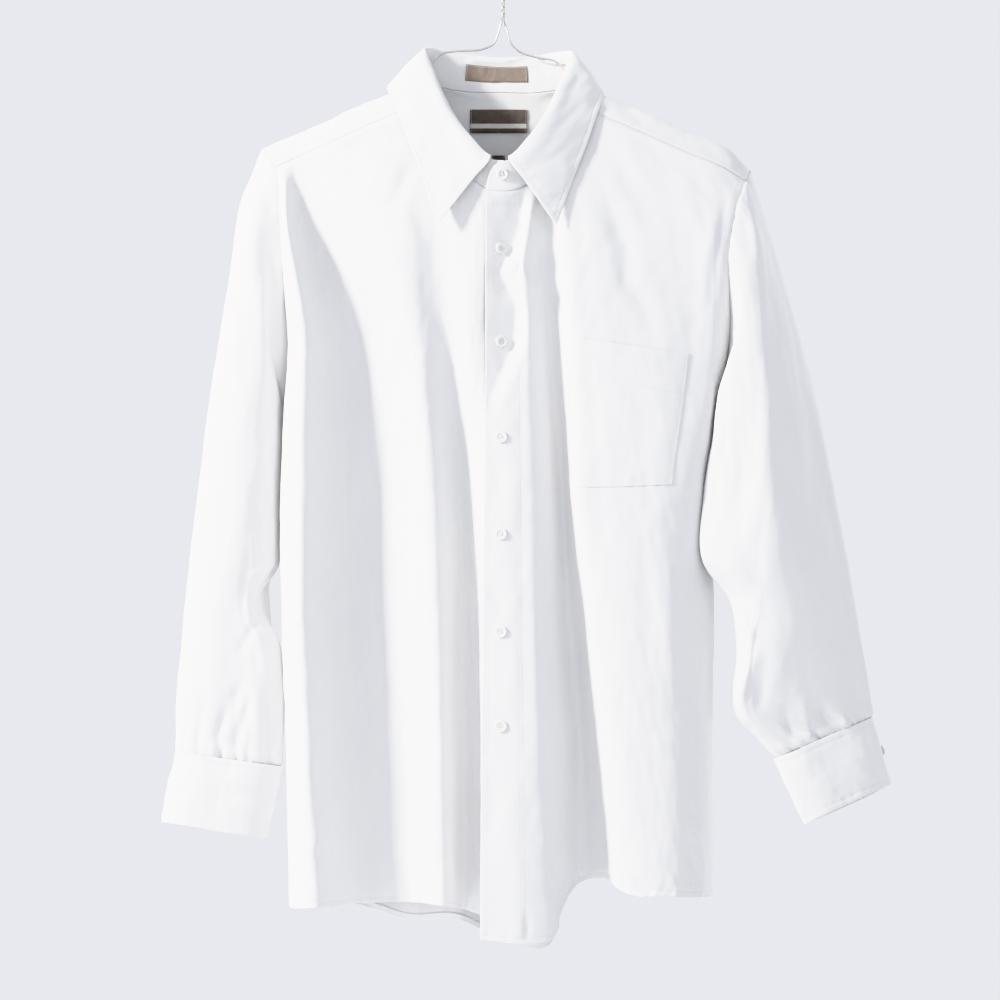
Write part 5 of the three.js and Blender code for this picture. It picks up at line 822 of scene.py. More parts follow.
def upper_band(c, k=1.0):
    """The crumpled stretch of the band between the collar and the third button: it falls away
    from its outer edge to a winding line, and comes up steeply beyond that."""
    y = c.y
    low = np.interp(y, [186, 200, 215, 236, 255, 271, 285, 294, 306, 342, 368, 401, 430], [523, 522, 520, 515, 506, 498, 503, 510, 515, 513, 502, 489, 485])
    deep = np.interp(y, [188, 204, 220, 238, 255, 271, 283, 294, 315, 342, 370, 396, 420], [1.5, 7.5, 10.0, 10.0, 8.0, 6.5, 7.0, 8.5, 9.5, 9.5, 6.5, 2.0, 0.0])
    start = 483.0
    left = np.clip((c.x - start) / np.maximum(low - start, 4), 0, 1)
    right = np.clip((c.x - low) / np.interp(y, [190, 215, 240], [8.0, 11.0, 17.0]), 0, 1)
    shape = np.where(c.x < low, left ** 1.15, (1 - smooth01(right)) * (1 - 0.12 * right))
    c.D -= deep * shape * (c.x > start)
    c.line([(494, 240), (508, 248), (524, 262), (534, 276)], [5, 6, 6, 5], -1.5 * k)
    c.line([(530, 262), (518, 272), (506, 286), (496, 300)], 5.5, -1.3 * k)
    c.line([(500, 258), (512, 266), (523, 278), (531, 296)], 5.0, 1.6 * k)
    c.line([(520, 276), (529, 288), (533, 300)], 5, 1.6 * k)
    c.line([(506, 290), (517, 291), (530, 283)], 3.5, -0.9 * k)
    c.line([(487, 322), (497, 330), (510, 334)], 6, -0.7 * k)
    c.line([(489, 356), (500, 372), (503, 392)], 7, 0.7 * k)


def lower_band(c):
    c.line([(492, 440), (497, 470), (494, 510)], 7, -0.8)
    c.line([(512, 450), (515, 490), (512, 540)], 8, 0.6)
    c.line([(489, 585), (496, 600), (504, 622)], 6, -0.7)
    c.line([(515, 640), (511, 670), (516, 700)], 7, 0.6)
    c.line([(490, 770), (495, 800), (493, 840)], 8, -0.7)
    c.line([(513, 868), (523, 880), (534, 890)], 7, 0.7)
    c.line([(526, 905), (526.5, 925), (525, 941)], 2.4, -1.5, ends=(0.5, 0.05))


gx, gz = rf.run("first"), rf.run("top")
c = Creases(rf)
c.line([(417, 146), (408, 172), (398, 192), (374, 222)], [8, 9, 10, 8], [-1.4, -2.6, -2.2, -0.8])
c.line([(326, 152), (352, 146), (380, 143), (407, 139)], 7, -1.4)
c.line([(374, 150), (350, 167), (315, 192)], 4.0, 0.9)
c.line([(352, 172), (331, 189), (309, 206)], 5.0, -0.8)
c.line([(400, 205), (412, 232), (418, 262)], 8, 1.2)
c.line([(296, 262), (301, 300), (304, 352), (303, 400)], 6, 1.0)
c.line([(318, 236), (334, 262), (344, 300)], 8, -1.2)
c.line([(365, 300), (377, 360), (380, 420)], 9, 0.8)
c.line([(404, 330), (410, 420), (414, 500)], 9, -1.2)
c.line([(286, 450), (296, 470), (303, 500)], 6, -1.2)
c.line([(288, 640), (297, 668), (304, 690)], 6, -0.9)
c.line([(289, 818), (300, 832), (312, 838)], 6, 0.8)
c.line([(300, 866), (308, 880), (312, 902)], 5, -1.2, ends=(0.5, 0.0))
c.line([(306, 812), (316, 822), (314, 846), (305, 858)], 5, 1.4)
c.line([(330, 640), (342, 700), (340, 780)], 9, 0.9)
c.line([(372, 560), (382, 660), (388, 760)], 9, -1.0)
c.line([(428, 520), (434, 560), (436, 610)], 6, 0.8)
c.line([(446, 610), (452, 700), (455, 780)], 5, -0.8)
c.line([(386, 868), (398, 884), (400, 906)], 7, 1.1, ends=(0.5, 0.0))
c.line([(456, 196), (462, 214), (468, 238)], 5, -1.2)
c.line([(296, 190), (292, 214), (294, 246)], 6, -1.6)
upper_band(c, 0.9)
lower_band(c)
D = c.D + 0.38 * noise(gx, gz, 11, 90, 260) + 0.16 * noise(gx, gz, 12, 26, 60)
D += seam_puckers(rf, "bottom", 9, 0.30, 13, 21) + seam_puckers(rf, "first", 7, 0.30, 16, 22) + 0.8 * seam_puckers(rf, "top", 6, 0.25, 15, 23)
edge_in = smooth01(rf.run("first") / 14) * smooth01(rf.run("top") / 12)
rf.move(D * (0.12 + 0.88 * edge_in))

gx, gz = lf.run("first"), lf.run("top")
c = Creases(lf)
c.line([(588, 172), (600, 196), (614, 222), (625, 246), (629, 283), (643, 305), (657, 371)], [8, 10, 11, 10, 9, 9, 7], [-1.0, -2.4, -2.8, -2.4, -1.8, -1.4, -0.5])
c.line([(600, 160), (622, 198), (640, 232)], 8, 1.3)
c.line([(724, 178), (725, 222), (717, 262), (707, 332)], [6, 8, 8, 7], [-1.4, -2.8, -2.4, -1.0])
c.line([(672, 168), (690, 200), (700, 240)], 9, 1.1)
c.line([(620, 138), (650, 148), (690, 160)], 6, -0.9)
c.line([(548, 300), (552, 380), (560, 470)], 6, -1.0)
c.line([(536, 238), (540, 262), (534, 292)], 5, -2.2)
c.line([(532, 212), (541, 232), (545, 258)], 4.5, 1.4)
c.line([(580, 540), (600, 610), (608, 690)], 7, -0.8)
c.line([(640, 520), (648, 600), (644, 680)], 11, -1.1)
c.line([(668, 560), (672, 640), (668, 720)], 9, 0.9)
c.line([(618, 700), (626, 770), (628, 850)], 8, 0.8)
c.line([(700, 430), (706, 480), (704, 540)], 6, -1.3)
c.line([(690, 806), (697, 820), (699, 836)], 3.6, -1.5)
c.line([(688, 828), (698, 842), (694, 858)], 3.4, 1.3)
c.line([(684, 850), (694, 866), (690, 888)], 3.8, -1.5, ends=(0.3, 0.1))
c.line([(700, 850), (704, 870), (702, 892)], 3.2, 0.9, ends=(0.3, 0.1))
c.line([(668, 872), (674, 884), (676, 898)], 3.6, 0.9, ends=(0.4, 0.0))
c.line([(630, 878), (640, 886), (656, 894)], [4, 5, 4], [-1.0, -2.2, -1.2], ends=(0.3, 0.1))
c.line([(604, 858), (612, 874), (622, 888)], 5, 1.0)
c.line([(554, 700), (562, 780), (562, 860)], 6, -0.8)
c.line([(532, 560), (536, 640), (533, 720)], 6, 0.8)
upper_band(c, 1.0)
lower_band(c)
D = c.D + 0.38 * noise(gx, gz, 31, 90, 260) + 0.16 * noise(gx, gz, 32, 26, 60)
D += seam_puckers(lf, "bottom", 9, 0.32, 13, 24) + seam_puckers(lf, "last", 7, 0.34, 15, 25) + 0.8 * seam_puckers(lf, "top", 6, 0.22, 15, 26)
edge_in = smooth01(lf.run("last") / 14) * smooth01(lf.run("top") / 12)
lf.move(D * (0.12 + 0.88 * edge_in))

gx, gz = bk.run("first"), bk.run("top")
c = Creases(bk)
for k, (x, d) in enumerate([(318, 1.2), (352, -1.6), (392, 1.4), (430, -1.8), (476, 1.0), (520, -1.2), (566, 1.6), (610, -1.5), (656, 1.3), (690, -1.2)]):
    c.line([(x + 2, 222), (x - 3 + 5 * (k % 3), 330), (x + 4, 450 + 25 * (k % 2))], 8 + 2 * (k % 3), d * 1.4, ends=(0.15, 0.6))
c.line([(300, 300), (330, 330), (372, 350)], 9, -2.0)
c.line([(706, 292), (676, 330), (640, 356)], 9, -2.0)
c.line([(312, 500), (360, 540), (398, 548)], 11, 1.6)
c.line([(690, 560), (640, 590), (600, 596)], 11, -1.6)
c.line([(420, 620), (470, 650), (520, 648)], 13, 1.3)
c.line([(350, 720), (380, 760), (430, 770)], 11, -1.4)
c.line([(660, 740), (620, 790), (560, 800)], 12, 1.4)
c.line([(330, 860), (352, 880), (362, 904)], 8, 1.4, ends=(0.4, 0.0))
c.line([(590, 880), (604, 904), (606, 928)], 8, -1.4, ends=(0.4, 0.0))
D = c.D + 0.55 * noise(gx, gz, 41, 95, 240) + 0.2 * noise(gx, gz, 42, 28, 64)
D += seam_puckers(bk, "bottom", 9, 0.34, 13, 27) + seam_puckers(bk, "first", 7, 0.3, 15, 28) + seam_puckers(bk, "last", 7, 0.3, 15, 29) + seam_puckers(bk, "top", 12, 0.35, 20, 30)
edge_in = smooth01(bk.run("first") / 14) * smooth01(bk.run("last") / 14) * smooth01(bk.run("top") / 12)
bk.move(D * (0.12 + 0.88 * edge_in))

gx, gz = yk.run("first"), yk.run("top")
front_side = smooth01((-yk.N[..., 1] + 0.25) / 0.5)
c = Creases(yk, front_side)
c.line([(342, 124), (362, 112), (388, 96)], 5, -1.8)
c.line([(352, 118), (370, 108), (384, 101)], 3.2, 0.9)
c.line([(376, 128), (386, 120), (399, 112)], 4.5, -1.6)
c.line([(300, 140), (318, 134), (338, 129)], 5, 0.7)
c.line([(616, 106), (634, 116), (652, 128)], 5, -1.0)
c.line([(700, 146), (716, 156), (734, 166)], 4.5, -0.9)
c.line([(268, 156), (276, 162), (284, 160)], 4, -1.2)
D = c.D
c = Creases(yk, 1 - front_side)
c.line([(330, 150), (380, 158), (430, 152)], 9, -1.2)
c.line([(570, 156), (620, 168), (668, 170)], 9, -1.2)
c.line([(440, 172), (500, 178), (560, 172)], 10, 0.9)
D = D + c.D + 0.30 * noise(gx, gz, 51, 60, 80) + 0.12 * noise(gx, gz, 52, 22, 26)
edge_in = smooth01(yk.run("first") / 9) * smooth01(yk.run("last") / 9) * smooth01(yk.run("top") / 9) * smooth01(yk.run("bottom") / 9)
yk.move(D * edge_in)


def sleeve_creases(s, front_lines, back_lines, seed):
    gz = s.run("top")
    around = np.cumsum(np.concatenate([np.zeros((len(s.vs), 1)), np.linalg.norm(np.diff(s.G, axis=1), axis=2)], 1), 1)
    total = around[:, -1:] + 3.0
    ang = 2 * math.pi * around / total
    face = smooth01((-s.N[..., 1] + 0.15) / 0.4)
    c = Creases(s, face)
    for args in front_lines:
        c.line(*args[:3], **(args[3] if len(args) > 3 else {}))
    D = c.D
    c = Creases(s, 1 - face)
    for args in back_lines:
        c.line(*args[:3], **(args[3] if len(args) > 3 else {}))
    D = D + c.D
    rng = np.random.RandomState(seed)
    soft = np.zeros(D.shape)
    for _ in range(26):
        soft += np.cos(rng.randint(1, 9) * ang + 2 * math.pi * gz * rng.normal() / 170 + rng.uniform(0, 6.28))
    fine = np.zeros(D.shape)
    for _ in range(26):
        fine += np.cos(rng.randint(8, 26) * ang + 2 * math.pi * gz * rng.normal() / 60 + rng.uniform(0, 6.28))
    D = D + 0.42 * soft / 3.6 + 0.13 * fine / 3.6
    low = s.run("bottom")
    # small pleats and gathers into the cuff, deeper at the seam and dying out above it
    g = np.zeros(D.shape)
    for k, a in ((9, 1.0), (14, 0.8), (19, 0.6), (25, 0.4)):
        g += a * np.cos(k * ang + rng.uniform(0, 6.28) + 0.6 * np.sin(2 * ang + k))
    D = D + 0.66 * g * np.exp(-(low / 15) ** 2) * smooth01(low / 3 + 0.25) + 0.26 * g * np.exp(-(low / 40) ** 2)
    small = sum(a * np.cos(k * ang + rng.uniform(0, 6.28) + 0.5 * np.sin(3 * ang + k)) for k, a in ((29, 1.0), (37, 0.8), (46, 0.6)))
    D = D + 0.30 * small * np.exp(-(low / 9) ** 2)
    # the cloth blouses a little over the cuff's seam
    D = D + 1.1 * np.exp(-((low - 6) / 7) ** 2) * smooth01(low / 3 + 0.3)
    # the cap stands over the armhole seam, eased in with slight gathers
    D = D + 0.55 * np.exp(-((gz - 7) / 8) ** 2)
    D = D + 0.22 * np.exp(-(gz / 12) ** 2) * noise(around, gz, seed + 7, 11, 60)
    s.move(D)
    # and runs on inside the cuff
    n = unit(s.G[-1] - s.G[-4])
    mid = s.G[-1].mean(0)
    inward = unit(mid - s.G[-1])
    more = [s.G[-1] + n * q + inward * (0.25 * q) for q in (2.0, 4.0, 6.5)]
    # its top turns in under the armhole seam
    side = np.array([1.0, 0.0, 0.0]) * (1 if s.G[0][:, 0].mean() < 0 else -1)
    under = unit(side * 0.75 + 0.65 * unit(s.G[0].mean(0) - s.G[0]))
    turned = [s.G[0] + under * q for q in (3.4, 1.7, 0.7)]
    s.G = np.concatenate([np.array(turned), s.G, np.array(more)])
    s.vs = np.concatenate([s.vs[0] - np.array([0.034, 0.017, 0.007]), s.vs, s.vs[-1] + np.array([0.02, 0.04, 0.065])])


sleeve_creases(sr, [
    ([(266, 205), (258, 228), (256, 262), (259, 312), (264, 360), (272, 440)], [5, 6, 7, 8, 8, 8], [1.2, 2.0, 2.0, 1.6, 1.4, 0.8]),
    ([(276, 228), (272, 262), (273, 320), (278, 380)], 6, -2.4),
    ([(260, 192), (269, 203), (277, 216)], 6.5, -1.9),
    ([(250, 190), (262, 188), (272, 180)], 5, 0.8),
    ([(236, 230), (232, 290), (222, 350)], 9, -1.0),
    ([(228, 420), (238, 480), (236, 540)], 11, 1.1),
    ([(206, 430), (202, 500), (197, 560)], 8, -0.9),
    ([(262, 470), (266, 520), (270, 560)], 6, -1.2),
    ([(278, 566), (270, 582), (258, 594), (244, 602)], [4, 5, 6, 6], [-2.5, -4.0, -3.0, -1.0], {"ends": (0.1, 0.5)}),
    ([(274, 556), (262, 570), (246, 580)], 5, 1.8),
    ([(256, 600), (262, 616), (274, 634), (284, 652)], [4, 5, 5, 5], [1.0, 2.2, 2.0, 1.0]),
    ([(262, 606), (256, 624), (246, 640), (236, 660)], 5, -1.8),
    ([(246, 672), (236, 698), (224, 722), (214, 748)], [5, 6, 6, 5], [-1.4, -3.0, -3.2, -1.6], {"ends": (0.3, 0.1)}),
    ([(252, 692), (246, 712), (240, 730), (234, 752)], [4, 5, 5, 4], [-1.0, -2.4, -2.4, -1.2], {"ends": (0.3, 0.1)}),
    ([(238, 690), (229, 716), (222, 744)], 4.5, 1.8, {"ends": (0.3, 0.1)}),
    ([(206, 690), (201, 716), (198, 748)], 5, -1.4, {"ends": (0.4, 0.1)}),
    ([(266, 690), (266, 720), (262, 756)], 5, -1.4, {"ends": (0.4, 0.1)}),
    ([(188, 640), (190, 680), (186, 720)], 6, 0.8),
], [
    ([(250, 250), (240, 330), (236, 420)], 12, -2.0),
    ([(228, 330), (226, 430), (214, 520)], 10, 1.6),
    ([(266, 560), (246, 590), (216, 606)], 8, -3.0),
    ([(258, 600), (236, 640), (214, 660)], 9, 2.0),
    ([(232, 670), (222, 710), (216, 750)], 7, -2.6, {"ends": (0.3, 0.1)}),
    ([(206, 660), (202, 710), (198, 748)], 7, 1.6, {"ends": (0.3, 0.1)}),
    ([(250, 670), (244, 720), (240, 756)], 6, 1.4, {"ends": (0.3, 0.1)}),
], 61)

sleeve_creases(sl, [
    ([(757, 232), (762, 310), (767, 400), (768, 500), (767, 597)], [6, 7, 8, 8, 7], [0.8, 1.2, 1.2, 1.2, 1.0]),
    ([(740, 214), (748, 238), (752, 262)], 5, -1.6),
    ([(726, 262), (736, 320), (738, 380)], 6, -1.4),
    ([(736, 400), (742, 460), (738, 520)], 8, -1.6),
    ([(722, 440), (722, 500), (714, 548)], 6, 1.0),
    ([(786, 330), (800, 420), (808, 500)], 10, 1.0),
    ([(778, 420), (790, 500), (792, 580)], 9, -1.0),
    ([(704, 562), (722, 578), (742, 600), (756, 630)], [4, 5, 6, 5], [-1.6, -3.0, -3.2, -1.6], {"ends": (0.1, 0.4)}),
    ([(716, 556), (738, 570), (760, 584)], 5, 1.6),
    ([(738, 614), (748, 630), (758, 642)], 3.6, 1.4),
    ([(757, 642), (750, 668), (742, 690), (735, 714)], [4, 5, 5, 4], [1.4, 2.2, 2.2, 1.0]),
    ([(770, 640), (764, 680), (754, 722)], 6, -2.2),
    ([(800, 620), (806, 670), (812, 716)], 8, -1.0),
    ([(830, 640), (838, 680), (842, 716)], 7, 0.9),
    ([(782, 700), (788, 720), (794, 744)], 4.5, -1.8, {"ends": (0.3, 0.1)}),
    ([(802, 694), (806, 716), (811, 738)], 4, 1.5, {"ends": (0.3, 0.1)}),
    ([(818, 700), (823, 718), (828, 734)], 4, -1.6, {"ends": (0.3, 0.1)}),
    ([(838, 696), (843, 712), (848, 728)], 4, 1.0, {"ends": (0.3, 0.1)}),
    ([(748, 720), (752, 734), (762, 746)], 4.5, -1.6, {"ends": (0.3, 0.1)}),
], [
    ([(764, 250), (784, 330), (800, 420)], 11, -2.0),
    ([(780, 300), (812, 400), (826, 500)], 9, 1.6),
    ([(760, 430), (774, 500), (776, 560)], 11, 1.8),
    ([(716, 566), (744, 590), (790, 606)], 8, -3.0),
    ([(744, 610), (780, 640), (822, 650)], 9, 2.0),
    ([(788, 660), (802, 700), (812, 738)], 7, -2.4, {"ends": (0.3, 0.1)}),
    ([(822, 650), (834, 690), (838, 728)], 7, 1.6, {"ends": (0.3, 0.1)}),
], 62)

# the body's armhole lines follow the seam; a narrow turn of cloth inside every hem
HEM = 6.5


def hem_inside(sheet, extra=0.75):
    d = sheet.run("bottom")
    return extra * smooth01((HEM - d) / 0.9 + 0.5)


def hem_groove(sheet, at=5.0, deep=0.28):
    d = sheet.run("bottom")
    return -deep * np.exp(-((d - at) / 1.0) ** 2)


def add_rows(sheet, edge, inset):
    """Extra rows or columns close to an edge, so that a narrow hem or stitch groove has points."""
    d = sheet.run(edge)
    across = edge in ("first", "last")
    G = sheet.G.transpose(1, 0, 2) if across else sheet.G
    d = d.T if across else d
    us = sheet.us if across else sheet.vs
    rev = edge in ("bottom", "last")
    mean = d.mean(1)
    targets = [x for x in inset if np.abs(mean - x).min() > 0.35]
    order = np.argsort(mean)
    new_u = np.interp(targets, mean[order], us[order])
    all_u = np.unique(np.concatenate([us, new_u]))
    i = np.clip(np.searchsorted(us, all_u, side="right") - 1, 0, len(us) - 2)
    t = ((all_u - us[i]) / (us[i + 1] - us[i]))[:, None, None]
    H = G[i] * (1 - t) + G[i + 1] * t
    if across:
        sheet.us, sheet.G = all_u, H.transpose(1, 0, 2)
    else:
        sheet.vs, sheet.G = all_u, H


for s in (rf, lf, bk):
    add_rows(s, "bottom", [0.5, 1.2, 2.5, 3.8, 4.4, 5.0, 5.6, 6.2, 6.8, 7.6])
    s.move(hem_groove(s))

# ---- panels into meshes -------------------------------------------------------------------------------
# the right front stops short under the band, and both fronts run up under the yoke and the collar
o_rf = ride(shell("right_front_cloth", rf.G, rf.N, SHIRTING, inner=hem_inside(rf)), "shirting", "right_front")
lf_N = lf.N
lf_shown = lf.G.copy()
lf_shown[:, 0] = lf.G[:, 0] + unit(lf.G[:, 2] - lf.G[:, 0]) * 1.1
o_lf = ride(shell("left_front_cloth", lf_shown, lf_N, SHIRTING, inner=hem_inside(lf)), "shirting", "left_front")
o_bk = ride(shell("back_cloth", bk.G, bk.N, SHIRTING, inner=hem_inside(bk, 0.35)), "shirting", "back")

# the yoke lies over the tops of the panels: its turned edges stand a little proud
d = np.minimum(yk.run("first"), np.where((yk.vs < 4.05) | (yk.vs > 9.95), 1.0, 0.0)[:, None] * yk.run("last") + np.where((yk.vs < 4.05) | (yk.vs > 9.95), 0.0, 1.0)[:, None] * 50)
yk_out = 0.22 * smooth01((9.0 - d) / 4.0)
o_yk = ride(shell("yoke_cloth", yk.G, yk.N, SHIRTING, out=0.10 + yk_out, t=0.6, rounded=0.8), "shirting", "yoke")

o_sr = ride(shell("sleeve_right_cloth", sr.G, sr.N, SHIRTING, ring=True), "shirting", "sleeve_right")
o_sl = ride(shell("sleeve_left_cloth", sl.G, sl.N, SHIRTING, ring=True), "shirting", "sleeve_left")

# ---- front band ----------------------------------------------------------------------------------------
G, N, us, vs = lf.cut(0, 1, 0, 99)
B, M = G[:, 0], G[:, -1]
# across the band: close to the left front's own points, with more of them near its edges
bu = np.unique(np.concatenate([us, [0.012, 0.03, 0.06, 0.94, 0.97, 0.988]]))
lf_band_G = np.stack([np.stack([np.interp(bu, us, G[i, :, k]) for k in range(3)], -1) for i in range(len(vs))])
lf_band_N = unit(np.stack([np.stack([np.interp(bu, us, N[i, :, k]) for k in range(3)], -1) for i in range(len(vs))]))
band = Sheet(lf_band_G, bu, vs, -1)
BAND_OUT, BAND_T = 0.62, 0.55
db = np.minimum(band.run("first"), band.run("last"))
ripple = 0.10 * noise(band.run("top"), band.run("first"), 71, 9, 60) * np.exp(-((db - 5.5) / 4) ** 2)
# stitched grooves 5.5 mm inside both edges: the strip between them and the edges is a little puffed
groove = -0.12 * np.exp(-((db - 5.5) / 0.9) ** 2) + 0.06 * np.exp(-((db - 2.6) / 2.0) ** 2)
band_out = BAND_OUT + groove + ripple - 0.60 * smooth01(1 - band.run("last") / 10)
turned_in = 0.55 * smooth01((1.0 - band.run("first")) / 0.5)
o_band = ride(shell("band_cloth", band.G, lf_band_N, MADE, out=band_out, t=BAND_T, inner=turned_in, rounded=0.45), "shirting", "placket_band")
band_top = band.G + lf_band_N * (band_out + BAND_T / 2)[..., None]

# ---- pocket -----------------------------------------------------------------------------------------------
G, N, us, vs = lf.cut(6, 9, 2, 4)
pk = Sheet(G, us, vs, -1)
for e, extra in (("top", (0.4, 1.0, 36.0, 37.0, 38.0)), ("bottom", (0.4, 1.0, 1.9, 2.8)), ("first", (0.4, 1.0, 1.9, 2.8)), ("last", (0.4, 1.0, 1.9, 2.8))):
    Nfull = None
    add_rows(pk, e, extra)
pN = pk.N
d3 = np.minimum(pk.run("bottom"), np.minimum(pk.run("first"), pk.run("last")))
mouth = np.exp(-(pk.run("top") / 26) ** 2) * np.sin(math.pi * pk.run("first") / (pk.run("first") + pk.run("last") + 1e-9)) ** 2
wide = pk.run("first") + pk.run("last")
pk_out = (CLOTH + 0.15 + 1.5 * mouth - 0.22 * np.exp(-((d3 - 1.9) / 0.8) ** 2)
          + 0.30 * (noise(pk.run("first"), pk.run("top"), 81, 60, 90) * 0.4 + 0.8) * smooth01(d3 / 14)
          + 0.12 * noise(pk.run("first"), pk.run("bottom"), 82, 12, 60) * np.exp(-(pk.run("bottom") / 9) ** 2)
          - 0.25 * np.exp(-((pk.run("top") - 37.0) / 0.9) ** 2))
pk_out = np.maximum(pk_out, CLOTH + 0.08)
hemmed = 0.35 * smooth01((37.5 - pk.run("top")) / 1.0)
o_pk = ride(shell("pocket_cloth", pk.G, pN, SHIRTING, out=pk_out + hemmed / 2, t=0.55, rounded=0.4), "shirting", "pocket")
pk_top = pk.G + pN * (pk_out + hemmed / 2 + 0.28)[..., None]

# ---- cuffs ----------------------------------------------------------------------------------------------------
CUFF_T = 1.3


def cuff(name, table, side, start, node, seed):
    """A band wound once round the wrist, its ends lapped at the back."""
    n, total = 9, 9 + CUFF_LAP
    A = cells(table)
    B = np.concatenate([A, A[:, :1]], 1)
    per = np.linalg.norm(np.diff(B, axis=1), axis=2).mean() * 9
    us = np.linspace(0, total, int(per * total / 9 / 1.7))
    us = np.unique(np.concatenate([us, [0.012, 0.03, 0.06, total - 0.06, total - 0.03, total - 0.012]]))
    dv = np.linalg.norm(np.diff(A, axis=0), axis=2).mean(1)
    vs = spread(dv, 1.9)
    L = dv.sum()
    vs = np.unique(np.concatenate([vs, np.array([0.3, 0.8, 5.0, 6.0, 7.0]) / dv[0], 2 - np.array([0.3, 0.8, 5.0, 6.0, 7.0]) / dv[1]]))
    rows = curve(A.transpose(1, 0, 2), (start + us) % n, closed=True)
    G = curve(rows.transpose(1, 0, 2), vs)
    s = Sheet(G, us, vs, side)
    lift = (MADE_UP + 0.6) * smooth01((us - 0.5) / (n - 1.1)) - (MADE_UP + 0.6) / 2
    s.G = s.G + s.N * lift[None, :, None]
    c = Creases(s)
    D = 0.30 * noise(s.run("first"), s.run("top"), seed, 50, 45) + 0.10 * noise(s.run("first"), s.run("top"), seed + 1, 14, 30)
    s.move(D)
    d = np.minimum(np.minimum(s.run("top") + 0 * D, s.run("bottom")), np.minimum(s.run("first"), s.run("last")))
    # a stitched groove 6 mm inside the edges, the strip outside it a little puffed, with slight ripples
    out = -0.22 * np.exp(-((d - 6.0) / 0.9) ** 2) + 0.12 * np.exp(-((d - 2.8) / 2.2) ** 2) + 0.12 * noise(s.run("first"), s.run("top"), seed + 2, 8, 50) * np.exp(-((d - 6) / 4) ** 2)
    N = s.N
    ob = ride(shell(name, s.G, N, MADE, out=out, t=CUFF_T, rounded=0.6), "shirting", node)
    return s, N, out, ob


cR, cRN, cR_out, o_cr = cuff("cuff_right_cloth", CUFF_RIGHT, -1, 7.5, "cuff_right", 91)
cL, cLN, cL_out, o_cl = cuff("cuff_left_cloth", CUFF_LEFT, 1, 7.5, "cuff_left", 92)

# ---- sleeve plackets ---------------------------------------------------------------------------------------------


def sleeve_placket(name, s, node):
    """The strip on the back of the sleeve above the cuff, with a pointed top."""
    v = np.linspace(6.85, 8.93, 70)
    rows_G, rows_N = [], []
    half = 11.0
    for i, q in enumerate(v):
        mid, nm = s.at([7.25], [q])
        e, _ = s.at([7.30], [q])
        per_u = np.linalg.norm(e - mid) / 0.05
        t = np.linspace(-1, 1, 15)
        p, nn = s.at(7.25 + t * half / per_u, np.full(15, q))
        rows_G.append(p)
        rows_N.append(nn)
    G, N = np.array(rows_G), np.array(rows_N)
    # pointed top: rows near it are drawn in towards the middle
    run = np.concatenate([[0], np.cumsum(np.linalg.norm(np.diff(G[:, 7], axis=0), axis=1))])
    k = np.clip(run / half, 0.04, 1)[:, None, None]
    mid = G[:, 7:8]
    G = mid + (G - mid) * k
    ob = ride(shell(name, G, N, SHIRTING, out=CLOTH / 2 + 0.55, t=0.8, rounded=0.5), "shirting", node)
    return Sheet(G, np.arange(15.0), v, 1), N, ob


pR, pRN, o_spr = sleeve_placket("sleeve_placket_right_cloth", sr, "sleeve_placket_right")
pL, pLN, o_spl = sleeve_placket("sleeve_placket_left_cloth", sl, "sleeve_placket_left")

# ---- collar -----------------------------------------------------------------------------------------------------------
su = spread(np.linalg.norm(np.diff(cells(COLLAR)[:, 0], axis=0), axis=1), 1.6)
su = np.unique(np.concatenate([su, [0.02, 0.05, 17.95, 17.98]]))
b, f = NECK(su), FOLD(su)
up = unit(f - b)
low, high = b + up * 0.25, f - up * (ROLL_DROP - 0.6)
st = np.unique(np.concatenate([np.linspace(0, 1, 18), [0.015, 0.04, 0.96, 0.985]]))
# the ends are rounded off at the top
endy = np.clip(np.minimum(su, 18 - su) / 0.55, 0, 1)
drop = (1 - np.sqrt(1 - (1 - endy) ** 2)) * 0.55
Gst = low[None] + (high - low)[None] * (st[:, None, None] * (1 - drop)[None, :, None])
stand = Sheet(Gst, su, st, -1)
crease = 0.25 * noise(stand.run("first"), stand.run("top"), 101, 40, 30)
stN = stand.N
stand.G = stand.G + stN * (crease * smooth01(st * 4)[:, None])[..., None]
o_stand = ride(shell("collar_stand_cloth", stand.G, stN, MADE, t=DOUBLE, rounded=0.55), "shirting", "collar_stand")

lu = su[(su >= 1) & (su <= 17)]
lu = np.unique(np.concatenate([lu, [1.0, 1.02, 1.05, 16.95, 16.98, 17.0]]))
b, f, p = NECK(lu), FOLD(lu), POINT(lu)
up = unit(f - b)
along = FOLD(np.minimum(18, lu + 0.3)) - FOLD(np.maximum(0, lu - 0.3))
outward = unit(np.cross(f - b, along))
startp = f - up * (ROLL_DROP + 0.2)
crest = f + outward * (ROLL * 0.42)
turn = f + outward * ROLL - up * 2.6
part = lambda t: turn + (p - turn) * t + outward * (LEAF_BULGE * 4 * t * (1 - t))
sec = np.stack([startp, crest, turn, part(0.3), part(0.65), p])
seclen = np.linalg.norm(np.diff(sec, axis=0), axis=2).mean(1)
lv = spread(seclen, 1.5)
lv = np.unique(np.concatenate([lv, 5 - np.array([0.3, 0.8, 1.6, 4.8, 5.6, 6.4, 7.4]) / seclen[-1]]))
leaf = Sheet(curve(sec, lv), lu, lv, 1)
lx, ly = in_view(leaf.G)
c = Creases(leaf)
c.line([(396, 104), (404, 126), (420, 150)], 6, -0.7)
c.line([(444, 160), (452, 176), (450, 196)], 6, 0.5)
c.line([(590, 76), (596, 96), (588, 122)], 6, -0.8)
c.line([(560, 150), (566, 176), (560, 204)], 6, 0.6)
D = c.D + 0.22 * noise(leaf.run("first"), leaf.run("top"), 111, 45, 40)
D = D * smooth01(leaf.run("top") / 12)
leaf.move(D)
lfN = leaf.N
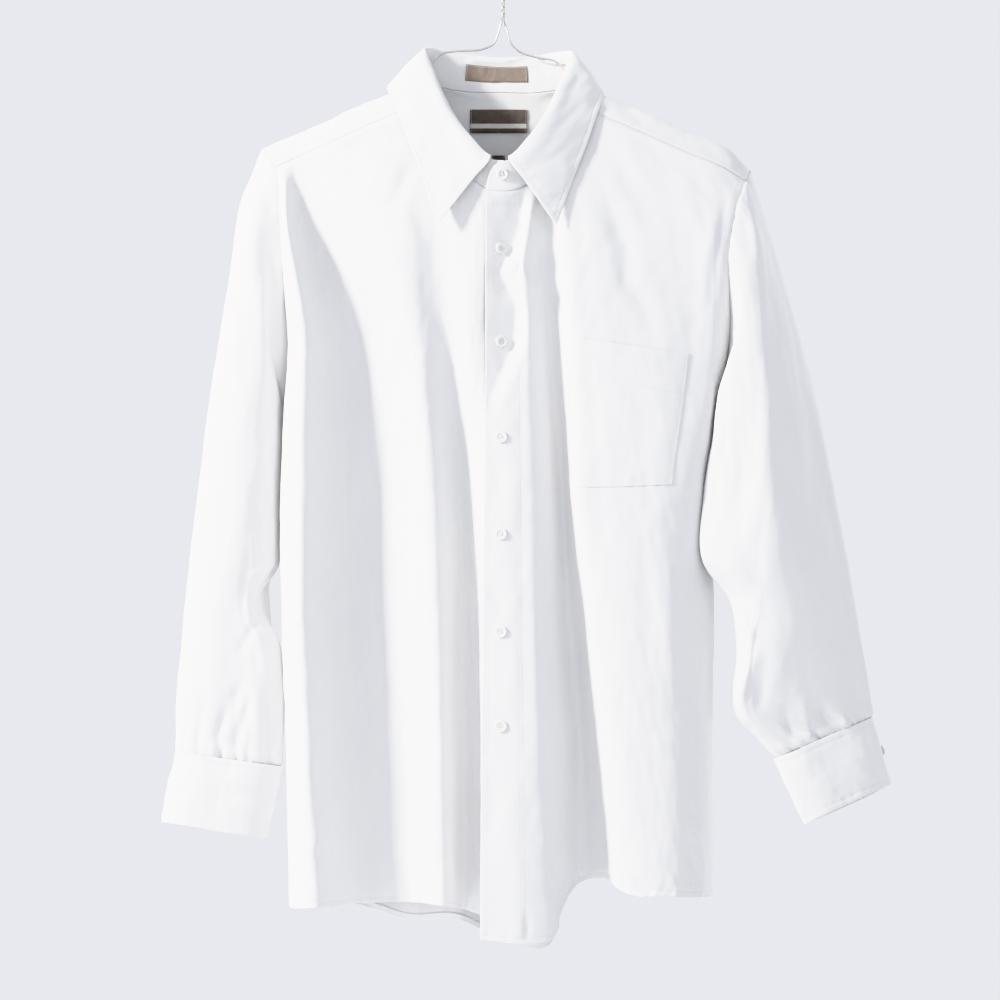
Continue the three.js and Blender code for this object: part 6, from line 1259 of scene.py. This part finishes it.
dl = np.minimum(leaf.run("bottom"), np.minimum(leaf.run("first"), leaf.run("last")) + 8 * smooth01((8 - leaf.run("top")) / 8))
leaf_out = -0.25 * np.exp(-((dl - 6.0) / 0.9) ** 2) + 0.14 * np.exp(-((dl - 2.8) / 2.2) ** 2)
leaf_out = leaf_out - 0.02 * smooth01((4 - leaf.run("top")) / 2) + 0.10 * noise(leaf.run("first"), leaf.run("bottom"), 112, 8, 40) * np.exp(-((dl - 6) / 4) ** 2)
o_leaf = ride(shell("collar_leaf_cloth", leaf.G, lfN, MADE, out=leaf_out, t=DOUBLE, rounded=0.6), "shirting", "collar_leaf")
leaf_top = Sheet(leaf.G + lfN * (leaf_out + DOUBLE / 2)[..., None], lu, lv, 1)

# ---- labels: plain woven tapes, bare of lettering ---------------------------------------------------------------------------
TAUPE = label_material("woven_taupe_tape", (0.27, 0.215, 0.175), (0.6, 0.58, 0.55), None)


def tape(name, rows_fn, node, material, slot, t=0.5):
    G, N, out = rows_fn
    return ride(shell(name, G, N, material, out=out, t=t, rounded=0.2), slot, node)


across = np.linspace(7.95, 9.72, 48)
height = np.linspace(0.30, 0.74, 16)
Glab = np.stack([NECK(across) * (1 - t) + FOLD(across) * t for t in height[::-1]])
lab = Sheet(Glab, across, height, -1)
sN = lab.N
if sN[8, 30, 1] > 0:
    sN = -sN
wav = 0.35 * noise(lab.run("first"), lab.run("top"), 121, 22, 30)
o_l1 = tape("label_stand_tape", (lab.G, sN, DOUBLE / 2 + 0.65 + np.abs(wav) * 0.5), "label_stand", TAUPE, "label_taupe")


def inside_yoke(x, z):
    """The nearest point in front of the yoke's back part, on its inside."""
    G = yk.G
    back = G[..., 1] > 6
    d2 = (G[..., 0] - x) ** 2 + (G[..., 2] - z) ** 2 + np.where(back, 0, 1e6)
    k = np.argsort(d2.ravel())[:6]
    w = 1 / (d2.ravel()[k] + 0.5)
    return (G.reshape(-1, 3)[k, 1] * w).sum() / w.sum()


def yoke_tape(name, x0, x1, z0, z1, node, material, seed, curl=1.2):
    xs, zs = np.linspace(x0, x1, 44), np.linspace(z0, z1, 20)
    G = np.array([[(x, inside_yoke(x, z), z) for x in xs] for z in zs])
    # even out the yoke's own points
    for _ in range(3):
        y = G[..., 1]
        y[1:-1, 1:-1] = (y[1:-1, 1:-1] * 2 + y[:-2, 1:-1] + y[2:, 1:-1] + y[1:-1, :-2] + y[1:-1, 2:]) / 6
    N = np.zeros(G.shape)
    N[..., 1] = -1
    s = Sheet(G, xs, zs, 1)
    side = np.minimum(s.run("first"), s.run("last"))
    out = 1.0 + curl * np.exp(-((s.run("bottom")) / 7) ** 2) * 0.6 + 0.25 * np.abs(noise(s.run("first"), s.run("top"), seed, 20, 20)) * smooth01(side / 4)
    ob = ride(shell(name, G, N, material, out=out, t=0.5, rounded=0.2), "label_charcoal", node)
    return G, N, out, ob


H = 22.1e-3
CHARCOAL = label_material("woven_charcoal_tape", (0.12, 0.098, 0.082), (0.62, 0.61, 0.59), (0.0136, 0.0180))
CHARCOAL_PLAIN = label_material("woven_charcoal_tab", (0.12, 0.098, 0.082), (0.5, 0.5, 0.5), None)
mG, mN, m_out, o_l2 = yoke_tape("label_main_tape", -31.7, 23.0, -177.5, -199.6, "label_main", CHARCOAL, 122)
zG, zN, z_out, o_l3 = yoke_tape("label_size_tape", -10.5, 1.6, -221.0, -233.0, "label_size", CHARCOAL_PLAIN, 123)


# ---- buttons ---------------------------------------------------------------------------------------------------------------------
HB = 0.92   # half a button's thickness


def button_mesh():
    """A four-hole button: domed rim, flat well, holes cut through; its thread is made apart, by button_thread."""
    r, h = BUTTON_D / 2, HB
    prof = [(0, -h), (r * 0.72, -h), (r - 0.55, -h + 0.18), (r - 0.08, -h + 0.5), (r, -h + 0.8), (r - 0.06, h - 0.7), (r - 0.38, h - 0.28), (r - 0.95, h - 0.02),
            (r - 1.35, h - 0.05), (3.45, h - 0.42), (3.05, h - 0.72), (2.7, h - 0.80), (0, h - 0.80)]
    k = 56
    co, faces = [], []
    for x, z in prof:
        if x == 0:
            co.append((0, 0, z))
        else:
            co += [(x * math.cos(2 * math.pi * a / k), x * math.sin(2 * math.pi * a / k), z) for a in range(k)]
    first, ring = 0, 1
    for s in range(len(prof) - 1):
        a_pole, b_pole = prof[s][0] == 0, prof[s + 1][0] == 0
        a0 = 0 if a_pole else 1 + (s - 1) * k
        b0 = 1 + s * k if not a_pole else 1
        for a in range(k):
            n1 = (a + 1) % k
            if a_pole:
                faces.append((0, 1 + a, 1 + n1, -1)[::1])
            elif b_pole:
                faces.append((a0 + a, b0, a0 + n1, -1))
            else:
                faces.append((a0 + a, b0 + a, b0 + n1, a0 + n1))
    ob = mesh_object("button_blank", np.array(co, float), np.array(faces), np.ones(len(faces), bool), None, PEARL)
    me = ob.data
    import bmesh
    bm = bmesh.new()
    bm.from_mesh(me)
    bmesh.ops.recalc_face_normals(bm, faces=bm.faces)
    bm.to_mesh(me)
    bm.free()
    # four holes
    pins_co, pins_f, n = [], [], 0
    for sx in (-1, 1):
        for sy in (-1, 1):
            cx, cy, q, m = sx * 1.12, sy * 1.12, 0.62, 18
            for z in (-3.0, 3.0):
                pins_co += [(cx + q * math.cos(2 * math.pi * a / m), cy + q * math.sin(2 * math.pi * a / m), z) for a in range(m)]
            for a in range(m):
                pins_f.append((n + a, n + (a + 1) % m, n + m + (a + 1) % m, n + m + a))
            pins_f += [(n, n + m - 1 - a, n + m - 2 - a, -1) for a in range(m - 2)]
            pins_f += [(n + m, n + m + a + 1, n + m + a + 2, -1) for a in range(m - 2)]
            n += 2 * m
    pins = mesh_object("pins", np.array(pins_co, float), np.array(pins_f), np.zeros(len(pins_f), bool), None, PEARL)
    mod = ob.modifiers.new("holes", "BOOLEAN")
    mod.operation, mod.object, mod.solver = "DIFFERENCE", pins, "EXACT"
    dg = bpy.context.evaluated_depsgraph_get()
    cut = bpy.data.meshes.new_from_object(ob.evaluated_get(dg))
    for p in cut.polygons:
        p.use_smooth = abs(p.normal.z) < 0.97
    bpy.data.objects.remove(ob)
    bpy.data.objects.remove(pins)
    return cut


BUTTON = button_mesh()


def button_thread():
    """Two pairs of strands over the well, hole to hole."""
    co, faces, n = [], [], 0
    top_z = HB - 0.8
    for sy in (-1, 1):
        for off in (-0.30, -0.08, 0.14, 0.36):
            pts = []
            for t in np.linspace(0, 1, 13):
                x = -1.12 + 2.24 * t
                z = top_z - 1.0 + 1.42 * math.sin(math.pi * t) ** 0.42
                pts.append((x, sy * 1.12 + off * (0.4 + 0.6 * math.sin(math.pi * t)) + 0.10 * math.sin(3 * t + off * 9), z))
            c2, f2 = tube(pts, 0.17, 7, caps=True)
            co.append(c2)
            f3 = f2.copy()
            f3[f3 >= 0] += n
            faces.append(f3)
            n += len(c2)
    return np.concatenate(co), np.concatenate(faces)


bt_co, bt_f = button_thread()


def put_button(name, at, normal, node, turn, upward=(0, 0, 1)):
    """Seats a button on a face, with its thread and shank as pieces of their own."""
    n = np.array(normal, float) / np.linalg.norm(normal)
    upv = np.array(upward, float)
    x = unit(np.cross(upv, n))
    y = np.cross(n, x)
    R = np.stack([x, y, n], 1)
    c, s = math.cos(math.radians(turn)), math.sin(math.radians(turn))
    R = R @ np.array([[c, -s, 0], [s, c, 0], [0, 0, 1]])
    centre = np.array(at) + n * (HB + 0.05)
    me = BUTTON.copy()
    co = np.empty(len(me.vertices) * 3)
    me.vertices.foreach_get("co", co)
    co = co.reshape(-1, 3) @ R.T + centre * 0.001
    me.vertices.foreach_set("co", co.ravel())
    me.update()
    ob = bpy.data.objects.new(name, me)
    bpy.context.scene.collection.objects.link(ob)
    ride(ob, "button", node)
    shank_pts = [np.array((0, 0, -HB - 0.55)), np.array((0, 0, -HB + 0.1))]
    sc, sf = tube([p for p in np.linspace(shank_pts[0], shank_pts[1], 4)], [1.5, 1.25, 1.2, 1.3], 12)
    sf = sf.copy()
    sf[sf >= 0] += len(bt_co)
    allco = np.concatenate([bt_co, sc]) @ R.T + centre
    th = mesh_object(name + "_thread", allco, np.concatenate([bt_f, sf]), np.ones(len(bt_f) + len(sf), bool), None, THREAD)
    ride(th, "shirting")
    return ob, th


band_mid = int(np.argmin(np.abs(bu - 0.5)))
mid_line = band_top[:, band_mid]
mid_N = lf_band_N[:, band_mid]
order = np.argsort(mid_line[:, 2])


def on_band(z):
    p = np.array([np.interp(z, mid_line[order, 2], mid_line[order, k]) for k in range(3)])
    n = unit(np.array([np.interp(z, mid_line[order, 2], mid_N[order, k]) for k in range(3)]))
    return p, n


TURNS = [38, 12, 55, 8, 24, 71]
extras = []
for i, z in enumerate(FRONT_BUTTON_Z):
    p, n = on_band(z)
    extras += put_button(f"button_front_{i + 1}_made", p, n, f"button_front_{i + 1}", TURNS[i])

# collar button on the stand's outer end
bb, ff = NECK([17.4])[0], FOLD([17.4])[0]
t = float(np.clip((COLLAR_BUTTON_Z - bb[2]) / (ff[2] - bb[2]), 0.2, 0.8))
al = NECK([17.7])[0] - NECK([17.1])[0]
n = unit(np.cross(al, ff - bb))
n = -n if n[1] > 0 else n
collar_btn = put_button("button_collar_made", bb + (ff - bb) * t + n * (DOUBLE / 2), n, "button_collar", 20)


def cuff_button(s, N, out, name, node):
    total = 9 + CUFF_LAP
    j = int(np.argmin(np.abs(s.us - (total - 0.42))))
    i = int(np.argmin(np.abs(s.vs - 1.0)))
    return put_button(name, s.G[i, j] + N[i, j] * (out[i, j] + CUFF_T / 2), N[i, j], node, 33)


b_cr = cuff_button(cR, cRN, cR_out, "button_cuff_right_made", "button_cuff_right")
b_cl = cuff_button(cL, cLN, cL_out, "button_cuff_left_made", "button_cuff_left")

# ---- stitching -------------------------------------------------------------------------------------------------------------------
T1, T2, T3, T4 = Thread(), Thread(), Thread(), Thread()
lift = CLOTH / 2 + 0.05

P, M = edge_line(rf, "bottom", 5.0)
T1.line(P, M, lift)
P, M = edge_line(lf, "bottom", 5.0)
keep_band = np.searchsorted(lf.us, 1.0)
T1.line(P[keep_band:], M[keep_band:], lift)
P, M = edge_line(bk, "bottom", 5.0)
T2.line(P, M, lift)
# side seams, flat felled: a line on the front, 5 mm inside the seam, and one on the back
for s, e, T in ((rf, "first", T1), (lf, "last", T1), (bk, "first", T2), (bk, "last", T2)):
    P, M = edge_line(s, e, 5.5)
    k = s.vs >= 3
    T.line(P[k], M[k], lift)
    # and round the armhole, 8 mm inside it
    P, M = edge_line(s, e, 8.0)
    k = (s.vs <= 2.95) & (s.vs > 0.1)
    T.line(P[k], M[k], lift)
# the yoke's edges
for e, keepv, T in (("last", (yk.vs < 3.95) | (yk.vs > 10.05), T1), ("first", np.ones(len(yk.vs), bool), T2)):
    P, M = edge_line(yk, e, 1.8)
    if e == "last":
        for k in (yk.vs < 3.95, yk.vs > 10.05):
            T.line(P[k], M[k], 0.10 + 0.22 + 0.30)
    else:
        T.line(P, M, 0.10 + 0.22 + 0.30)
for e in ("top", "bottom"):
    P, M = edge_line(yk, e, 8.0)
    T1.line(P, M, 0.10 + 0.30 + 0.02)

# band: two lines, 5.5 mm inside its edges
topS = Sheet(band_top, bu, band.vs, -1)
for e in ("first", "last"):
    P, _ = edge_line(topS, e, 5.5)
    k = np.arange(len(P)) > 1
    _, M = edge_line(band, e, 5.5)
    T3.line(P[k], M[k], 0.05)
P, M = edge_line(topS, "bottom", 5.0)
T3.line(P, M, 0.05)
# buttonholes: a slit with close bars of thread round it, upright on the band
for i, z in enumerate(FRONT_BUTTON_Z):
    half = 6.2
    for side in (-1, 1):
        for q in np.arange(-half, half + 0.01, 0.62):
            p, n = on_band(z + q)
            jx = unit(np.cross(n, np.array([0, 0, 1.0])))
            T3.one(p + jx * side * 0.95 + n * 0.06, jx, n, length=1.3, w=0.42, h=0.18)
    for q in (-half - 0.5, half + 0.5):
        for s2 in (-1.1, -0.55, 0, 0.55, 1.1):
            p, n = on_band(z + q)
            jx = unit(np.cross(n, np.array([0, 0, 1.0])))
            T3.one(p + jx * s2 * 0.9 + n * 0.08, np.array([0, 0, 1.0]), n, length=1.0, w=0.36, h=0.18)

# pocket: sides and bottom 1.9 mm in, the hem line across, and small bars at the mouth's corners
pS = Sheet(pk_top, pk.us, pk.vs, -1)
for e in ("first", "last", "bottom"):
    P, M = edge_line(pS, e, 1.9)
    T3.line(P[1:-1], M[1:-1], 0.05)
P, M = edge_line(pS, "top", 37.0)
T3.line(P, M, 0.05)
for e in ("first", "last"):
    P, M = edge_line(pS, e, 5.5)
    run = np.concatenate([[0], np.cumsum(np.linalg.norm(np.diff(P, axis=0), axis=1))])
    k = run < 13
    T3.line(P[k], M[k], 0.05)

# collar leaf: 6 mm inside the outer edge and the front edges
fe, le = leaf_top.G[:, 0], leaf_top.G[:, -1]


def clear_of(*lines, by=6.0):
    Q = np.concatenate(lines)
    return lambda x: np.min(np.linalg.norm(Q - x, axis=1)) >= by


P, M = edge_line(leaf_top, "bottom", 6.0)
T4.line(P, M, 0.05, keep=clear_of(fe[lv > 2.2], le[lv > 2.2], by=5.6))
for e in ("first", "last"):
    P, M = edge_line(leaf_top, e, 6.0)
    k = lv > 2.05
    T4.line(P[k], M[k], 0.05, keep=clear_of(leaf_top.G[-1], by=5.4))
# stand: along its lower edge
P, M = edge_line(stand, "top", 2.2)
T4.line(P, stN[0] * 0 + M, DOUBLE / 2 + 0.05)

# cuffs
for s, N, out in ((cR, cRN, cR_out), (cL, cLN, cL_out)):
    S2 = Sheet(s.G + N * (out + CUFF_T / 2)[..., None], s.us, s.vs, s.side)
    for e in ("bottom", "top"):
        P, M = edge_line(S2, e, 6.0)
        r = np.minimum(np.arange(len(P)), np.arange(len(P))[::-1])
        T4.line(P[6:-6], M[6:-6], 0.05)
    for e in ("first", "last"):
        P, M = edge_line(S2, e, 6.0)
        run = np.concatenate([[0], np.cumsum(np.linalg.norm(np.diff(P, axis=0), axis=1))])
        k = (run > 6) & (run < run[-1] - 6)
        T4.line(P[k], M[k], 0.05)
# sleeve plackets
for S3, N3 in ((pR, pRN), (pL, pLN)):
    for e in ("first", "last"):
        P, M = edge_line(S3, e, 1.8)
        run = np.concatenate([[0], np.cumsum(np.linalg.norm(np.diff(P, axis=0), axis=1))])
        k = run > 7
        T2.line(P[k], np.array(N3)[:, 7][k], CLOTH / 2 + 0.55 + 0.45)
# tapes sewn at both ends
for G_, N_, out_ in ((mG, mN, m_out), (zG, zN, z_out)):
    S4 = Sheet(G_ + N_ * (out_ + 0.25)[..., None], None, None, 1)
    for e in ("first", "last"):
        P, M = edge_line(S4, e, 1.1)
        T4.line(P, N_[:, 0], 0.05, pitch=1.9, length=1.3)
S4 = Sheet(lab.G + sN * (DOUBLE / 2 + 0.65 + np.abs(wav) * 0.5 + 0.25)[..., None], None, None, 1)
for e in ("first", "last", "top"):
    P, M = edge_line(S4, e, 1.1)
    T4.line(P, np.repeat(sN[:1, 30], len(P), 0) if e == "top" else sN[:, 0], 0.05, pitch=1.9, length=1.3)

st1 = T1.made("stitching_fronts", THREAD)
st2 = T2.made("stitching_back_sides", THREAD)
st3 = T3.made("stitching_band_pocket", THREAD)
st4 = T4.made("stitching_collar_cuffs", THREAD)

# ---- hanger ------------------------------------------------------------------------------------------------------------------------
crest_by_x = by_x(cells(YOKE)[:, 3])
under = lambda x: float(crest_by_x(np.array([x]))[0, 2]) - UNDER_YOKE
R0, cz = HOOK_INNER_R + WIRE_D / 2, -HOOK_INNER_R
pts = [(R0 * math.cos(math.radians(a)), 0, cz + R0 * math.sin(math.radians(a))) for a in np.arange(205, -60.1, -6.625)]
pts.append((4.5, 0, -46))


def helix(t, phase):
    a = phase + t * TWIST_TURNS * 2 * math.pi
    return (TWIST_R * math.cos(a), TWIST_R * math.sin(a), NECK_TOP_Z + (APEX_Z + 4 - NECK_TOP_Z) * t)


steps = 60
pts += [helix(i / steps, 0) for i in range(steps + 1)]
tipL, tipR = under(-SHOULDER_X + 6), under(SHOULDER_X - 6)
pts += BARE_RIGHT
pts += [(-x, -1.5, under(-x)) for x in (100, 121, 150, 180)]
pts += [(-SHOULDER_X + 6, 0, tipL), (-SHOULDER_X, 0, tipL - 6), (-SHOULDER_X + 3, 0, tipL - BAR_DROP + 3), (-SHOULDER_X + 12, 0, tipL - BAR_DROP), (-100, 0, tipL - BAR_DROP - 1),
        (100, 0, tipR - BAR_DROP - 1), (SHOULDER_X - 12, 0, tipR - BAR_DROP), (SHOULDER_X - 3, 0, tipR - BAR_DROP + 3), (SHOULDER_X, 0, tipR - 6), (SHOULDER_X - 6, 0, tipR)]
pts += [(x, -1.5, under(x)) for x in (180, 150, 121, 96)]
pts += BARE_LEFT[::-1]
pts += [helix(i / steps, math.pi) for i in range(steps, -1, -1)]
pts.append((-1.9, 0, NECK_TOP_Z + 2.6))
pts = np.array(pts, float)
seg = np.linalg.norm(np.diff(pts, axis=0), axis=1)
uu = []
for i, dseg in enumerate(seg):
    k = max(1, int(math.ceil(dseg / 2.0)))
    uu += [i + j / k for j in range(k)]
uu.append(len(pts) - 1)
path = curve(pts, np.array(uu))
rad = np.full(len(path), WIRE_D / 2 * 0.9)
rad[0] = rad[-1] = WIRE_D / 2 * 0.55
co, faces = tube(path, rad, 14)
o_h = ride(mesh_object("hanger_wire_made", co, faces, np.ones(len(faces), bool), None, WIRE), "hanger_wire", "hanger")

# ---- each cloth piece passed to cut(), which does nothing with it ---------------------------------------------------------------------
on = ["hanger_wire_made"]


def cut(piece, G, ring=False, on=on, **more):
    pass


cut(o_rf, rf.G)
cut(o_lf, lf.G, with_pieces=[st1])
cut(o_bk, bk.G, with_pieces=[st2])
cut(o_yk, yk.G)
cut(o_sr, sr.G, ring=True)
cut(o_sl, sl.G, ring=True)
cut(o_band, band.G, with_pieces=[st3])
cut(o_pk, pk.G)
cut(o_cr, cR.G)
cut(o_cl, cL.G)
cut(o_spr, pR.G)
cut(o_spl, pL.G)
cut(o_stand, stand.G)
cut(o_leaf, leaf.G, with_pieces=[st4])
cut(o_l1, lab.G)
cut(o_l2, mG)
cut(o_l3, zG)


# ---- floor, light, camera ---------------------------------------------------------------------------------------------------------------
m, nt, bsdf = nodes_of("pale_floor")
nz = new(nt, "ShaderNodeTexNoise", Scale=3.0, Detail=6.0)
tc = nt.nodes.new("ShaderNodeTexCoord")
nt.links.new(tc.outputs["Object"], nz.inputs["Vector"])
mx = nt.nodes.new("ShaderNodeMix")
mx.data_type = "RGBA"
mx.inputs[6].default_value = (0.74, 0.75, 0.77, 1)
mx.inputs[7].default_value = (0.78, 0.79, 0.81, 1)
nt.links.new(nz.outputs["Fac"], mx.inputs[0])
nt.links.new(mx.outputs[2], bsdf.inputs["Base Color"])
bsdf.inputs["Roughness"].default_value = 0.85
k = 96
co = [(0, 0, -1750)] + [(3000 * math.cos(2 * math.pi * a / k), 3000 * math.sin(2 * math.pi * a / k), -1750) for a in range(k)]
faces = np.array([(0, 1 + a, 1 + (a + 1) % k, -1) for a in range(k)])
floor = mesh_object("floor", np.array(co, float), faces, np.zeros(k, bool), None, m)

world = bpy.data.worlds.new("studio")
bpy.context.scene.world = world
world.use_nodes = True
bg = world.node_tree.nodes["Background"]
bg.inputs["Color"].default_value = (0.800, 0.815, 0.858, 1)
bg.inputs["Strength"].default_value = 1.15

TARGET = Vector((0.0, 0.0, -0.50))


def area(name, direction, distance, size, power, colour):
    d = bpy.data.lights.new(name, "AREA")
    d.shape, d.size, d.energy, d.color = "SQUARE", size, power, colour
    ob = bpy.data.objects.new(name, d)
    ob.location = TARGET + Vector(direction).normalized() * distance
    ob.rotation_euler = (TARGET - ob.location).to_track_quat("-Z", "Y").to_euler()
    bpy.context.scene.collection.objects.link(ob)
    return ob


def toward(off_axis, up_deg):
    """A direction off_axis degrees left of the front, up_deg above level."""
    a, e = math.radians(off_axis), math.radians(up_deg)
    return (-math.sin(a) * math.cos(e), -math.cos(a) * math.cos(e), math.sin(e))


key = area("key", toward(66, 24), 3.2, 0.40, 168.0, (1.0, 0.968, 0.925))
fill = area("fill", (0.10, -0.78, 0.62), 1.7, 1.4, 1.0, (1.0, 0.985, 0.965))
# light thrown back up under the front's hem
low = bpy.data.lights.new("under_hem", "AREA")
low.shape, low.size, low.size_y, low.energy, low.color = "RECTANGLE", 0.13, 0.03, 0.035, (0.98, 0.98, 1.0)
low_ob = bpy.data.objects.new("under_hem", low)
low_ob.location = (-0.078, -0.018, -1.0)
low_ob.rotation_euler = (Vector((-0.078, 0.020, -0.936)) - low_ob.location).to_track_quat("-Z", "Y").to_euler()
low_ob.visible_camera = False
bpy.context.scene.collection.objects.link(low_ob)
back_light = area("back", (0.80, 0.72, 0.36), 3.0, 0.6, 26.0, (1.0, 0.99, 0.97))

cam = bpy.data.cameras.new("camera")
cam.sensor_width = 36.0
cam.lens = 36.0 * 2430.0 / 925.0
cam.clip_end = 50
cam_ob = bpy.data.objects.new("camera", cam)
cam_ob.location = (CAM_X * 0.001, CAM_Y * 0.001, CAM_Z * 0.001)
cam_ob.rotation_euler = (math.radians(90), 0, 0)
bpy.context.scene.collection.objects.link(cam_ob)
bpy.context.scene.camera = cam_ob
bpy.context.scene.view_settings.view_transform = "Khronos PBR Neutral"
bpy.context.scene.view_settings.look = "None"
